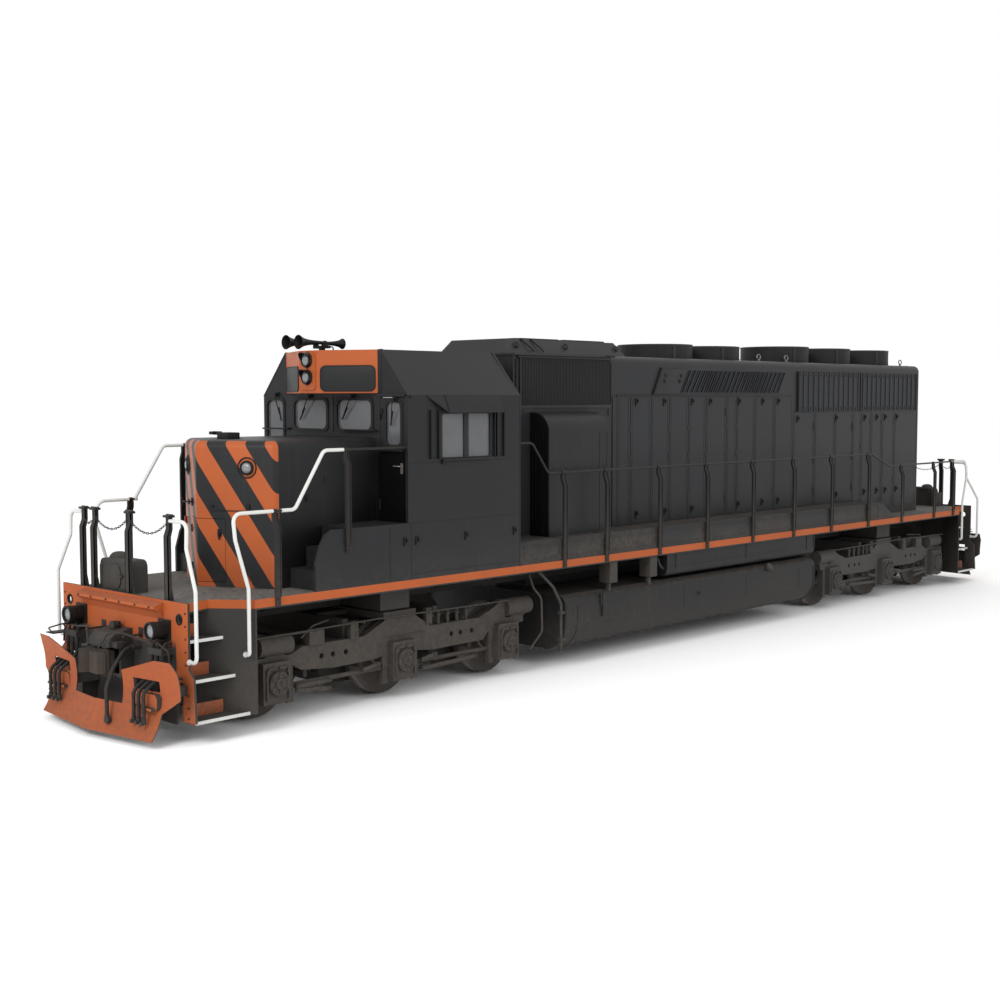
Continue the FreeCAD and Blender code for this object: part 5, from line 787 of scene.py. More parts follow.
class LOCOMOTIVE_OT_nose(bpy.types.Operator):
    """Pointed front of the short hood with its door, lamps, latches and markers."""
    bl_idname = "locomotive.nose"
    bl_label = "Nose"

    def execute(self, context):
        leaf_low, leaf_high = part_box("nose_door")
        half_leaf, gap = -leaf_low.y, 0.006
        layers = [(DECK + 0.002, 1.0)]
        for step in range(5):
            turn = TOP_TURN * step / 4
            layers.append((NOSE_TOP + SKIN - PROW_ROUND + PROW_ROUND * math.sin(turn), math.cos(turn)))
        shape = bmesh.new()
        skins = []
        for inset in (0.0, SHEET):
            rings = [[shape.verts.new((x, y, z - (inset if i > 1 else 0.0)))
                      for x, y in prow_outline(PROW_ROUND * share - inset * share)]
                     for i, (z, share) in enumerate(layers)]
            join_rings(shape, rings, around=False)
            shape.faces.new(rings[-1])
            skins.append(rings)
        outer, inner = skins
        join_rings(shape, (outer[0], inner[0]), around=False)
        for end in (0, -1):
            join_rings(shape, [[ring[end] for ring in rings] for rings in skins], around=False)
        shape.faces.new((outer[-1][0], outer[-1][-1], inner[-1][-1], inner[-1][0]))
        bmesh.ops.recalc_face_normals(shape, faces=shape.faces[:])
        prow = put("nose_prow", shape, "nose", smooth_angle=50)
        cutter = bmesh.new()
        add_box(cutter, (NOSE_FACE + 0.05, -half_leaf - gap, leaf_low.z - gap),
                (RIDGE + 0.1, half_leaf + gap, leaf_high.z + gap))
        cut_with(prow, cutter)
        prow.data.shade_smooth()
        prow.data.set_sharp_from_angle(angle=math.radians(50))

        shape = bmesh.new()
        slope = math.tan(FACET_ANGLE)
        skin = [(RIDGE - half_leaf * slope, -half_leaf), (RIDGE - 0.012, -0.025), (RIDGE - 0.012, 0.025),
                (RIDGE - half_leaf * slope, half_leaf)]
        back = [(x - 0.03, y * 0.99) for x, y in reversed(skin)]
        add_prism(shape, skin + back, 2, leaf_low.z, leaf_high.z, 0.003)
        for z in (leaf_low.z + 0.004, leaf_high.z - 0.012):
            add_prism(shape,
                      skin[:1] + [(RIDGE - 0.02, 0.0)] + skin[-1:] + [(NOSE_FACE + 0.004, half_leaf * 0.9),
                                                                             (NOSE_FACE + 0.004, -half_leaf)],
                      2, z, z + 0.008)
        leaf = put("nose_door_leaf", shape, "nose", "nose_door")
        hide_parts("nose_door")
        shape = bmesh.new()
        handle = Vector((0.0, half_leaf / math.cos(FACET_ANGLE) - 0.075, 2.33))
        add_box(shape, handle + Vector((-0.03, -0.03, -0.05)), handle + Vector((0.006, 0.03, 0.05)), 0.004)
        add_disc_rod(shape, handle, handle + Vector((0.028, 0, 0)), 0.013, 12, 0.003)
        add_box(shape, handle + Vector((0.016, -0.010, -0.085)), handle + Vector((0.028, 0.010, 0.012)),
                0.004)
        put("nose_door_latch", shape, "latch", "nose_door", moves=(FACET,))
        shape = bmesh.new()
        for z in (1.86, 2.35):
            strap = Vector((0.0, half_leaf / math.cos(FACET_ANGLE), z))
            add_box(shape, strap + Vector((-0.004, -0.09, -0.022)), strap + Vector((0.008, 0.0, 0.022)),
                    0.003)
            add_disc_rod(shape, strap + Vector((0.008, 0.010, -0.05)), strap + Vector((0.008, 0.010, 0.05)),
                         0.010, 10, 0.002)
        put("nose_door_straps", shape, "latch", "nose_door", moves=(MIRROR_Y @ FACET,))

        lamp = Vector((0, 0.72, 3.155))
        shape = bmesh.new()
        add_ring(shape, lamp + Vector((0.002, 0, 0)), (1, 0, 0), 0.126, 0.010, 40, 8)
        add_turned(shape, lamp, (1, 0, 0), [(-0.004, 0.060), (-0.004, 0.094), (0.030, 0.090), (0.036, 0.084),
                                            (0.036, 0.072), (0.020, 0.066), (-0.004, 0.060)], 40)
        put("nose_lamp_rings", shape, "latch", moves=BOTH_FACETS)
        shape = bmesh.new()
        add_turned(shape, lamp, (1, 0, 0), [(0, 0), (0, 0.068), (0.020, 0.068), (0.034, 0.050),
                                            (0.042, 0.028), (0.044, 0.0)], 36)
        put("nose_lamp_lenses", shape, "lens", moves=BOTH_FACETS)

        shape = bmesh.new()
        for row in (((-0.003, 0.23, 2.605), (0.010, 0.69, 2.617), 0.002),
                    ((-0.003, 0.705, 2.62), (0.022, 0.755, 2.70), 0.005),
                    ((-0.003, 0.20, 2.655), (0.030, 0.25, 2.675), 0.003)):
            add_box(shape, *row)
        spread(shape, (FACET,))
        top = NOSE_TOP + SKIN
        add_box(shape, (8.31, -0.19, top - 0.01), (8.50, 0.05, top + 0.085), 0.012)
        add_disc_rod(shape, (8.46, -0.15, top + 0.075), (8.46, -0.34, top + 0.075), 0.024, 14, 0.006)
        add_box(shape, (8.40, -0.34, top + 0.055), (8.52, -0.26, top + 0.095), 0.008)
        add_box(shape, (8.28, -0.22, top - 0.004), (8.53, 0.08, top + 0.004), 0.002)
        put("nose_strip_and_bell_box", shape, "latch")

        shape = bmesh.new()
        hook = Vector((0.0, 0.40, 2.69))
        add_box(shape, hook + Vector((-0.004, -0.05, -0.05)), hook + Vector((0.012, 0.05, 0.05)), 0.004)
        add_tube(shape, [hook, hook + Vector((0.09, 0.02, 0.0)), hook + Vector((0.10, 0.16, 0.0))], 0.010,
                 0.05, 8)
        add_ring(shape, hook + Vector((0.10, 0.21, -0.01)), (1, 0.3, 0), 0.05, 0.009)
        add_box(shape, hook + Vector((0.03, -0.02, -0.035)), hook + Vector((0.05, 0.03, 0.035)), 0.003)
        put("nose_side_fittings", shape, "latch", moves=(MIRROR_Y @ FACET,))
        shape = bmesh.new()
        add_box(shape, (-0.004, 0.94, 2.36), (0.03, 1.0, 2.46), 0.006)
        put("nose_marker", shape, "red", moves=(MIRROR_Y @ FACET,))

        shape = bmesh.new()
        spot = Vector((7.95, prow_side(7.95), 2.76))
        add_box(shape, spot + Vector((-0.03, -0.004, -0.05)), spot + Vector((0.03, 0.008, 0.05)), 0.003)
        add_box(shape, spot + Vector((-0.012, 0.004, -0.045)), spot + Vector((0.012, 0.022, 0.015)), 0.003)
        for z in (2.02, 2.98):
            add_box(shape, (7.62, prow_side(7.63) - 0.004, z - 0.045),
                    (7.645, prow_side(7.63) + 0.010, z + 0.045), 0.003)
        put("nose_side_latches", shape, "latch", moves=BOTH_SIDES)
        return {"FINISHED"}


# ---------------------------------------------------------------- cab

SCREEN_TOP = 4.015


def add_wiper(shape, pivot, tip, out):
    """A wiper arm from its spindle to the blade, standing off the pane."""
    pivot, tip, out = Vector(pivot), Vector(tip), Vector(out)
    reach = (tip - pivot).normalized()
    add_disc_rod(shape, pivot - out * 0.01, pivot + out * 0.055, 0.022, 12, 0.004)
    add_box(shape, pivot + Vector((-0.015, -0.04, -0.035)), pivot + Vector((0.02, 0.04, 0.035)), 0.008)
    add_tube(shape, [pivot + out * 0.045, pivot + reach * 0.06 + out * 0.05,
                     tip - reach * 0.10 + out * 0.028], 0.0075, 0.03, 6, 3)
    add_tube(shape, [tip - reach * 0.20 + out * 0.020, tip + out * 0.016], 0.011, 0.01, 6, 2)


class LOCOMOTIVE_OT_cab_front(bpy.types.Operator):
    """Window seals, wipers and the foot rail on the cab's end walls."""
    bl_idname = "locomotive.cab_front"
    bl_label = "Cab front fittings"

    def execute(self, context):
        low_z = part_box("front_cab_door_glass")[0].z
        shape = bmesh.new()
        for side in (1, -1):
            near, far = sorted((side * 0.095, side * 0.845))
            add_frame(shape, (near - 0.02, 3.58 - 0.02), (far + 0.02, SCREEN_TOP + 0.02), 0,
                      CAB_FRONT - 0.004,
                      0.042, 0.016, 0.085, 0.085)
        add_frame(shape, (-1.49, low_z - 0.02), (-1.04, SCREEN_TOP + 0.02), 0, CAB_FRONT - 0.004, 0.042,
                  0.016, 0.085, 0.085)
        add_frame(shape, (1.04, low_z - 0.02), (1.49, SCREEN_TOP + 0.02), 0, CAB_REAR - 0.012, 0.042,
                  0.016, 0.085, 0.085)
        put("windscreen_seals", shape, "rubber")
        for end, face, way, side in (("front", CAB_FRONT, 1, 1), ("rear", CAB_REAR, -1, -1)):
            low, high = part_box(f"{end}_cab_door_glass")
            shape = bmesh.new()
            add_frame(shape, (low.y - 0.022, low.z - 0.022), (high.y + 0.022, high.z + 0.022), 0,
                      face - 0.004 if way > 0 else face - 0.010, 0.040, 0.014, 0.075, 0.075)
            put(f"{end}_door_seal", shape, "rubber", f"{end}_cab_door")
            shape = bmesh.new()
            hand = Vector((face, side * 1.42, 3.10))
            add_box(shape, hand + Vector((-0.008, -0.022, -0.07)), hand + Vector((0.008, 0.022, 0.07)), 0.004)
            add_tube(shape, [hand + Vector((0, 0, 0.03)), hand + Vector((0.05 * way, 0, 0.03)),
                             hand + Vector((0.05 * way, -0.11 * side, 0.03))], 0.009, 0.02, 8, 4)
            put(f"{end}_door_handle", shape, "steel", f"{end}_cab_door")

        shape = bmesh.new()
        for pivot, tip in (((0.461, 4.045), (0.235, 3.735)), ((-0.46, 4.045), (-0.68, 3.725)),
                           ((-1.215, 4.075), (-1.115, 3.70))):
            add_wiper(shape, (CAB_FRONT, *pivot), (CAB_FRONT, *tip), (1, 0, 0))
        put("wipers", shape, "latch")
        shape = bmesh.new()
        add_wiper(shape, (CAB_FRONT + 0.006, 1.31, 4.0), (CAB_FRONT, 1.225, 3.66), (1, 0, 0))
        put("door_wiper", shape, "latch", "front_cab_door")

        shape = bmesh.new()
        rail_z = NOSE_TOP + 0.095
        add_tube(shape, [(CAB_FRONT - 0.005, -1.50, rail_z), (CAB_FRONT + 0.07, -1.50, rail_z),
                         (CAB_FRONT + 0.07, -0.93, rail_z), (CAB_FRONT - 0.005, -0.93, rail_z)], 0.011, 0.03,
                 8)
        add_tube(shape, [(CAB_FRONT - 0.005, 0.93, rail_z), (CAB_FRONT + 0.07, 0.93, rail_z),
                         (CAB_FRONT + 0.07, 0.30, rail_z), (CAB_FRONT - 0.005, 0.30, rail_z)], 0.011, 0.03, 8)
        for y in (-0.93, 0.93):
            add_turned(shape, (CAB_FRONT, y, rail_z), (1, 0, 0),
                       [(0, 0), (0, 0.026), (0.008, 0.024), (0.008, 0)], 12)
        add_box(shape, (CAB_FRONT - 0.004, 0.03 - 0.012, 3.56), (CAB_FRONT + 0.006, 0.03 + 0.012, 4.05),
                0.003)
        put("cab_foot_rails", shape, "latch")

        shape = bmesh.new()
        seam = 0.010
        add_box(shape, (CAB_FRONT - 0.006, CAB_SIDE - 0.062, 3.325), (CAB_FRONT + 0.075, 1.02, 3.35), 0.004)
        add_box(shape, (CAB_FRONT - 0.006, 0.99, EAVE - 0.018),
                (CAB_FRONT + 0.05, CAB_SIDE - 0.03, EAVE + seam), 0.004)
        put("cab_door_drip_strip", shape, "front_wall")
        return {"FINISHED"}


class LOCOMOTIVE_OT_headlight(bpy.types.Operator):
    """Lamps with visors, the front panel and blank boards on the headlight housing."""
    bl_idname = "locomotive.headlight"
    bl_label = "Headlight housing"

    def execute(self, context):
        face = HOUSING_HIGH.x - 0.045
        low_z, high_z = HOUSING_LOW.z, HOUSING_HIGH.z
        shape = bmesh.new()
        add_prism(shape, rounded_corners((-0.155, low_z + 0.04), (0.155, high_z - 0.04), 0.05), 0,
                  face - 0.004, face + 0.014, 0.004)
        put("headlight_panel", shape, "orange")

        shape = bmesh.new()
        for z in FRONT_LAMPS:
            add_turned(shape, (face + 0.010, 0, z), (1, 0, 0),
                       [(0, 0.070), (0, 0.104), (0.010, 0.104), (0.046, 0.094), (0.052, 0.088),
                        (0.052, 0.074),
                        (0.0, 0.070)], 32)
            hood = []
            for out, reach in ((0.098, 0.0), (0.104, 0.125), (0.096, 0.125), (0.090, 0.0)):
                hood.append([(face + 0.012 + reach * (0.35 + 0.65 * math.sin(math.pi * k / 14)),
                              out * math.cos(math.pi * k / 14), z + out * math.sin(math.pi * k / 14))
                             for k in range(15)])
            rings = [[shape.verts.new(point) for point in ring] for ring in hood]
            faces = join_rings(shape, rings + rings[:1], around=False)
            faces += [shape.faces.new([ring[k] for ring in rings]) for k in (0, -1)]
            bmesh.ops.recalc_face_normals(shape, faces=faces)
            for turn in range(6):
                angle = math.pi / 6 + turn * math.pi / 3
                add_bolt(shape, (face + 0.014, 0.118 * math.cos(angle), z + 0.118 * math.sin(angle)),
                         (1, 0, 0),
                         0.006, 0.006)
        put("headlight_rims", shape, "latch")
        shape = bmesh.new()
        for z in FRONT_LAMPS:
            add_turned(shape, (face + 0.040, 0, z), (1, 0, 0),
                       [(0, 0), (0, 0.076), (0.008, 0.076), (0.020, 0.055), (0.026, 0.03), (0.028, 0)], 32)
        put("headlight_lenses", shape, "lens")

        near, far = Vector((face, 0.19, 0)), Vector((HOUSING_LOW.x, HOUSING_HIGH.y, 0))
        slope = math.atan2(near.x - far.x, far.y - near.y)
        lay = Matrix.Translation(near) @ Matrix.Rotation(slope, 4, "Z")
        width = (far - near).length
        moves = (lay, MIRROR_Y @ lay)
        shape = bmesh.new()
        add_prism(shape, rounded_corners((0.055, low_z + 0.03), (width - 0.085, low_z + 0.36), 0.07, 6), 0,
                  -0.004, 0.010, 0.003)
        put("number_boards", shape, "board", moves=moves)
        shape = bmesh.new()
        add_frame(shape, (0.045, low_z + 0.02), (width - 0.075, low_z + 0.37), 0, -0.004, 0.014, 0.018, 0.08,
                  0.068, 6)
        put("number_board_rims", shape, "latch", moves=moves)
        shape = bmesh.new()
        add_box(shape, (-0.03, width - 0.045, low_z - 0.004), (0.006, width + 0.004, high_z + 0.004), 0.004)
        put("housing_side_edges", shape, "latch", moves=moves)
        return {"FINISHED"}


HORNS = ((6.62, 7.14, -0.475, 0.098), (6.62, 7.07, -0.290, 0.098), (6.52, 6.22, -0.385, 0.074))


class LOCOMOTIVE_OT_horn(bpy.types.Operator):
    """Three flared trumpets on their bar."""
    bl_idname = "locomotive.horn"
    bl_label = "Horn"

    def execute(self, context):
        roof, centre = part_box("cab_roof")[1].z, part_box("horn")[1].z - 0.085
        shape = bmesh.new()
        for throat, mouth, y, radius in HORNS:
            way = 1 if mouth > throat else -1
            reach = abs(mouth - throat)
            outer = [(reach * t, 0.021 + 0.022 * t + (radius - 0.043) * t ** 5) for t in
                     (0.0, 0.2, 0.4, 0.55, 0.68, 0.78, 0.86, 0.92, 0.96, 1.0)]
            rim = [(reach + 0.004, radius + 0.002), (reach + 0.004, radius - 0.006)]
            inner = [(along, max(size - 0.007, 0.004)) for along, size in reversed(outer[3:])]
            profile = [(-0.03, 0), (-0.03, 0.03), (0.0, 0.033), (0.012, 0.024)] + outer[1:] + rim + inner
            add_turned(shape, (throat, y, centre), (way, 0, 0), profile + [(reach * 0.55, 0)], 28)
            add_box(shape, (throat - 0.03, y - 0.03, centre - 0.05), (throat + 0.03, y + 0.03, centre - 0.01),
                    0.006)
        for row in (((6.54, -0.52, centre - 0.075), (6.64, -0.25, centre - 0.035), 0.006),
                    ((6.555, -0.42, roof - 0.002), (6.615, -0.35, centre - 0.07), 0.004),
                    ((6.52, -0.47, roof - 0.004), (6.65, -0.30, roof + 0.014), 0.004)):
            add_box(shape, *row)
        add_tube(shape,
                 [(6.60, -0.30, centre - 0.05), (6.60, -0.12, centre - 0.06), (6.60, -0.12, roof - 0.004)],
                 0.009, 0.04, 8)
        horn = put("horn_trumpets", shape, "latch")
        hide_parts("horn")
        return {"FINISHED"}


class LOCOMOTIVE_OT_cab_side(bpy.types.Operator):
    """Sliding windows, awnings, wind deflectors, seams and locker latches on both cab sides."""
    bl_idname = "locomotive.cab_side"
    bl_label = "Cab sides"

    def execute(self, context):
        low, high = (5.184, 3.215), (6.126, 3.825)
        shape = bmesh.new()
        add_frame(shape, (low[0] - 0.012, low[1] - 0.012), (high[0] + 0.012, high[1] + 0.012), 1,
                  CAB_SIDE - 0.045, 0.026, 0.047, 0.012, 0.03)
        middle = (low[0] + high[0]) / 2
        add_box(shape, (middle - 0.045, CAB_SIDE - 0.040, low[1]), (middle + 0.045, CAB_SIDE - SUNK, high[1]),
                0.004)
        add_box(shape, (low[0], CAB_SIDE - 0.012, low[1] - 0.028),
                (high[0], CAB_SIDE + 0.045, low[1] - 0.006), 0.006)
        put("side_window_frames", shape, "cab", moves=BOTH_SIDES)

        shape = bmesh.new()
        for x in (6.335, 6.189, 5.125, 5.075, 4.935):
            add_box(shape, (x - 0.009, CAB_SIDE - SUNK, 3.215), (x + 0.009, CAB_SIDE + 0.032, 3.865), 0.003)
        for x in (6.262, 5.03):
            add_box(shape, (x - 0.075, CAB_SIDE - 0.002, 3.22), (x + 0.075, CAB_SIDE + 0.004, 3.24), 0.002)
        add_box(shape, (6.05, CAB_SIDE - SUNK, 3.145), (6.13, CAB_SIDE + 0.03, 3.19), 0.005)
        add_box(shape, (6.66, CAB_SIDE - 0.002, 4.02), (6.70, CAB_SIDE + 0.02, EAVE - 0.005), 0.005)
        for z in (3.17, 2.386):
            add_box(shape, (CAB_REAR + 0.01, CAB_SIDE - SUNK, z - 0.004),
                    (CAB_FRONT - 0.01, CAB_SIDE + SEAM_PROUD, z + 0.004))
        add_box(shape, (CAB_FRONT - 0.055, CAB_SIDE - SUNK, 1.66),
                (CAB_FRONT - 0.047, CAB_SIDE + SEAM_PROUD, 2.386))
        add_box(shape, (CAB_REAR + 0.02, CAB_SIDE - SUNK, DECK + 0.07),
                (CAB_FRONT - 0.06, CAB_SIDE + SEAM_PROUD, DECK + 0.077))
        put("cab_side_strips_and_seams", shape, "latch", moves=BOTH_SIDES)

        shape = bmesh.new()
        top, drop, out = EAVE - 0.005, 0.235, 0.105
        front, rear = 6.41, 5.02
        section = [(CAB_SIDE - 0.01, top), (CAB_SIDE + 0.012, top), (CAB_SIDE + out, top - drop + 0.02),
                   (CAB_SIDE + out, top - drop), (CAB_SIDE + out - 0.016, top - drop),
                   (CAB_SIDE - 0.01, top - 0.03)]
        add_prism(shape, section, 0, rear, front - 0.34)
        sheet = [(front, CAB_SIDE + 0.004, top), (front - 0.34, CAB_SIDE + out, top - drop),
                 (front - 0.34, CAB_SIDE + 0.004, top)]
        add_solid(shape, sheet, [Vector(point) + Vector((0, -0.012, -0.004)) for point in sheet])
        put("window_awnings", shape, "cab", moves=BOTH_SIDES)

        shape = bmesh.new()
        for x in (6.776, 6.566, 5.652, 4.69):
            add_latch(shape, x, CAB_SIDE, 2.17, 0.9)
        add_box(shape, (7.05, CAB_SIDE - SUNK, 1.68), (7.058, CAB_SIDE + SEAM_PROUD, 2.36))
        put("locker_latches", shape, "latch", moves=BOTH_SIDES)

        shape = bmesh.new()
        add_box(shape, (CAB_REAR - 0.004, CAB_SIDE - 0.03, DECK), (CAB_REAR + 0.012, CAB_SIDE + 0.003, EAVE))
        section = [(CAB_SIDE - 0.02, EAVE - 0.01), (CAB_SIDE + 0.008, EAVE - 0.01), (1.024, 4.672),
                   (1.0, 4.672)]
        for start, end in ((CAB_REAR + 0.004, CAB_REAR + 0.045), (CAB_FRONT - 0.035, CAB_FRONT + 0.004)):
            add_prism(shape, section, 0, start, end)
        put("cab_edge_beads", shape, "cab", moves=BOTH_SIDES)
        return {"FINISHED"}


def add_latch(shape, x, face, z, scale=1.0):
    """A hood door latch: its plate and the bent bar of the handle."""
    wide, tall = 0.024 * scale, 0.045 * scale
    add_box(shape, (x - wide, face - 0.002, z - tall), (x + wide, face + 0.010, z + tall), 0.003)
    add_box(shape, (x - wide * 0.35, face + 0.006, z - tall * 0.7),
            (x + wide * 0.35, face + 0.030, z + tall * 0.4), 0.003)
    bar = x + 0.040 * scale
    add_box(shape, (bar - 0.007, face - 0.002, z - tall * 1.9), (bar + 0.007, face + 0.016, z + tall * 0.9),
            0.002)
    add_box(shape, (x, face + 0.002, z + tall * 0.65), (bar, face + 0.012, z + tall * 0.9), 0.002)


# ---------------------------------------------------------------- long hood

DOOR_SEAMS_HIGH = (1.32, 0.775, 0.28, -0.256, -0.76, -1.376, -1.69, -2.263, -2.90, -3.54)
DOOR_SEAMS_LOW = (-4.30, -5.05, -5.73, -6.06, -6.45, -6.90, -7.41)
HIGH_LATCHES = (1.149, 0.405, -0.375, -0.905, -1.775, -2.528, -3.046)
LOW_LATCHES = (-3.712, -5.107, -6.214, -6.695, -7.043, -7.525)
FOOT_LATCHES = (1.145, 0.375, -0.381, -1.764, -2.536, -3.065, -5.14, -6.224, -6.727, -7.087, -7.539)
HINGES = ((-1.355, (3.78, 2.26)), (-4.28, (3.48, 2.84, 2.25)), (-5.71, (3.44, 2.87, 2.255)))


class LOCOMOTIVE_OT_filter_house(bpy.types.Operator):
    """Corrugated filter screens with their frames, the roof edge and the hatch's plates and eyes."""
    bl_idname = "locomotive.filter_house"
    bl_label = "Filter compartment"

    def execute(self, context):
        front, rear, low, high = 3.915, HOOD_FRONT + 0.012, 3.915, HOOD_TOP - 0.065
        shape = bmesh.new()
        pitch = 0.034
        count = int((front - rear) / pitch)
        step = (front - rear) / count
        for i in range(count):
            x = rear + step * i
            add_prism(shape, [(x, HOOD_SIDE - SUNK), (x + step * 0.25, HOOD_SIDE + 0.010),
                              (x + step * 0.6, HOOD_SIDE + 0.010), (x + step * 0.85, HOOD_SIDE - SUNK)],
                      2, low, high)
        put("filter_screens", shape, "screen", moves=BOTH_SIDES)

        shape = bmesh.new()
        for row in (((rear, HOOD_SIDE - SUNK, low - 0.045), (front + 0.06, HOOD_SIDE + 0.024, low), 0.004),
                    ((rear, HOOD_SIDE - SUNK, high), (front + 0.06, HOOD_SIDE + 0.018, high + 0.03), 0.004),
                    ((front, HOOD_SIDE - SUNK, low - 0.045), (front + 0.022, HOOD_SIDE + 0.02, high + 0.03),
                     0.004),
                    ((3.84, HOOD_SIDE - SUNK, 3.30), (3.856, HOOD_SIDE + 0.006, low - 0.05)),
                    ((rear + 0.02, HOOD_SIDE - SUNK, 3.74), (rear + 0.05, HOOD_SIDE + 0.014, low - 0.07),
                     0.003),
                    ((1.90, HOOD_SIDE - SUNK, low - 0.105), (3.84, HOOD_SIDE + 0.005, low - 0.095))):
            add_box(shape, *row)
        put("filter_frames", shape, "body", moves=BOTH_SIDES)

        shape = bmesh.new()
        for row in (((HOOD_FRONT - 0.006, HOOD_SIDE - 0.01, 3.95),
                     (HOOD_FRONT + 0.014, HOOD_SIDE + 0.018, HOOD_TOP - 0.12), 0.003),
                    ((front + 0.03, HOOD_SIDE - SUNK, low + 0.03),
                     (front + 0.10, HOOD_SIDE + 0.003, high - 0.02)),
                    ((HOOD_FRONT - 0.05, HOOD_SIDE - 0.01, HOOD_TOP - 0.03),
                     (HOOD_FRONT + 0.16, HOOD_SIDE + 0.05, HOOD_TOP + 0.006), 0.01)):
            add_box(shape, *row)
        put("filter_dark_edges", shape, "latch", moves=BOTH_SIDES)

        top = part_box("roof_hatch")[1].z
        shape = bmesh.new()
        for x in (3.02, 2.02):
            add_box(shape, (x - 0.43, -0.50, top - 0.004), (x + 0.43, 0.50, top + 0.022), 0.006)
        for x in (3.62, 3.40):
            add_box(shape, (x - 0.012, -0.56, top - 0.004), (x + 0.012, 0.56, top + 0.014), 0.003)
        add_box(shape, (1.30, -0.36, top - 0.005), (1.62, 0.36, top + 0.03), 0.008)
        put("hatch_plates", shape, "hatch")
        shape = bmesh.new()
        for x in (3.72, 2.60, 1.36):
            add_ring(shape, (x, 0.66, top - 0.09), (0, 0.85, 0.5), 0.042, 0.010)
            add_box(shape, (x - 0.03, 0.60, top - 0.15), (x + 0.03, 0.66, top - 0.118), 0.004)
        for x in (3.55, 3.33):
            add_tube(shape,
                     [(x, 0.58, top + 0.002), (x - 0.10, 0.70, top - 0.13), (x - 0.14, 0.735, top - 0.19)],
                     0.012, 0.02, 6, 3)
        put("hatch_eyes", shape, "latch", moves=BOTH_SIDES)
        return {"FINISHED"}


class LOCOMOTIVE_OT_blower(bpy.types.Operator):
    """Blower duct: a black sheet at the front as painted shade of the intake opening, seams and the bead
    round its cover.
    """
    bl_idname = "locomotive.blower"
    bl_label = "Blower duct"

    def execute(self, context):
        low, high = BLOWER_LOW, BLOWER_HIGH
        # A near-black sheet over the duct's front face: painted shade of the intake opening.
        shape = bmesh.new()
        outline = [(HOOD_SIDE + 0.01, low.z + 0.005), (high.y - 0.02, low.z + 0.005)]
        outline += [(high.y - 0.02 - 0.29 + 0.29 * math.cos(math.pi / 2 * i / 8),
                     high.z - 0.02 - 0.29 + 0.29 * math.sin(math.pi / 2 * i / 8)) for i in range(9)]
        outline += [(HOOD_SIDE + 0.01, high.z - 0.02)]
        add_prism(shape, outline, 0, high.x - 0.004, high.x + 0.004)
        put("blower_intake", shape, "black")
        shape = bmesh.new()
        for k in range(5):
            y = HOOD_SIDE + 0.05 + 0.07 * k
            add_box(shape, (high.x, y - 0.006, low.z + 0.05), (high.x + 0.012, y + 0.006, high.z - 0.32),
                    0.002)
        add_box(shape, (high.x - 0.02, high.y - 0.022, low.z),
                (high.x + 0.014, high.y + 0.003, high.z - 0.30), 0.003)
        put("blower_intake_bars", shape, "latch")
        shape = bmesh.new()
        seam = 2.94
        add_box(shape, (low.x + 0.005, high.y - 0.004, seam - 0.008),
                (high.x - 0.005, high.y + 0.006, seam + 0.008), 0.003)
        for x in (low.x + 0.015, low.x + 0.19):
            add_box(shape, (x - 0.010, high.y - 0.004, low.z + 0.04),
                    (x + 0.010, high.y + 0.005, high.z - 0.30), 0.003)
        for i in range(9):
            add_bolt(shape, (low.x + 0.10 + 0.145 * i, high.y, seam + 0.035), (0, 1, 0), 0.010, 0.008)
        add_box(shape, (low.x - 0.012, HOOD_SIDE, low.z - 0.004),
                (high.x + 0.004, high.y + 0.012, low.z + 0.02), 0.004)
        put("blower_seams", shape, "cab")
        return {"FINISHED"}


class LOCOMOTIVE_OT_walkway_duct(bpy.types.Operator):
    """Raised panel rims along the walkway duct, from post to post."""
    bl_idname = "locomotive.walkway_duct"
    bl_label = "Walkway duct"

    def execute(self, context):
        posts = [x for x, _, _ in LEFT_POSTS if -5.6 < x < 4.0]
        edges = [CAB_REAR - 0.02] + posts + [-5.80]
        shape = bmesh.new()
        for near, far in zip(edges, edges[1:]):
            add_frame(shape, (far + 0.075, DECK + 0.045), (near - 0.075, DUCT_TOP - 0.055), 1,
                      DUCT_SIDE - SUNK,
                      0.018, 0.012, 0.02, 0.012, 2)
        put("duct_panel_rims", shape, "duct")
        shape = bmesh.new()
        for x in edges[1:-1]:
            add_box(shape, (x - 0.004, DUCT_SIDE - SUNK, DECK + 0.005),
                    (x + 0.004, DUCT_SIDE + 0.004, DUCT_TOP - 0.005))
        add_box(shape, (-5.85, DUCT_SIDE - 0.03, DUCT_TOP - 0.012),
                (CAB_REAR, DUCT_SIDE + 0.006, DUCT_TOP + 0.004), 0.003)
        for i in range(72):
            x = CAB_REAR - 0.10 - 0.14 * i
            add_bolt(shape, (x, DUCT_SIDE - 0.10, DUCT_TOP), (0, 0, 1), 0.010, 0.006)
        put("duct_edge", shape, "duct")
        return {"FINISHED"}


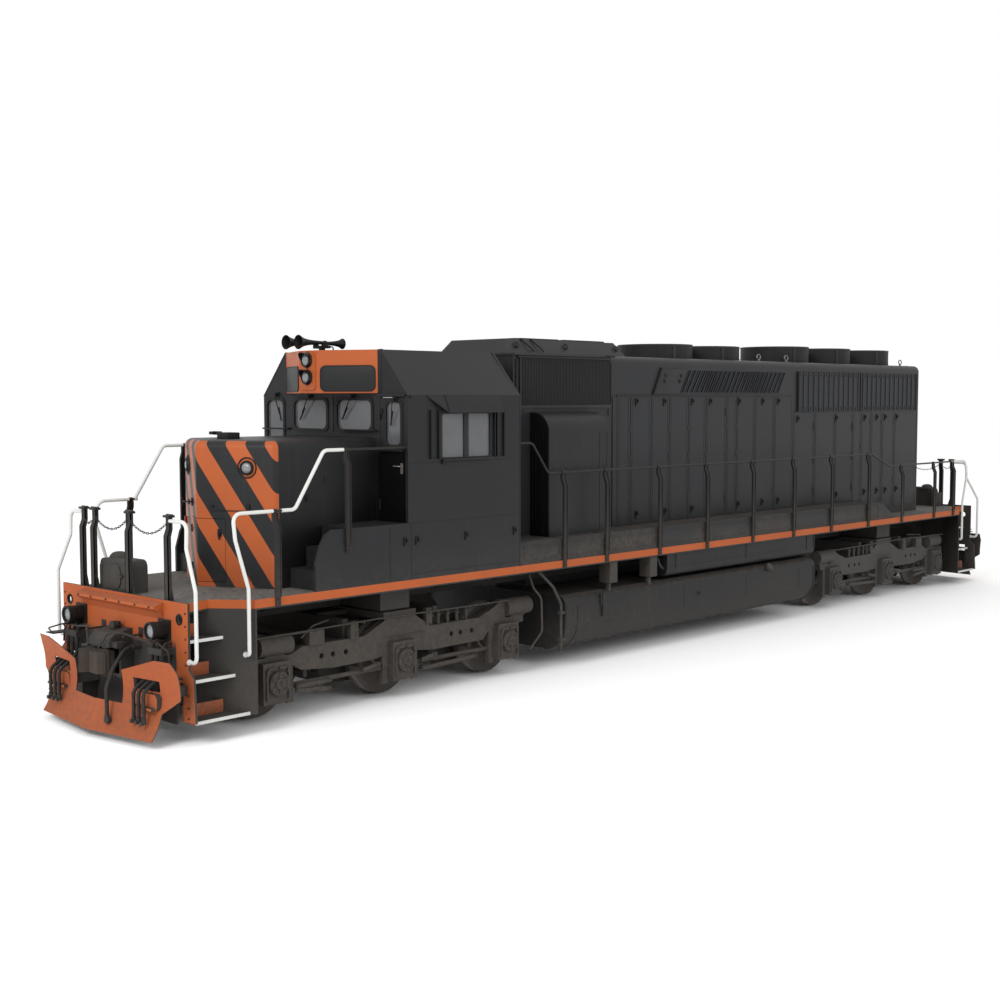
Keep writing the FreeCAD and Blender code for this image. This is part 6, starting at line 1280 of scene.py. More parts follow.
class LOCOMOTIVE_OT_hood_doors(bpy.types.Operator):
    """Latches, hinges and seam strips of the hood doors, and the panel ahead of the brake grid."""
    bl_idname = "locomotive.hood_doors"
    bl_label = "Hood doors"

    def execute(self, context):
        shape = bmesh.new()
        for x in HIGH_LATCHES:
            add_latch(shape, x, DOOR_FACE, 3.975)
        for x in LOW_LATCHES:
            add_latch(shape, x, DOOR_FACE, 3.643)
        for x in FOOT_LATCHES:
            add_latch(shape, x, DOOR_FACE, 2.155)
        put("hood_door_latches", shape, "latch", moves=BOTH_SIDES)

        shape = bmesh.new()
        for x, heights in HINGES:
            for z in heights:
                add_disc_rod(shape, (x, DOOR_FACE + 0.008, z - 0.07), (x, DOOR_FACE + 0.008, z + 0.07), 0.011,
                             10, 0.002)
                add_box(shape, (x - 0.028, DOOR_FACE - SUNK, z - 0.055),
                        (x + 0.028, DOOR_FACE + 0.004, z + 0.055), 0.002)
        for x in DOOR_SEAMS_HIGH[:-1] + DOOR_SEAMS_LOW:
            for z in (2.35, 3.05, 3.52):
                add_box(shape, (x - 0.006, DOOR_FACE - SUNK, z - 0.04),
                        (x + 0.020, DOOR_FACE + 0.007, z + 0.04), 0.002)
        put("hood_door_hinges", shape, "body", moves=BOTH_SIDES)

        shape = bmesh.new()
        for row in (((-3.54, HOOD_SIDE - SUNK, 4.060), (HOOD_FRONT - 0.14, DOOR_FACE + 0.006, 4.072), 0.002),
                    ((HOOD_FRONT - 0.16, HOOD_SIDE - 0.002, DECK + 0.06),
                     (HOOD_FRONT - 0.15, DOOR_FACE + 0.004, 4.06)),
                    ((-8.40, HOOD_SIDE - SUNK, 3.752), (-3.56, DOOR_FACE + 0.006, 3.762), 0.002)):
            add_box(shape, *row)
        for near, far in zip((HOOD_FRONT - 0.16,) + DOOR_SEAMS_HIGH, DOOR_SEAMS_HIGH):
            add_frame(shape, (far + 0.045, 2.02), (near - 0.045, 4.02), 1, DOOR_FACE - 0.003, 0.010, 0.006,
                      0.02, 0.012, 2)
        for near, far in zip(DOOR_SEAMS_HIGH[-1:] + DOOR_SEAMS_LOW, DOOR_SEAMS_LOW + (HOOD_REAR + 0.03,)):
            add_frame(shape, (far + 0.045, 1.78), (near - 0.045, 3.71), 1, DOOR_FACE - 0.003, 0.010, 0.006,
                      0.02, 0.012, 2)
        put("hood_door_edges", shape, "body", moves=BOTH_SIDES)

        corners = [(0.71, 4.082), (0.495, 4.504), (-0.174, 4.502), (0.03, 4.092)]
        shape = bmesh.new()
        add_prism(shape, corners, 1, HOOD_SIDE - SUNK, HOOD_SIDE + 0.022, 0.003)
        put("brake_grid_cover", shape, "body", moves=BOTH_SIDES)
        shape = bmesh.new()
        edge = [(0.745, 4.075), (0.515, 4.520), (0.480, 4.520), (0.700, 4.075)]
        add_prism(shape, edge, 1, HOOD_SIDE - SUNK, HOOD_SIDE + 0.03)
        for x, z in ((0.398, 4.39), (0.425, 4.30), (-0.036, 4.39), (0.005, 4.30)):
            add_box(shape, (x - 0.028, HOOD_SIDE + 0.018, z - 0.030),
                    (x + 0.028, HOOD_SIDE + 0.034, z + 0.030), 0.005)
        put("brake_grid_cover_latches", shape, "latch", moves=BOTH_SIDES)
        return {"FINISHED"}


class LOCOMOTIVE_OT_grilles(bpy.types.Operator):
    """A black sheet behind the brake grid's slats as painted shade of its depth, shutter dividers and their
    bolts.
    """
    bl_idname = "locomotive.grilles"
    bl_label = "Grilles and shutters"

    def execute(self, context):
        grille_low, grille_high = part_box("brake_grilles")
        lean = -0.26
        # A near-black sheet behind the slats: painted shade inside the grid.
        shape = bmesh.new()
        low, high = grille_low.z + 0.004, grille_high.z - 0.004
        front, rear = grille_high.x, grille_low.x - lean
        outline = [(front - 0.02, low), (front + lean - 0.02, high), (rear + lean + 0.02, high),
                   (rear + 0.02, low)]
        add_prism(shape, outline, 1, HOOD_SIDE - 0.050, HOOD_SIDE - 0.044)
        put("brake_grid_depth", shape, "black", moves=BOTH_SIDES)
        shape = bmesh.new()
        slats = 44
        for i in range(slats):
            x = front - 0.05 - (front - rear - 0.10) * i / (slats - 1)
            leaning = [(x - 0.009, low + 0.01), (x + 0.009, low + 0.01), (x + 0.009 + lean, high - 0.01),
                       (x - 0.009 + lean, high - 0.01)]
            add_prism(shape, leaning, 1, HOOD_SIDE - 0.030, HOOD_SIDE + 0.006)
        put("brake_grid_slats", shape, "grille", moves=BOTH_SIDES)

        low_box, high_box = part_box("radiator_grilles")
        shape = bmesh.new()
        face = high_box.y
        span = high_box.x - low_box.x
        for i in range(25):
            x = high_box.x - span * (i + 0.5) / 25
            for z in (low_box.z + 0.045, high_box.z - 0.045):
                add_turned(shape, (x, face - 0.020, z), (0, 1, 0),
                           [(0, 0), (0, 0.030), (0.016, 0.026), (0.024, 0.014),
                                                                    (0.026, 0)], 12)
        put("shutter_bolts", shape, "grille", moves=BOTH_SIDES)
        shape = bmesh.new()
        for x, wide in ((high_box.x - 0.02, 0.028), (-6.0, 0.022), (low_box.x + 0.01, 0.026)):
            add_box(shape, (x - wide, HOOD_SIDE - 0.002, low_box.z - 0.012),
                    (x + wide, face + 0.004, high_box.z + 0.012), 0.004)
        for z in (low_box.z - 0.006, high_box.z + 0.002):
            add_box(shape, (low_box.x, HOOD_SIDE - 0.002, z - 0.006),
                    (high_box.x, HOOD_SIDE + 0.016, z + 0.006), 0.002)
        put("shutter_dividers", shape, "latch", moves=BOTH_SIDES)
        return {"FINISHED"}


FAN_PLACES = (("brake_fan_1", 0.255), ("brake_fan_2", 0.255), ("radiator_fan_1", 0.310),
              ("radiator_fan_2", 0.310), ("radiator_fan_3", 0.310))


class LOCOMOTIVE_OT_roof(bpy.types.Operator):
    """Guards over the fans, lifting eyes and the clear vent at the rear of the roof."""
    bl_idname = "locomotive.roof"
    bl_label = "Roof fittings"

    def execute(self, context):
        shape = bmesh.new()
        bands = bmesh.new()
        for name, tall in FAN_PLACES:
            low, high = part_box(name)
            middle = (low + high) / 2
            top = HOOD_TOP + tall - 0.006
            for radius in (0.20, 0.30, 0.40, 0.50, 0.60):
                add_ring(shape, (middle.x, middle.y, top - 0.012), (0, 0, 1), radius, 0.0065, 40, 5)
            for k in range(12):
                angle = math.pi * k / 6
                out = Vector((math.cos(angle), math.sin(angle), 0))
                centre = Vector((middle.x, middle.y, top - 0.010))
                add_tube(shape, [centre + out * 0.11, centre + out * 0.635], 0.008, 0.01, 6)
            add_turned(shape, (middle.x, middle.y, top - 0.025), (0, 0, 1),
                       [(0, 0), (0, 0.12), (0.018, 0.12), (0.024, 0.1),
                                                                             (0.024, 0)], 24)
            for k in range(16):
                angle = math.pi * (k + 0.5) / 8
                out = Vector((math.cos(angle), math.sin(angle), 0))
                foot = Vector((middle.x, middle.y, HOOD_TOP + 0.03)) + out * 0.648
                add_turned(bands, foot, out, [(0, 0), (0, 0.014), (0.010, 0.012), (0.010, 0)], 6)
            add_turned(bands, (middle.x, middle.y, top - 0.022), (0, 0, 1),
                       [(0, 0.640), (0, 0.656), (0.020, 0.656), (0.026, 0.650), (0.026, 0.640), (0, 0.640)],
                       64)
            add_turned(bands, (middle.x, middle.y, HOOD_TOP - 0.004), (0, 0, 1),
                       [(0, 0.645), (0, 0.672), (0.008, 0.672), (0.012, 0.668), (0.012, 0.645), (0, 0.645)],
                       64)
            for k in (3, 13):
                angle = math.pi * k / 8
                out, side = Vector((math.cos(angle), math.sin(angle), 0)), Vector((-math.sin(angle),
                                                                                   math.cos(angle), 0))
                spot = Vector((middle.x, middle.y, HOOD_TOP)) + out * 0.652
                add_housing_strap(bands, spot, side, out, tall - 0.03)
        put("fan_guards", shape, "grille")
        put("fan_housing_beads", bands, "grille")

        shape = bmesh.new()
        for x, y in ((-2.87, 0.60), (-3.80, 0.60), (-8.33, 0.55), (1.35, 0.60)):
            eye_top = HOOD_TOP + 0.085
            add_ring(shape, (x, y, eye_top), (0.2, 1, 0.1), 0.045, 0.011)
            add_box(shape, (x - 0.02, y - 0.014, HOOD_TOP - 0.03), (x + 0.02, y + 0.014, eye_top - 0.04),
                    0.004)
            add_box(shape, (x - 0.05, y - 0.04, HOOD_TOP - 0.02), (x + 0.05, y + 0.04, HOOD_TOP + 0.012),
                    0.004)
        put("lifting_eyes", shape, "steel", moves=BOTH_SIDES)
        shape = bmesh.new()
        add_box(shape, (-8.36, -0.19, HOOD_TOP - 0.004), (-8.20, 0.19, HOOD_TOP + 0.20), 0.006)
        put("rear_vent_hood", shape, "glass")
        shape = bmesh.new()
        for x in (0.66, -1.25, -2.72, -5.12, -6.68, -8.20):
            add_box(shape, (x - 0.006, -0.80, HOOD_TOP - 0.002), (x + 0.006, 0.80, HOOD_TOP + 0.004))
        add_box(shape, (-8.40, -0.012, HOOD_TOP - 0.002), (0.9, 0.012, HOOD_TOP + 0.003))
        put("roof_seams", shape, "body")
        return {"FINISHED"}


def add_housing_strap(shape, foot, side, out, tall):
    """A narrow upright strap against a round housing."""
    corners = [foot - side * 0.025 - out * 0.010, foot + side * 0.025 - out * 0.010,
               foot + side * 0.025 + out * 0.008, foot - side * 0.025 + out * 0.008]
    add_solid(shape, corners, [corner + Vector((0, 0, tall)) for corner in corners])


class LOCOMOTIVE_OT_hood_rear(bpy.types.Operator):
    """Rear of the long hood: twin lamps, sand hatches, blank boards, grab irons and door."""
    bl_idname = "locomotive.hood_rear"
    bl_label = "Rear of the hood"

    def execute(self, context):
        back = HOOD_REAR
        shape = bmesh.new()
        add_prism(shape, rounded_corners((-0.155, 4.06), (0.155, 4.60), 0.05), 0, back - 0.014, back + 0.004,
                  0.003)
        for side in (1, -1):
            near, far = sorted((side * 0.24, side * 0.78))
            add_prism(shape, rounded_corners((near, 4.18), (far, 4.46), 0.05), 0, back - 0.030, back + 0.004,
                      0.004)
        put("rear_panels", shape, "board")
        shape = bmesh.new()
        for z in REAR_LAMPS:
            add_turned(shape, (back - 0.012, 0, z), (-1, 0, 0),
                       [(0, 0.070), (0, 0.104), (0.05, 0.096), (0.056, 0.088),
                                                                 (0.056, 0.074), (0, 0.070)], 32)
        for z in (2.05, 2.35, 2.65, 2.95, 3.25, 3.55):
            add_tube(shape, [(back + 0.005, 0.46, z), (back - 0.06, 0.46, z), (back - 0.06, 0.80, z),
                             (back + 0.005, 0.80, z)], 0.011, 0.02, 8, 4)
        for z in (2.15, 3.15):
            add_box(shape, (back - 0.02, -0.40, z - 0.06), (back + 0.004, -0.36, z + 0.06), 0.004)
        add_box(shape, (back - 0.028, -0.05, 2.65), (back + 0.004, 0.0, 2.78), 0.005)
        put("rear_fittings", shape, "latch")
        shape = bmesh.new()
        for z in REAR_LAMPS:
            add_turned(shape, (back - 0.030, 0, z), (-1, 0, 0),
                       [(0, 0), (0, 0.076), (0.010, 0.074), (0.022, 0.045),
                                                                 (0.026, 0)], 32)
        put("rear_lenses", shape, "lens")
        shape = bmesh.new()
        add_frame(shape, (-0.38, DECK + 0.06), (0.10, 3.45), 0, back - 0.012, 0.03, 0.016, 0.05, 0.03)
        add_frame(shape, (-0.75, 3.60), (0.75, 3.98), 0, back - 0.010, 0.025, 0.014, 0.05, 0.03)
        put("rear_door_frame", shape, "body")
        return {"FINISHED"}


# ---------------------------------------------------------------- handrails

RAIL_HIGH, RAIL_LOW, RAIL_CAB = 2.93, 2.675, 3.38
POST_LINE, CAB_POST_LINE = 1.545, 2.10
CORNER_POST, HOOK_FOOT = 9.30, 0.992
HOOD_POSTS, TAIL_POSTS = (3.63, 2.655, 1.33, 0.04, -1.31, -2.62, -3.92, -5.29), (-6.63, -8.01, -8.88)
LEFT_POSTS = ((8.87, POST_LINE, RAIL_LOW), (7.77, CAB_POST_LINE, RAIL_CAB),
              *((x, POST_LINE, RAIL_HIGH) for x in HOOD_POSTS),
              *((x, POST_LINE, RAIL_LOW) for x in TAIL_POSTS))
RIGHT_POSTS = ((8.98, POST_LINE, RAIL_LOW), (8.12, CAB_POST_LINE, RAIL_CAB),
               *((x, POST_LINE, RAIL_LOW) for x in HOOD_POSTS + TAIL_POSTS))


def add_post(shape, x, side, foot, top, width):
    """A channel post with a two-pronged foot on the sill and a top bent in over the deck."""
    line = (SILL_SIDE + 0.012) * side
    half = width / 2
    inner = line - 0.045 * side
    bend = top - 0.19
    section = [(line + 0.013 * side, foot + 0.10), (line + 0.013 * side, bend),
               (inner + 0.013 * side, bend + 0.10),
               (inner + 0.013 * side, top - 0.02), (inner - 0.010 * side, top - 0.02),
               (inner - 0.010 * side, bend + 0.09), (line - 0.011 * side, bend - 0.01),
               (line - 0.011 * side, foot + 0.10)]
    add_prism(shape, section, 0, x - half + 0.006, x + half - 0.006)
    for edge in (-1, 1):
        rim = x + (half - 0.005) * edge
        flange = [(y + (0.010 * side if i < 4 else 0), z) for i, (y, z) in enumerate(section)]
        add_prism(shape, flange, 0, rim - 0.005, rim + 0.005)
        near = x + half * 0.42 * edge
        add_box(shape, (near - half * 0.40, line - 0.011 * side, foot - 0.01),
                (near + half * 0.40, line + 0.014 * side,
                                                                                foot + 0.115), 0.003)
        for z in (foot + 0.02, foot + 0.075):
            add_bolt(shape, (near, line + 0.013 * side, z), (0, side, 0), 0.010, 0.009)
    add_turned(shape, (x - 0.022, inner, top), (1, 0, 0),
               [(0, 0.019), (0, 0.027), (0.044, 0.027), (0.044, 0.019), (0, 0.019)], 14)


class LOCOMOTIVE_OT_side_rails(bpy.types.Operator):
    """Posts and handrails along both walkways, with white rails at the steps."""
    bl_idname = "locomotive.side_rails"
    bl_label = "Side handrails"

    def execute(self, context):
        rails = context.scene.locomotive_rails
        for name, side, posts in (("left", 1, LEFT_POSTS), ("right", -1, RIGHT_POSTS)):
            line = (SILL_SIDE + 0.012) * side
            inner = line - 0.045 * side
            shape = bmesh.new()
            for x, foot, top in posts:
                add_post(shape, x, side, foot, top, 0.085)
            made = put(f"{name}_posts", shape, "rail")
            white, dark = bmesh.new(), bmesh.new()
            first, second = posts[0][0], posts[1][0]
            rise_foot, rise_top = second + 0.80, second + 0.34
            for end in (1, -1):
                hook = [(CORNER_POST * end, line - 0.075 * side, HOOK_FOOT),
                        (CORNER_POST * end, line, HOOK_FOOT),
                        (CORNER_POST * end, line, 1.78), (9.48 * end, line, 2.37),
                        (9.48 * end, inner, RAIL_LOW),
                        ((first + 0.03) * end if end > 0 else -8.85, inner, RAIL_LOW)]
                add_tube(white, hook, rails.step_grab_radius, 0.11, rails.sides, 6)
                add_turned(white, (CORNER_POST * end, line - 0.075 * side, HOOK_FOOT), (0, -side, 0),
                           [(0, 0), (0, 0.035), (0.012, 0.032), (0.012, 0)], 14)
            add_tube(white,
                     [(first - 0.10, inner, RAIL_LOW), (rise_foot, inner, RAIL_LOW),
                      (rise_top, inner, RAIL_CAB),
                             (second + 0.03, inner, RAIL_CAB)], rails.step_grab_radius, 0.10, rails.sides, 6)
            add_tube(dark, [(first + 0.03, inner, RAIL_LOW), (first - 0.10, inner, RAIL_LOW)], rails.radius,
                     0.1, rails.sides)
            add_tube(dark, [(second + 0.03, inner, RAIL_CAB), (CAB_FRONT - 0.004, inner, RAIL_CAB)],
                     rails.radius, 0.1, rails.sides)
            level = RAIL_HIGH if side > 0 else RAIL_LOW
            rear = [(CAB_REAR + 0.004, inner, RAIL_CAB), (4.30, inner, RAIL_CAB),
                    (3.95 if side > 0 else 3.85, inner, level)]
            rear += [(-5.45, inner, level), (-6.15, inner, RAIL_LOW)] if side > 0 else []
            add_tube(dark, rear + [(-8.85, inner, RAIL_LOW)], rails.radius, 0.12, rails.sides, 6)
            for x in (CAB_FRONT, CAB_REAR):
                out = 1 if x == CAB_FRONT else -1
                add_turned(dark, (x, inner, RAIL_CAB), (out, 0, 0),
                           [(0, 0), (0, 0.036), (0.010, 0.033), (0.010, 0)], 16)
            put(f"{name}_step_rails", white, "safety")
            put(f"{name}_rails", dark, "rail")
            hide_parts(f"{name}_handrails")
        return {"FINISHED"}


STANCHION_LINES = (-0.98, -0.72, 0.08, 0.93)


class LOCOMOTIVE_OT_end_rails(bpy.types.Operator):
    """Stanchions, grab rails and chains of both end platforms, and the boxes on them."""
    bl_idname = "locomotive.end_rails"
    bl_label = "End handrails"

    def execute(self, context):
        rails = context.scene.locomotive_rails
        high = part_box("end_rails")[1].z
        top = high - 0.014
        inner = PLATE_FACE - 0.03
        shape = bmesh.new()
        for number, y in enumerate(STANCHION_LINES):
            lean = -0.04 if number in (0, 3) else 0.0
            half = 0.042
            profile = [(inner, DECK), (inner, top - 0.24), (inner - 0.035, top - 0.15),
                       (inner - 0.035, top - 0.02),
                       (inner - 0.075, top - 0.02), (inner - 0.075, top - 0.16), (inner - 0.050, top - 0.25),
                       (inner - 0.050, DECK)]
            for row in ((profile, 1, y - half, y - half + 0.010),
                        (profile, 1, y + half - 0.010, y + half),
                        ([(inner, DECK), (inner, top - 0.24), (inner - 0.035, top - 0.15),
                          (inner - 0.035, top - 0.02), (inner - 0.047, top - 0.02),
                          (inner - 0.047, top - 0.15), (inner - 0.012, top - 0.245), (inner - 0.012, DECK)],
                         1, y - half, y + half)):
                add_prism(shape, *row)
            add_box(shape, (inner - 0.095, y - 0.062, top - 0.022), (inner - 0.005, y + 0.062, top + 0.006),
                    0.005)
            add_disc_rod(shape, (inner - 0.05, y - 0.085 - lean, top + 0.004),
                         (inner - 0.05, y + 0.085, top + 0.004), 0.016, 12, 0.004)
            foot = [(y - half - 0.004, DECK), (y + half + 0.05, DECK), (y + half + 0.004, DECK + 0.15),
                    (y - half - 0.004, DECK + 0.15)]
            add_prism(shape, foot, 0, inner - 0.052, inner - 0.040)
            add_box(shape, (inner - 0.075, y - half - 0.02, DECK - 0.002),
                    (inner + 0.004, y + half + 0.02, DECK + 0.014), 0.003)
        made = put("end_stanchions", shape, "rail", moves=BOTH_ENDS)
        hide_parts("end_rails")

        shape = bmesh.new()
        line = SILL_SIDE + 0.012
        for y_start, side in ((0.93, 1), (-0.98, -1)):
            start = (abs(y_start) + 0.03) * side
            add_tube(shape, [(inner - 0.045, start, top - 0.06), (inner - 0.045, 1.305 * side, top - 0.06),
                             (inner - 0.035, 1.305 * side, 2.29), (inner + 0.015, line * side, 1.82),
                             (inner + 0.015, line * side, 0.99), (inner + 0.015, 1.40 * side, 0.99)],
                     rails.step_grab_radius, 0.10, rails.sides, 6)
            add_turned(shape, (inner + 0.015, 1.405 * side, 0.99), (0, side, 0),
                       [(0, 0), (0, 0.035), (0.010, 0.032), (0.010, 0)], 14)
        put("end_grab_rails", shape, "safety", moves=BOTH_ENDS)

        shape = bmesh.new()
        for start, end, sag in (((-0.93, 2.50), (-0.77, 2.50), 0.04), ((-0.68, 2.55), (0.04, 2.55), 0.13),
                                ((0.12, 2.55), (0.89, 2.55), 0.13)):
            add_chain(shape, Vector((inner - 0.03, *start)), Vector((inner - 0.03, *end)), sag)
        put("end_chains", shape, "rail", moves=BOTH_ENDS)

        box_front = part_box("end_boxes")[1].x
        shape = bmesh.new()
        add_frame(shape, (-0.64, DECK + 0.03), (-0.02, DECK + 0.34), 0, box_front - 0.004, 0.02, 0.012, 0.04,
                  0.03)
        oval = [(-0.30 + 0.115 * math.cos(a), DECK + 0.19 + 0.16 * math.sin(a))
                for a in (2 * math.pi * k / 24 for k in range(24))]
        add_prism(shape, oval, 0, box_front - 0.004, box_front + 0.014, 0.003)
        dome = Vector((box_front - 0.17, -0.50, DECK + 0.37))
        add_turned(shape, dome, (0, 0, 1),
                   [(0, 0), (0, 0.13), (0.05, 0.12), (0.085, 0.09), (0.10, 0.05), (0.105, 0)], 20)
        add_box(shape, (box_front - 0.32, -0.80, DECK - 0.002), (box_front - 0.06, -0.674, DECK + 0.30), 0.02)
        add_box(shape, (box_front - 0.004, -0.24, DECK + 0.19), (box_front + 0.035, -0.13, DECK + 0.215),
                0.004)
        put("end_box_fittings", shape, "gear", moves=BOTH_ENDS)
        return {"FINISHED"}


def add_chain(shape, start, end, sag, pitch=0.045):
    """Round links that hang between two hooks."""
    count = max(3, round((end - start).length / pitch))
    points = [start.lerp(end, i / count) - Vector((0, 0, 4 * sag * (i / count) * (1 - i / count)))
              for i in range(count + 1)]
    for i, (one, other) in enumerate(zip(points, points[1:])):
        along = (other - one).normalized()
        first, second = across(along)
        out = first if i % 2 else second
        middle, half = (one + other) / 2, (other - one).length * 0.62
        link = [middle + along * (half * math.cos(a)) + out * (0.012 * math.sin(a))
                for a in turns(10)]
        add_loop(shape, link, 0.0045)


def add_loop(shape, points, radius, sides=5):
    """A closed wire along a ring of points."""
    count = len(points)
    normal = (points[1] - points[0]).cross(points[2] - points[1]).normalized()
    rings = []
    for i, here in enumerate(points):
        direction = (points[(i + 1) % count] - points[i - 1]).normalized()
        rings.append(circle(shape, here, direction.cross(normal), normal, radius, sides))
    bmesh.ops.recalc_face_normals(shape, faces=join_rings(shape, rings + rings[:1]))


# ---------------------------------------------------------------- bogies

BOGIE_CENTRE = 6.6295
AXLES = (2.07, -0.047, -2.07)
BOX_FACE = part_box("front_bogie_journal_boxes")[1].y
FRAME_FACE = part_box("front_bogie_frame")[1].y
AXLE_Z = (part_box("front_wheelset_1")[0].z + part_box("front_wheelset_1")[1].z) / 2


def add_strap(shape, start, end, wide, thick):
    """A flat bar in an upright plane along the track."""
    start, end = Vector(start), Vector(end)
    along = (end - start).normalized()
    up = Vector((-along.z, 0, along.x)) * (wide / 2)
    out = Vector((0, thick / 2, 0))
    corners = [start - up, end - up, end + up, start + up]
    add_solid(shape, [corner + out for corner in corners], [corner - out for corner in corners])


class LOCOMOTIVE_OT_bogies(bpy.types.Operator):
    """Journal covers with bolts, springs, brake rigging, sand pipes and the pipe along each bogie."""
    bl_idname = "locomotive.bogies"
    bl_label = "Bogie fittings"

    def journal_covers(self):
        shape = bmesh.new()
        for axle in AXLES:
            spot = Vector((BOGIE_CENTRE + axle, BOX_FACE, AXLE_Z))
            add_turned(shape, spot, (0, 1, 0),
                       [(-0.004, 0.0), (-0.004, 0.148), (0.012, 0.148), (0.016, 0.142), (0.016, 0.118),
                                                (0.006, 0.112), (0.006, 0.070), (0.030, 0.064),
                                                (0.030, 0.036),
                                                (0.022, 0.032), (0.022, 0)], 36)
            for k in range(6):
                angle = math.pi * (k + 0.5) / 3
                out = Vector((math.cos(angle), 0, math.sin(angle)))
                add_bolt(shape, spot + out * 0.130 + Vector((0, 0.014, 0)), (0, 1, 0), 0.015, 0.014)
                start = spot + out * 0.060 + Vector((0, 0.010, 0))
                add_strap(shape, start, spot + out * 0.120 + Vector((0, 0.010, 0)), 0.022, 0.016)
            for k in range(3):
                angle = math.pi * (2 * k + 0.5) / 3
                add_bolt(shape, spot + Vector((math.cos(angle) * 0.019, 0.022, math.sin(angle) * 0.019)),
                         (0, 1, 0), 0.007, 0.008)
            for side in (1, -1):
                for row in (((spot.x + side * 0.150, BOX_FACE - 0.10, AXLE_Z - 0.20),
                             (spot.x + side * 0.178, BOX_FACE - 0.012, AXLE_Z + 0.17), 0.010),
                            ((spot.x + side * 0.02, BOX_FACE - 0.075, AXLE_Z + 0.165),
                             (spot.x + side * 0.14, BOX_FACE - 0.020, AXLE_Z + 0.205), 0.012),
                            ((spot.x + side * 0.135, BOX_FACE - 0.10, AXLE_Z + 0.120),
                             (spot.x + side * 0.170, BOX_FACE - 0.004, AXLE_Z + 0.185), 0.008)):
                    add_box(shape, *row)
            add_box(shape, (spot.x - 0.20, BOX_FACE - 0.13, AXLE_Z - 0.262),
                    (spot.x + 0.20, BOX_FACE - 0.05, AXLE_Z - 0.225), 0.008)
        return shape

    def springs(self):
        shape = bmesh.new()
        for axle in AXLES:
            for side in (1, -1):
                x = BOGIE_CENTRE + axle + side * 0.115
                turns, steps = 4, 10
                path = [(x + 0.058 * math.cos(2 * math.pi * i / steps),
                         FRAME_FACE - 0.055 + 0.05 * math.sin(2 * math.pi * i / steps),
                         AXLE_Z + 0.125 + 0.13 * i / (turns * steps)) for i in range(turns * steps + 1)]
                add_tube(shape, path, 0.012, 0.001, 6, 1)
        return shape

    def rigging(self):
        face = FRAME_FACE
        shape = bmesh.new()
        c = BOGIE_CENTRE
        outer = AXLES[0]
        for row in (((c + outer - 0.80, face - 0.10, 0.91), (c + outer - 0.56, face + 0.035, 1.09), 0.008),
                    ((c + outer - 0.80, face + 0.010, 1.085), (c + outer - 0.10, face + 0.030, 1.10), 0.003),
                    ((c + outer - 1.37, face - 0.05, 0.90), (c + outer - 1.24, face + 0.030, 1.14), 0.008)):
            add_box(shape, *row)
        for z in (0.95, 1.0, 1.05, 1.10):
            add_bolt(shape, (c + outer - 1.33, face + 0.030, z), (0, 1, 0), 0.013, 0.012)
        for dx in (-0.66, -0.80, -0.98, -1.16, -1.34):
            add_disc_rod(shape, (c + dx, face - 0.05, 0.86), (c + dx, face - 0.05, 1.10), 0.026, 12, 0.004)
            add_turned(shape, (c + dx, face - 0.05, 1.03), (0, 0, 1), disc(0.040, 0.03), 10)
        add_box(shape, (c - 0.62, face - 0.06, 0.95), (c - 0.52, face + 0.020, 1.17), 0.008)
        add_box(shape, (c + 0.26, face, 0.846), (c - 0.50, face + 0.008, 0.856), 0.002)
        for x0, x1, z0, z1 in ((1.72, 1.18, 0.430, 0.428), (1.72, 1.20, 0.372, 0.330),
                               (0.34, 0.62, 0.520, 0.48),
                               (-0.42, -1.48, 0.350, 0.385), (-0.42, -0.70, 0.47, 0.52)):
            add_strap(shape, (c + x0, face + 0.015, z0), (c + x1, face + 0.015, z1), 0.050, 0.028)
        for x, z in ((1.70, 0.43), (1.19, 0.43), (1.19, 0.33), (0.36, 0.52), (-0.44, 0.36), (-1.46, 0.385),
                     (-0.68, 0.515)):
            add_disc_rod(shape, (c + x, face - 0.03, z), (c + x, face + 0.045, z), 0.030, 12, 0.005)
            add_bolt(shape, (c + x, face + 0.045, z), (0, 1, 0), 0.014, 0.012)
        for x in (1.50, 0.55, -0.62, -1.55):
            add_box(shape, (c + x - 0.012, face - 0.003, 0.60), (c + x + 0.012, face + 0.006, 0.615), 0.002)
        for dx, z in ((2.36, 0.80), (2.43, 0.74)):
            add_bolt(shape, (c + dx, face, z), (0, 1, 0), 0.014, 0.012)
        return shape

    def piping(self):
        face = FRAME_FACE
        c = BOGIE_CENTRE
        shape = bmesh.new()
        add_tube(shape,
                 [(c + 2.45, face + 0.045, 1.10), (c + 0.4, face + 0.045, 1.128),
                  (c - 1.5, face + 0.045, 1.112),
                         (c - 2.1, face + 0.045, 1.108)], 0.011, 0.4, 8, 4)
        for dx in (1.42, 0.62, -0.57, -1.62):
            add_box(shape, (c + dx - 0.015, face - 0.02, 1.095), (c + dx + 0.015, face + 0.060, 1.112), 0.003)
        for end, way in ((2.50, -1), (-2.50, 1)):
            add_tube(shape,
                     [(c + end + 0.10 * way, 0.96, 1.02), (c + end + 0.02 * way, 0.99, 0.80),
                      (c + end, 1.02, 0.42),
                             (c + end, 0.80, 0.16)], 0.014, 0.10, 8, 4)
        add_tube(shape,
                 [(c + 1.60, face - 0.02, 1.02), (c + 1.45, face + 0.02, 1.16), (c + 1.1, face - 0.10, 1.18)],
                 0.012, 0.08, 8, 4)
        return shape

    def execute(self, context):
        for end, move in (("front", HERE), ("rear", HALF_TURN)):
            for label, build, key, slot in (
                    ("journal_covers", self.journal_covers, "gear", "bogie_casting"),
                    ("springs", self.springs, "gear_dark", "bogie_casting"),
                    ("rigging", self.rigging, "gear", "bogie_casting"),
                    ("pipes", self.piping, "gear", "bogie_casting")):
                shape = build()
                key = "gear_pale" if end == "rear" and key == "gear" else key
                put(f"{end}_bogie_{label}", shape, key, f"{end}_bogie", moves=(move, move @ MIRROR_Y))
        return {"FINISHED"}


# ---------------------------------------------------------------- tank

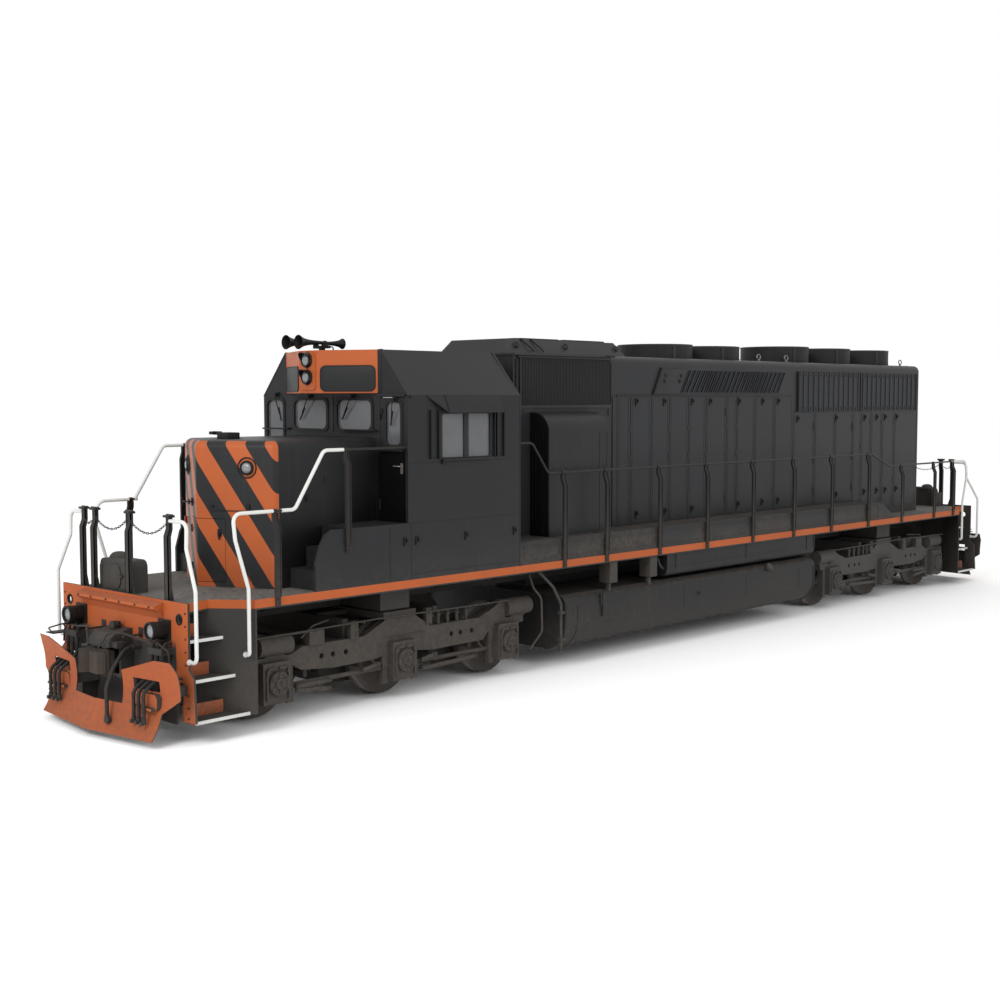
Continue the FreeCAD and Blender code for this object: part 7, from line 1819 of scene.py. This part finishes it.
class LOCOMOTIVE_OT_tank(bpy.types.Operator):
    """End frames, brackets, fillers and piping of the fuel tank and the reservoirs."""
    bl_idname = "locomotive.tank"
    bl_label = "Tank and reservoirs"

    def execute(self, context):
        low, high = TANK_LOW, TANK_HIGH
        side = high.y
        section = tank_section(side + 0.006, low.z - 0.006)
        shape = bmesh.new()
        for x in (high.x - 0.30, low.x + 0.02):
            add_rim(shape, section, x, x + 0.022, 0.020)
        for x in (high.x - 0.012, low.x - 0.002):
            add_rim(shape, tank_section(side + 0.010, low.z - 0.010), x, x + 0.014, 0.05)
        add_box(shape, (high.x - 0.92, side - 0.012, 0.86), (high.x - 0.80, side + 0.020, 1.06), 0.006)
        add_box(shape, (high.x - 0.86, side + 0.006, 0.70), (high.x - 0.84, side + 0.030, 1.07), 0.004)
        for x in (0.6, -1.2, -2.9):
            add_box(shape, (x - 0.006, side - 0.006, 0.62), (x + 0.006, side + 0.003, 0.94))
        put("tank_frames", shape, "tank", moves=BOTH_SIDES)

        shape = bmesh.new()
        for x in (2.45, 1.45):
            add_box(shape, (x - 0.09, 1.30, 1.19), (x + 0.09, SILL_SIDE - 0.02, DECK - 0.118), 0.01)
            add_box(shape, (x - 0.03, 1.38, 1.02), (x + 0.03, 1.44, 1.24), 0.006)
        add_turned(shape, (-1.9, side - 0.07, 0.985), (0, 0.8, 0.6),
                   [(0, 0.055), (0.09, 0.055), (0.09, 0.075), (0.13, 0.072),
                                                                  (0.14, 0.05), (0.14, 0)], 24)
        add_turned(shape, (0.2, side - 0.002, 0.80), (0, 1, 0),
                   [(0, 0.035), (0.02, 0.035), (0.02, 0.03), (0.0, 0.03)], 16)
        put("tank_brackets_and_filler", shape, "gear", moves=BOTH_SIDES)

        shape = bmesh.new()
        for row in (([(high.x + 0.50, 1.42, 1.50), (high.x + 0.20, 1.44, 1.24), (high.x + 0.05, 1.46, 0.98),
                      (high.x + 0.05, 1.46, 0.28)], 0.022, 0.14, 10, 5),
                    ([(high.x + 0.62, 1.34, 1.46), (high.x + 0.55, 1.36, 1.26), (high.x + 0.40, 1.38, 1.10),
                      (high.x + 0.38, 1.38, 0.60), (high.x + 0.55, 1.30, 0.36)], 0.016, 0.16, 10, 5),
                    ([(1.20, 1.40, 1.46), (1.16, 1.42, 1.34), (1.10, 1.42, 1.29), (0.98, 1.42, 1.27)], 0.020,
                     0.06, 10, 4)):
            add_tube(shape, *row)
        for z in (0.45, 0.85):
            add_box(shape, (high.x - 0.02, 1.425, z - 0.02), (high.x + 0.085, 1.495, z + 0.02), 0.004)
        put("tank_pipes", shape, "gear", moves=BOTH_SIDES)

        res_low, res_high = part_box("air_reservoirs")
        shape = bmesh.new()
        for x in (res_high.x - 0.02, res_high.x - 0.26, -1.2, res_low.x + 0.24, res_low.x):
            add_box(shape, (x, res_high.y - 0.003, res_low.z + 0.11),
                    (x + 0.022, res_high.y + 0.008, res_high.z - 0.01), 0.003)
        add_box(shape, (res_low.x, res_high.y - 0.003, res_low.z + 0.155),
                (res_high.x, res_high.y + 0.004, res_low.z + 0.165), 0.001)
        put("reservoir_bands", shape, "tank", moves=BOTH_SIDES)
        return {"FINISHED"}


def tank_section(side, low):
    """The tank's section as (y, z), rounded at the belly and the shoulder, for the left half."""
    points = [(side - 0.42 + 0.42 * math.sin(a), low + 0.42 - 0.42 * math.cos(a))
              for a in (math.pi / 2 * i / 10 for i in range(11))]
    points += [(side, TANK_HIGH.z - 0.28), (side - 0.03, TANK_HIGH.z - 0.22),
               (side - 0.14, TANK_HIGH.z - 0.12)]
    return points


def add_rim(shape, section, low, high, depth):
    """A raised band that follows an open section of (y, z)."""
    inner = [(y - depth, z + depth * 0.5) for y, z in section]
    add_prism(shape, section + list(reversed(inner)), 0, low, high)


# ---------------------------------------------------------------- ends

STEP_TREADS = ((1.205, 1.235, 0.99), (0.75, 1.345, 1.10), (0.295, 1.48, 1.23))


def skirt_place(y):
    """Where the slanted plate behind the steps stands at a distance from the middle plane."""
    return 9.20 + (9.563 - 9.20) / (SILL_SIDE - 1.096) * (SILL_SIDE - y)


class LOCOMOTIVE_OT_steps(bpy.types.Operator):
    """White step edges, orange risers and the tread pattern."""
    bl_idname = "locomotive.steps"
    bl_label = "Steps"

    def execute(self, context):
        back = PLATE_FACE - 0.03
        white, risers, treads = bmesh.new(), bmesh.new(), bmesh.new()
        for z, outer, inner in STEP_TREADS:
            add_box(white, (skirt_place(outer) + 0.004, outer - 0.012, z - 0.034),
                    (back - 0.002, outer + 0.010, z + 0.004), 0.004)
            add_box(risers, (skirt_place(inner) + 0.01, inner - 0.004, z + 0.002),
                    (back - 0.004, inner + 0.008, z + 0.155), 0.002)
            count = 5
            for k in range(count):
                y = inner + 0.03 + (outer - inner - 0.05) * k / (count - 1)
                add_box(treads, (skirt_place(y) + 0.03, y - 0.010, z - 0.002),
                        (back - 0.02, y + 0.004, z + 0.008), 0.002)
        for name, shape, key, slot in (("step_edges", white, "safety", "rail_paint"),
                                       ("step_risers", risers, "orange_low", "orange_paint"),
                                       ("step_treads", treads, "gear", "frame_paint")):
            put(name, shape, key, moves=ALL_CORNERS)
        return {"FINISHED"}


class LOCOMOTIVE_OT_pilot(bpy.types.Operator):
    """Ditch lights, cut levers, hose bracketry, drawbar gear and bolts of both ends."""
    bl_idname = "locomotive.pilot"
    bl_label = "Pilot fittings"

    def execute(self, context):
        shape, lens = bmesh.new(), bmesh.new()
        for y in (0.94, -0.94):
            spot = Vector((PLATE_FACE, y, 1.325))
            add_turned(shape, spot, (1, 0, 0),
                       [(0.02, 0.094), (0.02, 0.102), (0.150, 0.102), (0.156, 0.108), (0.226, 0.108),
                                                (0.226, 0.088), (0.186, 0.082), (0.02, 0.094)], 28)
            add_box(shape, spot + Vector((0.0, -0.125, -0.12)), spot + Vector((0.02, 0.125, 0.12)), 0.006)
            add_box(shape, spot + Vector((0.0, -0.03, -0.19)), spot + Vector((0.10, 0.03, -0.085)), 0.006)
            add_turned(lens, spot + Vector((0.189, 0, 0)), (1, 0, 0),
                       [(0, 0), (0, 0.082), (0.010, 0.080), (0.022, 0.05), (0.027, 0)], 28)
        for y in (1.235, -1.235):
            add_turned(shape, (PLATE_FACE - SUNK, y, 1.47), (1, 0, 0),
                       [(0, 0.050), (0, 0.066), (0.012, 0.066), (0.016, 0.060),
                                                                       (0.016, 0.050), (0, 0.050)], 28)
        put("ditch_lights", shape, "latch", moves=BOTH_ENDS)
        put("ditch_light_lenses", lens, "lens", moves=BOTH_ENDS)

        shape = bmesh.new()
        for side in (1, -1):
            add_tube(shape,
                     [(PLATE_FACE + 0.12, 1.18 * side, 1.10), (PLATE_FACE + 0.16, 1.02 * side, 1.19),
                      (PLATE_FACE + 0.20, 0.70 * side, 1.205),
                             (PLATE_FACE + 0.24, 0.40 * side, 1.245), (PLATE_FACE + 0.34, 0.24 * side, 1.235),
                             (PLATE_FACE + 0.40, 0.12 * side, 1.06)],
                     0.012, 0.08, 8, 4)
            for y in (0.98, 0.42):
                add_box(shape, (PLATE_FACE - 0.002, y * side - 0.02, 1.195),
                        (PLATE_FACE + 0.25, y * side + 0.02, 1.215), 0.004)
            add_box(shape, (PLATE_FACE - 0.002, 0.42 * side - 0.045, 1.17),
                    (PLATE_FACE + 0.012, 0.42 * side + 0.045, 1.29), 0.004)
            add_tube(shape, [(PLATE_FACE + 0.12, 1.18 * side, 1.10), (PLATE_FACE + 0.12, 1.20 * side, 0.95)],
                     0.012, 0.02, 8, 3)
        add_box(shape, (PLATE_FACE + 0.05, -0.055, 1.24), (PLATE_FACE + 0.15, 0.055, 1.33), 0.012)
        add_disc_rod(shape, (PLATE_FACE + 0.10, -0.075, 1.30), (PLATE_FACE + 0.10, 0.075, 1.30), 0.026, 12,
                     0.005)
        add_box(shape, (PLATE_FACE + 0.16, 0.235, 1.06), (PLATE_FACE + 0.30, 0.36, 1.13), 0.01)
        add_box(shape, (PLATE_FACE - 0.002, -0.44, 1.00), (PLATE_FACE + 0.05, -0.27, 1.20), 0.008)
        for side in (1, -1):
            for k in range(3):
                y = (0.855 + 0.105 * k) * side
                add_disc_rod(shape, (PLATE_FACE + 0.132, y, 1.02), (PLATE_FACE + 0.132, y, 1.10), 0.030, 14,
                             0.004)
                add_tube(shape,
                         [(PLATE_FACE - 0.002, y, 1.18), (PLATE_FACE + 0.09, y, 1.18),
                          (PLATE_FACE + 0.132, y, 1.10)], 0.017, 0.05, 8, 4)
                add_box(shape, (PLATE_FACE + 0.115, y - 0.008, 1.095), (PLATE_FACE + 0.155, y + 0.05, 1.112),
                        0.003)
            for z in (0.60, 0.45, 0.33):
                add_bolt(shape, (PLATE_FACE, 1.40 * side, z), (1, 0, 0), 0.016, 0.014)
            for z in (0.95, 1.1, 1.25, 1.40, 1.55):
                add_bolt(shape, (PLATE_FACE, 1.355 * side, z), (1, 0, 0), 0.013, 0.010)
        for y in (-0.80, -0.50, -0.15, 0.15, 0.50, 0.80):
            add_bolt(shape, (PLATE_FACE + 0.13, y, 1.585), (1, 0, 0), 0.014, 0.012)
        add_frame_hoop(shape)
        put("pilot_gear", shape, "gear_dark", moves=BOTH_ENDS)

        shape = bmesh.new()
        add_box(shape, (PLATE_FACE - 0.02, -1.15, 0.22), (PLATE_FACE - 0.005, 1.15, 0.84), 0.003)
        for y in (-0.62, 0.62):
            add_box(shape, (PLATE_FACE - 0.005, y - 0.008, 0.24), (PLATE_FACE + 0.20, y + 0.008, 0.80), 0.003)
        put("pilot_backing", shape, "gear_dark", moves=BOTH_ENDS)

        shape = bmesh.new()
        reach = 10.40
        for y in (-0.11, 0.11):
            add_box(shape, (reach - 0.10, y - 0.02, 0.735), (reach - 0.03, y + 0.02, 1.015), 0.006)
        for z in (0.80, 0.945):
            add_box(shape, (reach - 0.02, -0.075, z - 0.035), (reach + 0.048, -0.012, z + 0.035), 0.012)
        add_disc_rod(shape, (10.36, 0.135, 0.70), (10.36, 0.135, 1.055), 0.030, 16, 0.006)
        add_turned(shape, (10.36, 0.135, 1.05), (0, 0, 1), [(0, 0), (0, 0.045), (0.012, 0.042), (0.012, 0)],
                   16)
        front = put("front_coupler_fittings", shape, "rusty", "front_coupler")
        copy = front.data.copy()
        copy.transform(HALF_TURN)
        rear = bpy.data.objects.new("rear_coupler_fittings", copy)
        context.scene.collection.objects.link(rear)
        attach(rear, "rear_coupler")
        return {"FINISHED"}


def add_frame_hoop(shape):
    """Folded drop plates and the hoop on the right-hand side of an end."""
    add_box(shape, (PLATE_FACE + 0.02, -1.32, 1.060), (PLATE_FACE + 0.30, -1.14, 1.075), 0.004)
    add_tube(shape,
             [(PLATE_FACE + 0.04, -1.30, 1.075), (PLATE_FACE + 0.06, -1.30, 1.155),
              (PLATE_FACE + 0.28, -1.30, 1.12),
                     (PLATE_FACE + 0.30, -1.16, 1.085)], 0.010, 0.04, 8, 4)
    add_tube(shape,
             [(PLATE_FACE + 0.02, -0.62, 1.00), (PLATE_FACE + 0.22, -0.60, 0.98),
              (PLATE_FACE + 0.25, -0.35, 1.02)], 0.018, 0.08, 8, 4)


HOSE_GROUPS = tuple((0.960 + 0.105 * k) * side for side in (1, -1) for k in (-1, 0, 1))


class LOCOMOTIVE_OT_hoses(bpy.types.Operator):
    """Round rubber hoses with clamps and glad hands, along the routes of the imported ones."""
    bl_idname = "locomotive.hoses"
    bl_label = "Air hoses"

    def execute(self, context):
        start, line = PLATE_FACE + 0.132, 10.44
        rubber, metal = bmesh.new(), bmesh.new()
        for y in HOSE_GROUPS:
            add_tube(rubber, [(start, y, 1.044), (start, y, 0.828), (line, y, 0.645), (line, y, 0.34)], 0.022,
                     0.12, 14, 7)
            add_turned(metal, (line, y, 0.345), (0, 0, -1),
                       [(0, 0.022), (0, 0.029), (0.02, 0.030), (0.04, 0.026), (0.066, 0.028),
                                                             (0.070, 0.018), (0.070, 0)], 14)
            for z in (0.385, 0.60):
                add_turned(metal, (line, y, z), (0, 0, 1),
                           [(0, 0.022), (0, 0.0265), (0.014, 0.0265), (0.014, 0.022), (0, 0.022)], 14)
            add_turned(metal, (start, y, 0.965), (0, 0, 1),
                       [(0, 0.022), (0, 0.029), (0.03, 0.031), (0.078, 0.029), (0.078, 0)], 14)
            add_box(metal, (line - 0.004, y - 0.020, 0.27), (line + 0.050, y + 0.022, 0.315), 0.010)
        route = [(PLATE_FACE + 0.07, 0.40, 1.06), (PLATE_FACE + 0.21, 0.40, 1.06), (10.43, 0.40, 0.84),
                 (10.52, 0.40, 0.62),
                 (10.52, 0.40, 0.29)]
        add_tube(rubber, route, 0.025, 0.16, 14, 7)
        for row in (((PLATE_FACE + 0.07, 0.40, 1.06), (1, 0, 0),
                     [(0, 0), (0, 0.034), (0.05, 0.034), (0.06, 0.029), (0.06, 0.024)], 16),
                    ((10.52, 0.40, 0.30), (0, 0, -1),
                     [(0, 0.025), (0, 0.032), (0.03, 0.034), (0.075, 0.030), (0.078, 0)], 16),
                    ((10.49, 0.40, 0.245), (1, 0, 0),
                     [(0, 0), (0, 0.045), (0.02, 0.05), (0.045, 0.05), (0.05, 0.045), (0.05, 0)], 20)):
            add_turned(metal, *row)
        hoses = put("air_hose_runs", rubber, "rubber")
        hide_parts("front_air_hoses")
        put("air_hose_fittings", metal, "gear_dark")
        return {"FINISHED"}


# ---------------------------------------------------------------- seats

class LOCOMOTIVE_OT_seats(bpy.types.Operator):
    """Padded crew seats on their posts."""
    bl_idname = "locomotive.seats"
    bl_label = "Crew seats"

    def execute(self, context):
        low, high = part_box("seats")
        floor, top = low.z, high.z
        for name, side in (("left", 1), ("right", -1)):
            near, far = sorted((0.88 * side, high.y * side))
            shape = bmesh.new()
            seat_z = 2.83
            add_cushion(shape, (5.35, near, seat_z - 0.11), (5.83, far, seat_z), 0.045)
            cushion = put(f"{name}_seat_cushion", shape, "seat")
            shape = bmesh.new()
            add_cushion(shape, (5.25, near + 0.02, seat_z + 0.02), (5.35, far - 0.02, top), 0.045)
            back = put(f"{name}_seat_back", shape, "seat")
            if side > 0:
                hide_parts("seats")
            shape = bmesh.new()
            middle = (near + far) / 2
            add_turned(shape, (5.59, middle, floor), (0, 0, 1),
                       [(0, 0), (0, 0.15), (0.02, 0.15), (0.03, 0.06), (0.32, 0.055), (0.325, 0)], 20)
            for row in (((5.36, near + 0.03, seat_z - 0.135), (5.82, far - 0.03, seat_z - 0.108), 0.006),
                        ((5.225, middle - 0.06, seat_z - 0.13), (5.252, middle + 0.06, seat_z + 0.40), 0.006),
                        ((5.225, middle - 0.06, seat_z - 0.135), (5.40, middle + 0.06, seat_z - 0.115),
                         0.004)):
                add_box(shape, *row)
            put(f"{name}_seat_frame", shape, "latch")
        return {"FINISHED"}


def add_cushion(shape, low, high, edge):
    """A stuffed cushion, rounded at every edge and crowned a little."""
    add_box(shape, low, high)
    bmesh.ops.subdivide_edges(shape, edges=shape.edges[:], cuts=5, use_grid_fill=True)
    low, high = Vector(low), Vector(high)
    middle, half = (low + high) / 2, (high - low) / 2
    for vert in shape.verts:
        place = Vector((vert.co[i] - middle[i]) / half[i] for i in range(3))
        inset = Vector(max(-half[i] + edge, min(half[i] - edge, vert.co[i] - middle[i])) for i in range(3))
        out = (vert.co - middle) - inset
        if out.length > 1e-6:
            vert.co = middle + inset + out.normalized() * min(edge, out.length)
        swell = 0.012 * (1 - place[0] ** 2) * (1 - place[1] ** 2)
        if half.z < half.x and place[2] > 0.5:
            vert.co.z += swell - 0.012


# ---------------------------------------------------------------- the studio

def aim(settings):
    """Rotation of the camera from its heading, pitch and roll."""
    forward = Vector((math.cos(settings.yaw) * math.cos(settings.pitch),
                      math.sin(settings.yaw) * math.cos(settings.pitch), math.sin(settings.pitch)))
    right = forward.cross(Vector((0, 0, 1))).normalized()
    up = right.cross(forward)
    level = Matrix((right, up, -forward)).transposed()
    return level @ Matrix.Rotation(-settings.roll, 3, "Z")


def add_area_light(name, place, target, size, power, tint=(1, 1, 1)):
    lamp = bpy.data.lights.new(name, "AREA")
    lamp.shape, lamp.size, lamp.energy, lamp.color = "DISK", size, power, tint
    holder = bpy.data.objects.new(name, lamp)
    holder.location = place
    holder.rotation_euler = (Vector(target) - Vector(place)).to_track_quat("-Z", "Y").to_euler()
    bpy.context.scene.collection.objects.link(holder)


class LOCOMOTIVE_OT_stage(bpy.types.Operator):
    """Set up the camera, the floor and the soft studio light."""
    bl_idname = "locomotive.stage"
    bl_label = "Studio"

    def execute(self, context):
        settings = context.scene.locomotive_stage
        camera = bpy.data.cameras.new("Camera")
        camera.lens, camera.sensor_width, camera.clip_end = settings.lens, 36.0, 500.0
        holder = bpy.data.objects.new("Camera", camera)
        holder.matrix_world = aim(settings).to_4x4()
        holder.location = (settings.camera_x, settings.camera_y, settings.camera_z)
        context.scene.collection.objects.link(holder)
        context.scene.camera = holder
        context.scene.view_settings.view_transform = "Standard"

        floor = bmesh.new()
        bmesh.ops.create_circle(floor, cap_ends=True, segments=96, radius=150.0)
        mesh = bpy.data.meshes.new("floor")
        floor.to_mesh(mesh)
        floor.free()
        ground = bpy.data.objects.new("floor", mesh)
        context.scene.collection.objects.link(ground)
        pale, _, shader = surface("Studio floor")
        shader.inputs["Base Color"].default_value = (1.0, 1.0, 1.0, 1.0)
        shader.inputs["Roughness"].default_value = 0.95
        shader.inputs["Specular IOR Level"].default_value = 0.0
        mesh.materials.append(pale)

        world = bpy.data.worlds.new("Studio surround")
        world.use_nodes = True
        background = world.node_tree.nodes["Background"]
        background.inputs["Color"].default_value = (1.0, 1.0, 1.0, 1.0)
        background.inputs["Strength"].default_value = settings.sky
        context.scene.world = world
        add_area_light("key", (26.0, 6.0, 14.0), (5.0, 0.0, 2.0), 9.0, 2600.0 * settings.key)
        add_area_light("side", (4.0, 26.0, 16.0), (0.0, 0.0, 2.5), 14.0, 1700.0 * settings.key)
        return {"FINISHED"}


# ---------------------------------------------------------------- panel and run

OPERATORS = (LOCOMOTIVE_OT_paint_frame, LOCOMOTIVE_OT_nose, LOCOMOTIVE_OT_cab_front, LOCOMOTIVE_OT_headlight,
             LOCOMOTIVE_OT_horn, LOCOMOTIVE_OT_cab_side, LOCOMOTIVE_OT_filter_house, LOCOMOTIVE_OT_blower,
             LOCOMOTIVE_OT_walkway_duct, LOCOMOTIVE_OT_hood_doors, LOCOMOTIVE_OT_grilles, LOCOMOTIVE_OT_roof,
             LOCOMOTIVE_OT_hood_rear, LOCOMOTIVE_OT_side_rails, LOCOMOTIVE_OT_end_rails, LOCOMOTIVE_OT_bogies,
             LOCOMOTIVE_OT_tank, LOCOMOTIVE_OT_steps, LOCOMOTIVE_OT_pilot, LOCOMOTIVE_OT_hoses,
             LOCOMOTIVE_OT_seats, LOCOMOTIVE_OT_stage)
SETTINGS = (("locomotive_paint", PaintSettings), ("locomotive_rails", RailSettings),
            ("locomotive_stage", StageSettings))


class LOCOMOTIVE_PT_finish(bpy.types.Panel):
    """Lists the steps that finish the locomotive."""
    bl_label = "Locomotive finish"
    bl_idname = "LOCOMOTIVE_PT_finish"
    bl_space_type = "VIEW_3D"
    bl_region_type = "UI"
    bl_category = "Locomotive"

    def draw(self, context):
        for operator in OPERATORS:
            self.layout.operator(operator.bl_idname)


CLASSES = tuple(kind for _, kind in SETTINGS) + OPERATORS + (LOCOMOTIVE_PT_finish,)


def register():
    for kind in CLASSES:
        bpy.utils.register_class(kind)
    for name, kind in SETTINGS:
        setattr(bpy.types.Scene, name, PointerProperty(type=kind))


def unregister():
    for name, _ in SETTINGS:
        delattr(bpy.types.Scene, name)
    for kind in reversed(CLASSES):
        bpy.utils.unregister_class(kind)


def main():
    register()
    for operator in OPERATORS:
        group, step = operator.bl_idname.split(".")
        getattr(getattr(bpy.ops, group), step)()


if __name__ == "__main__":
    main()
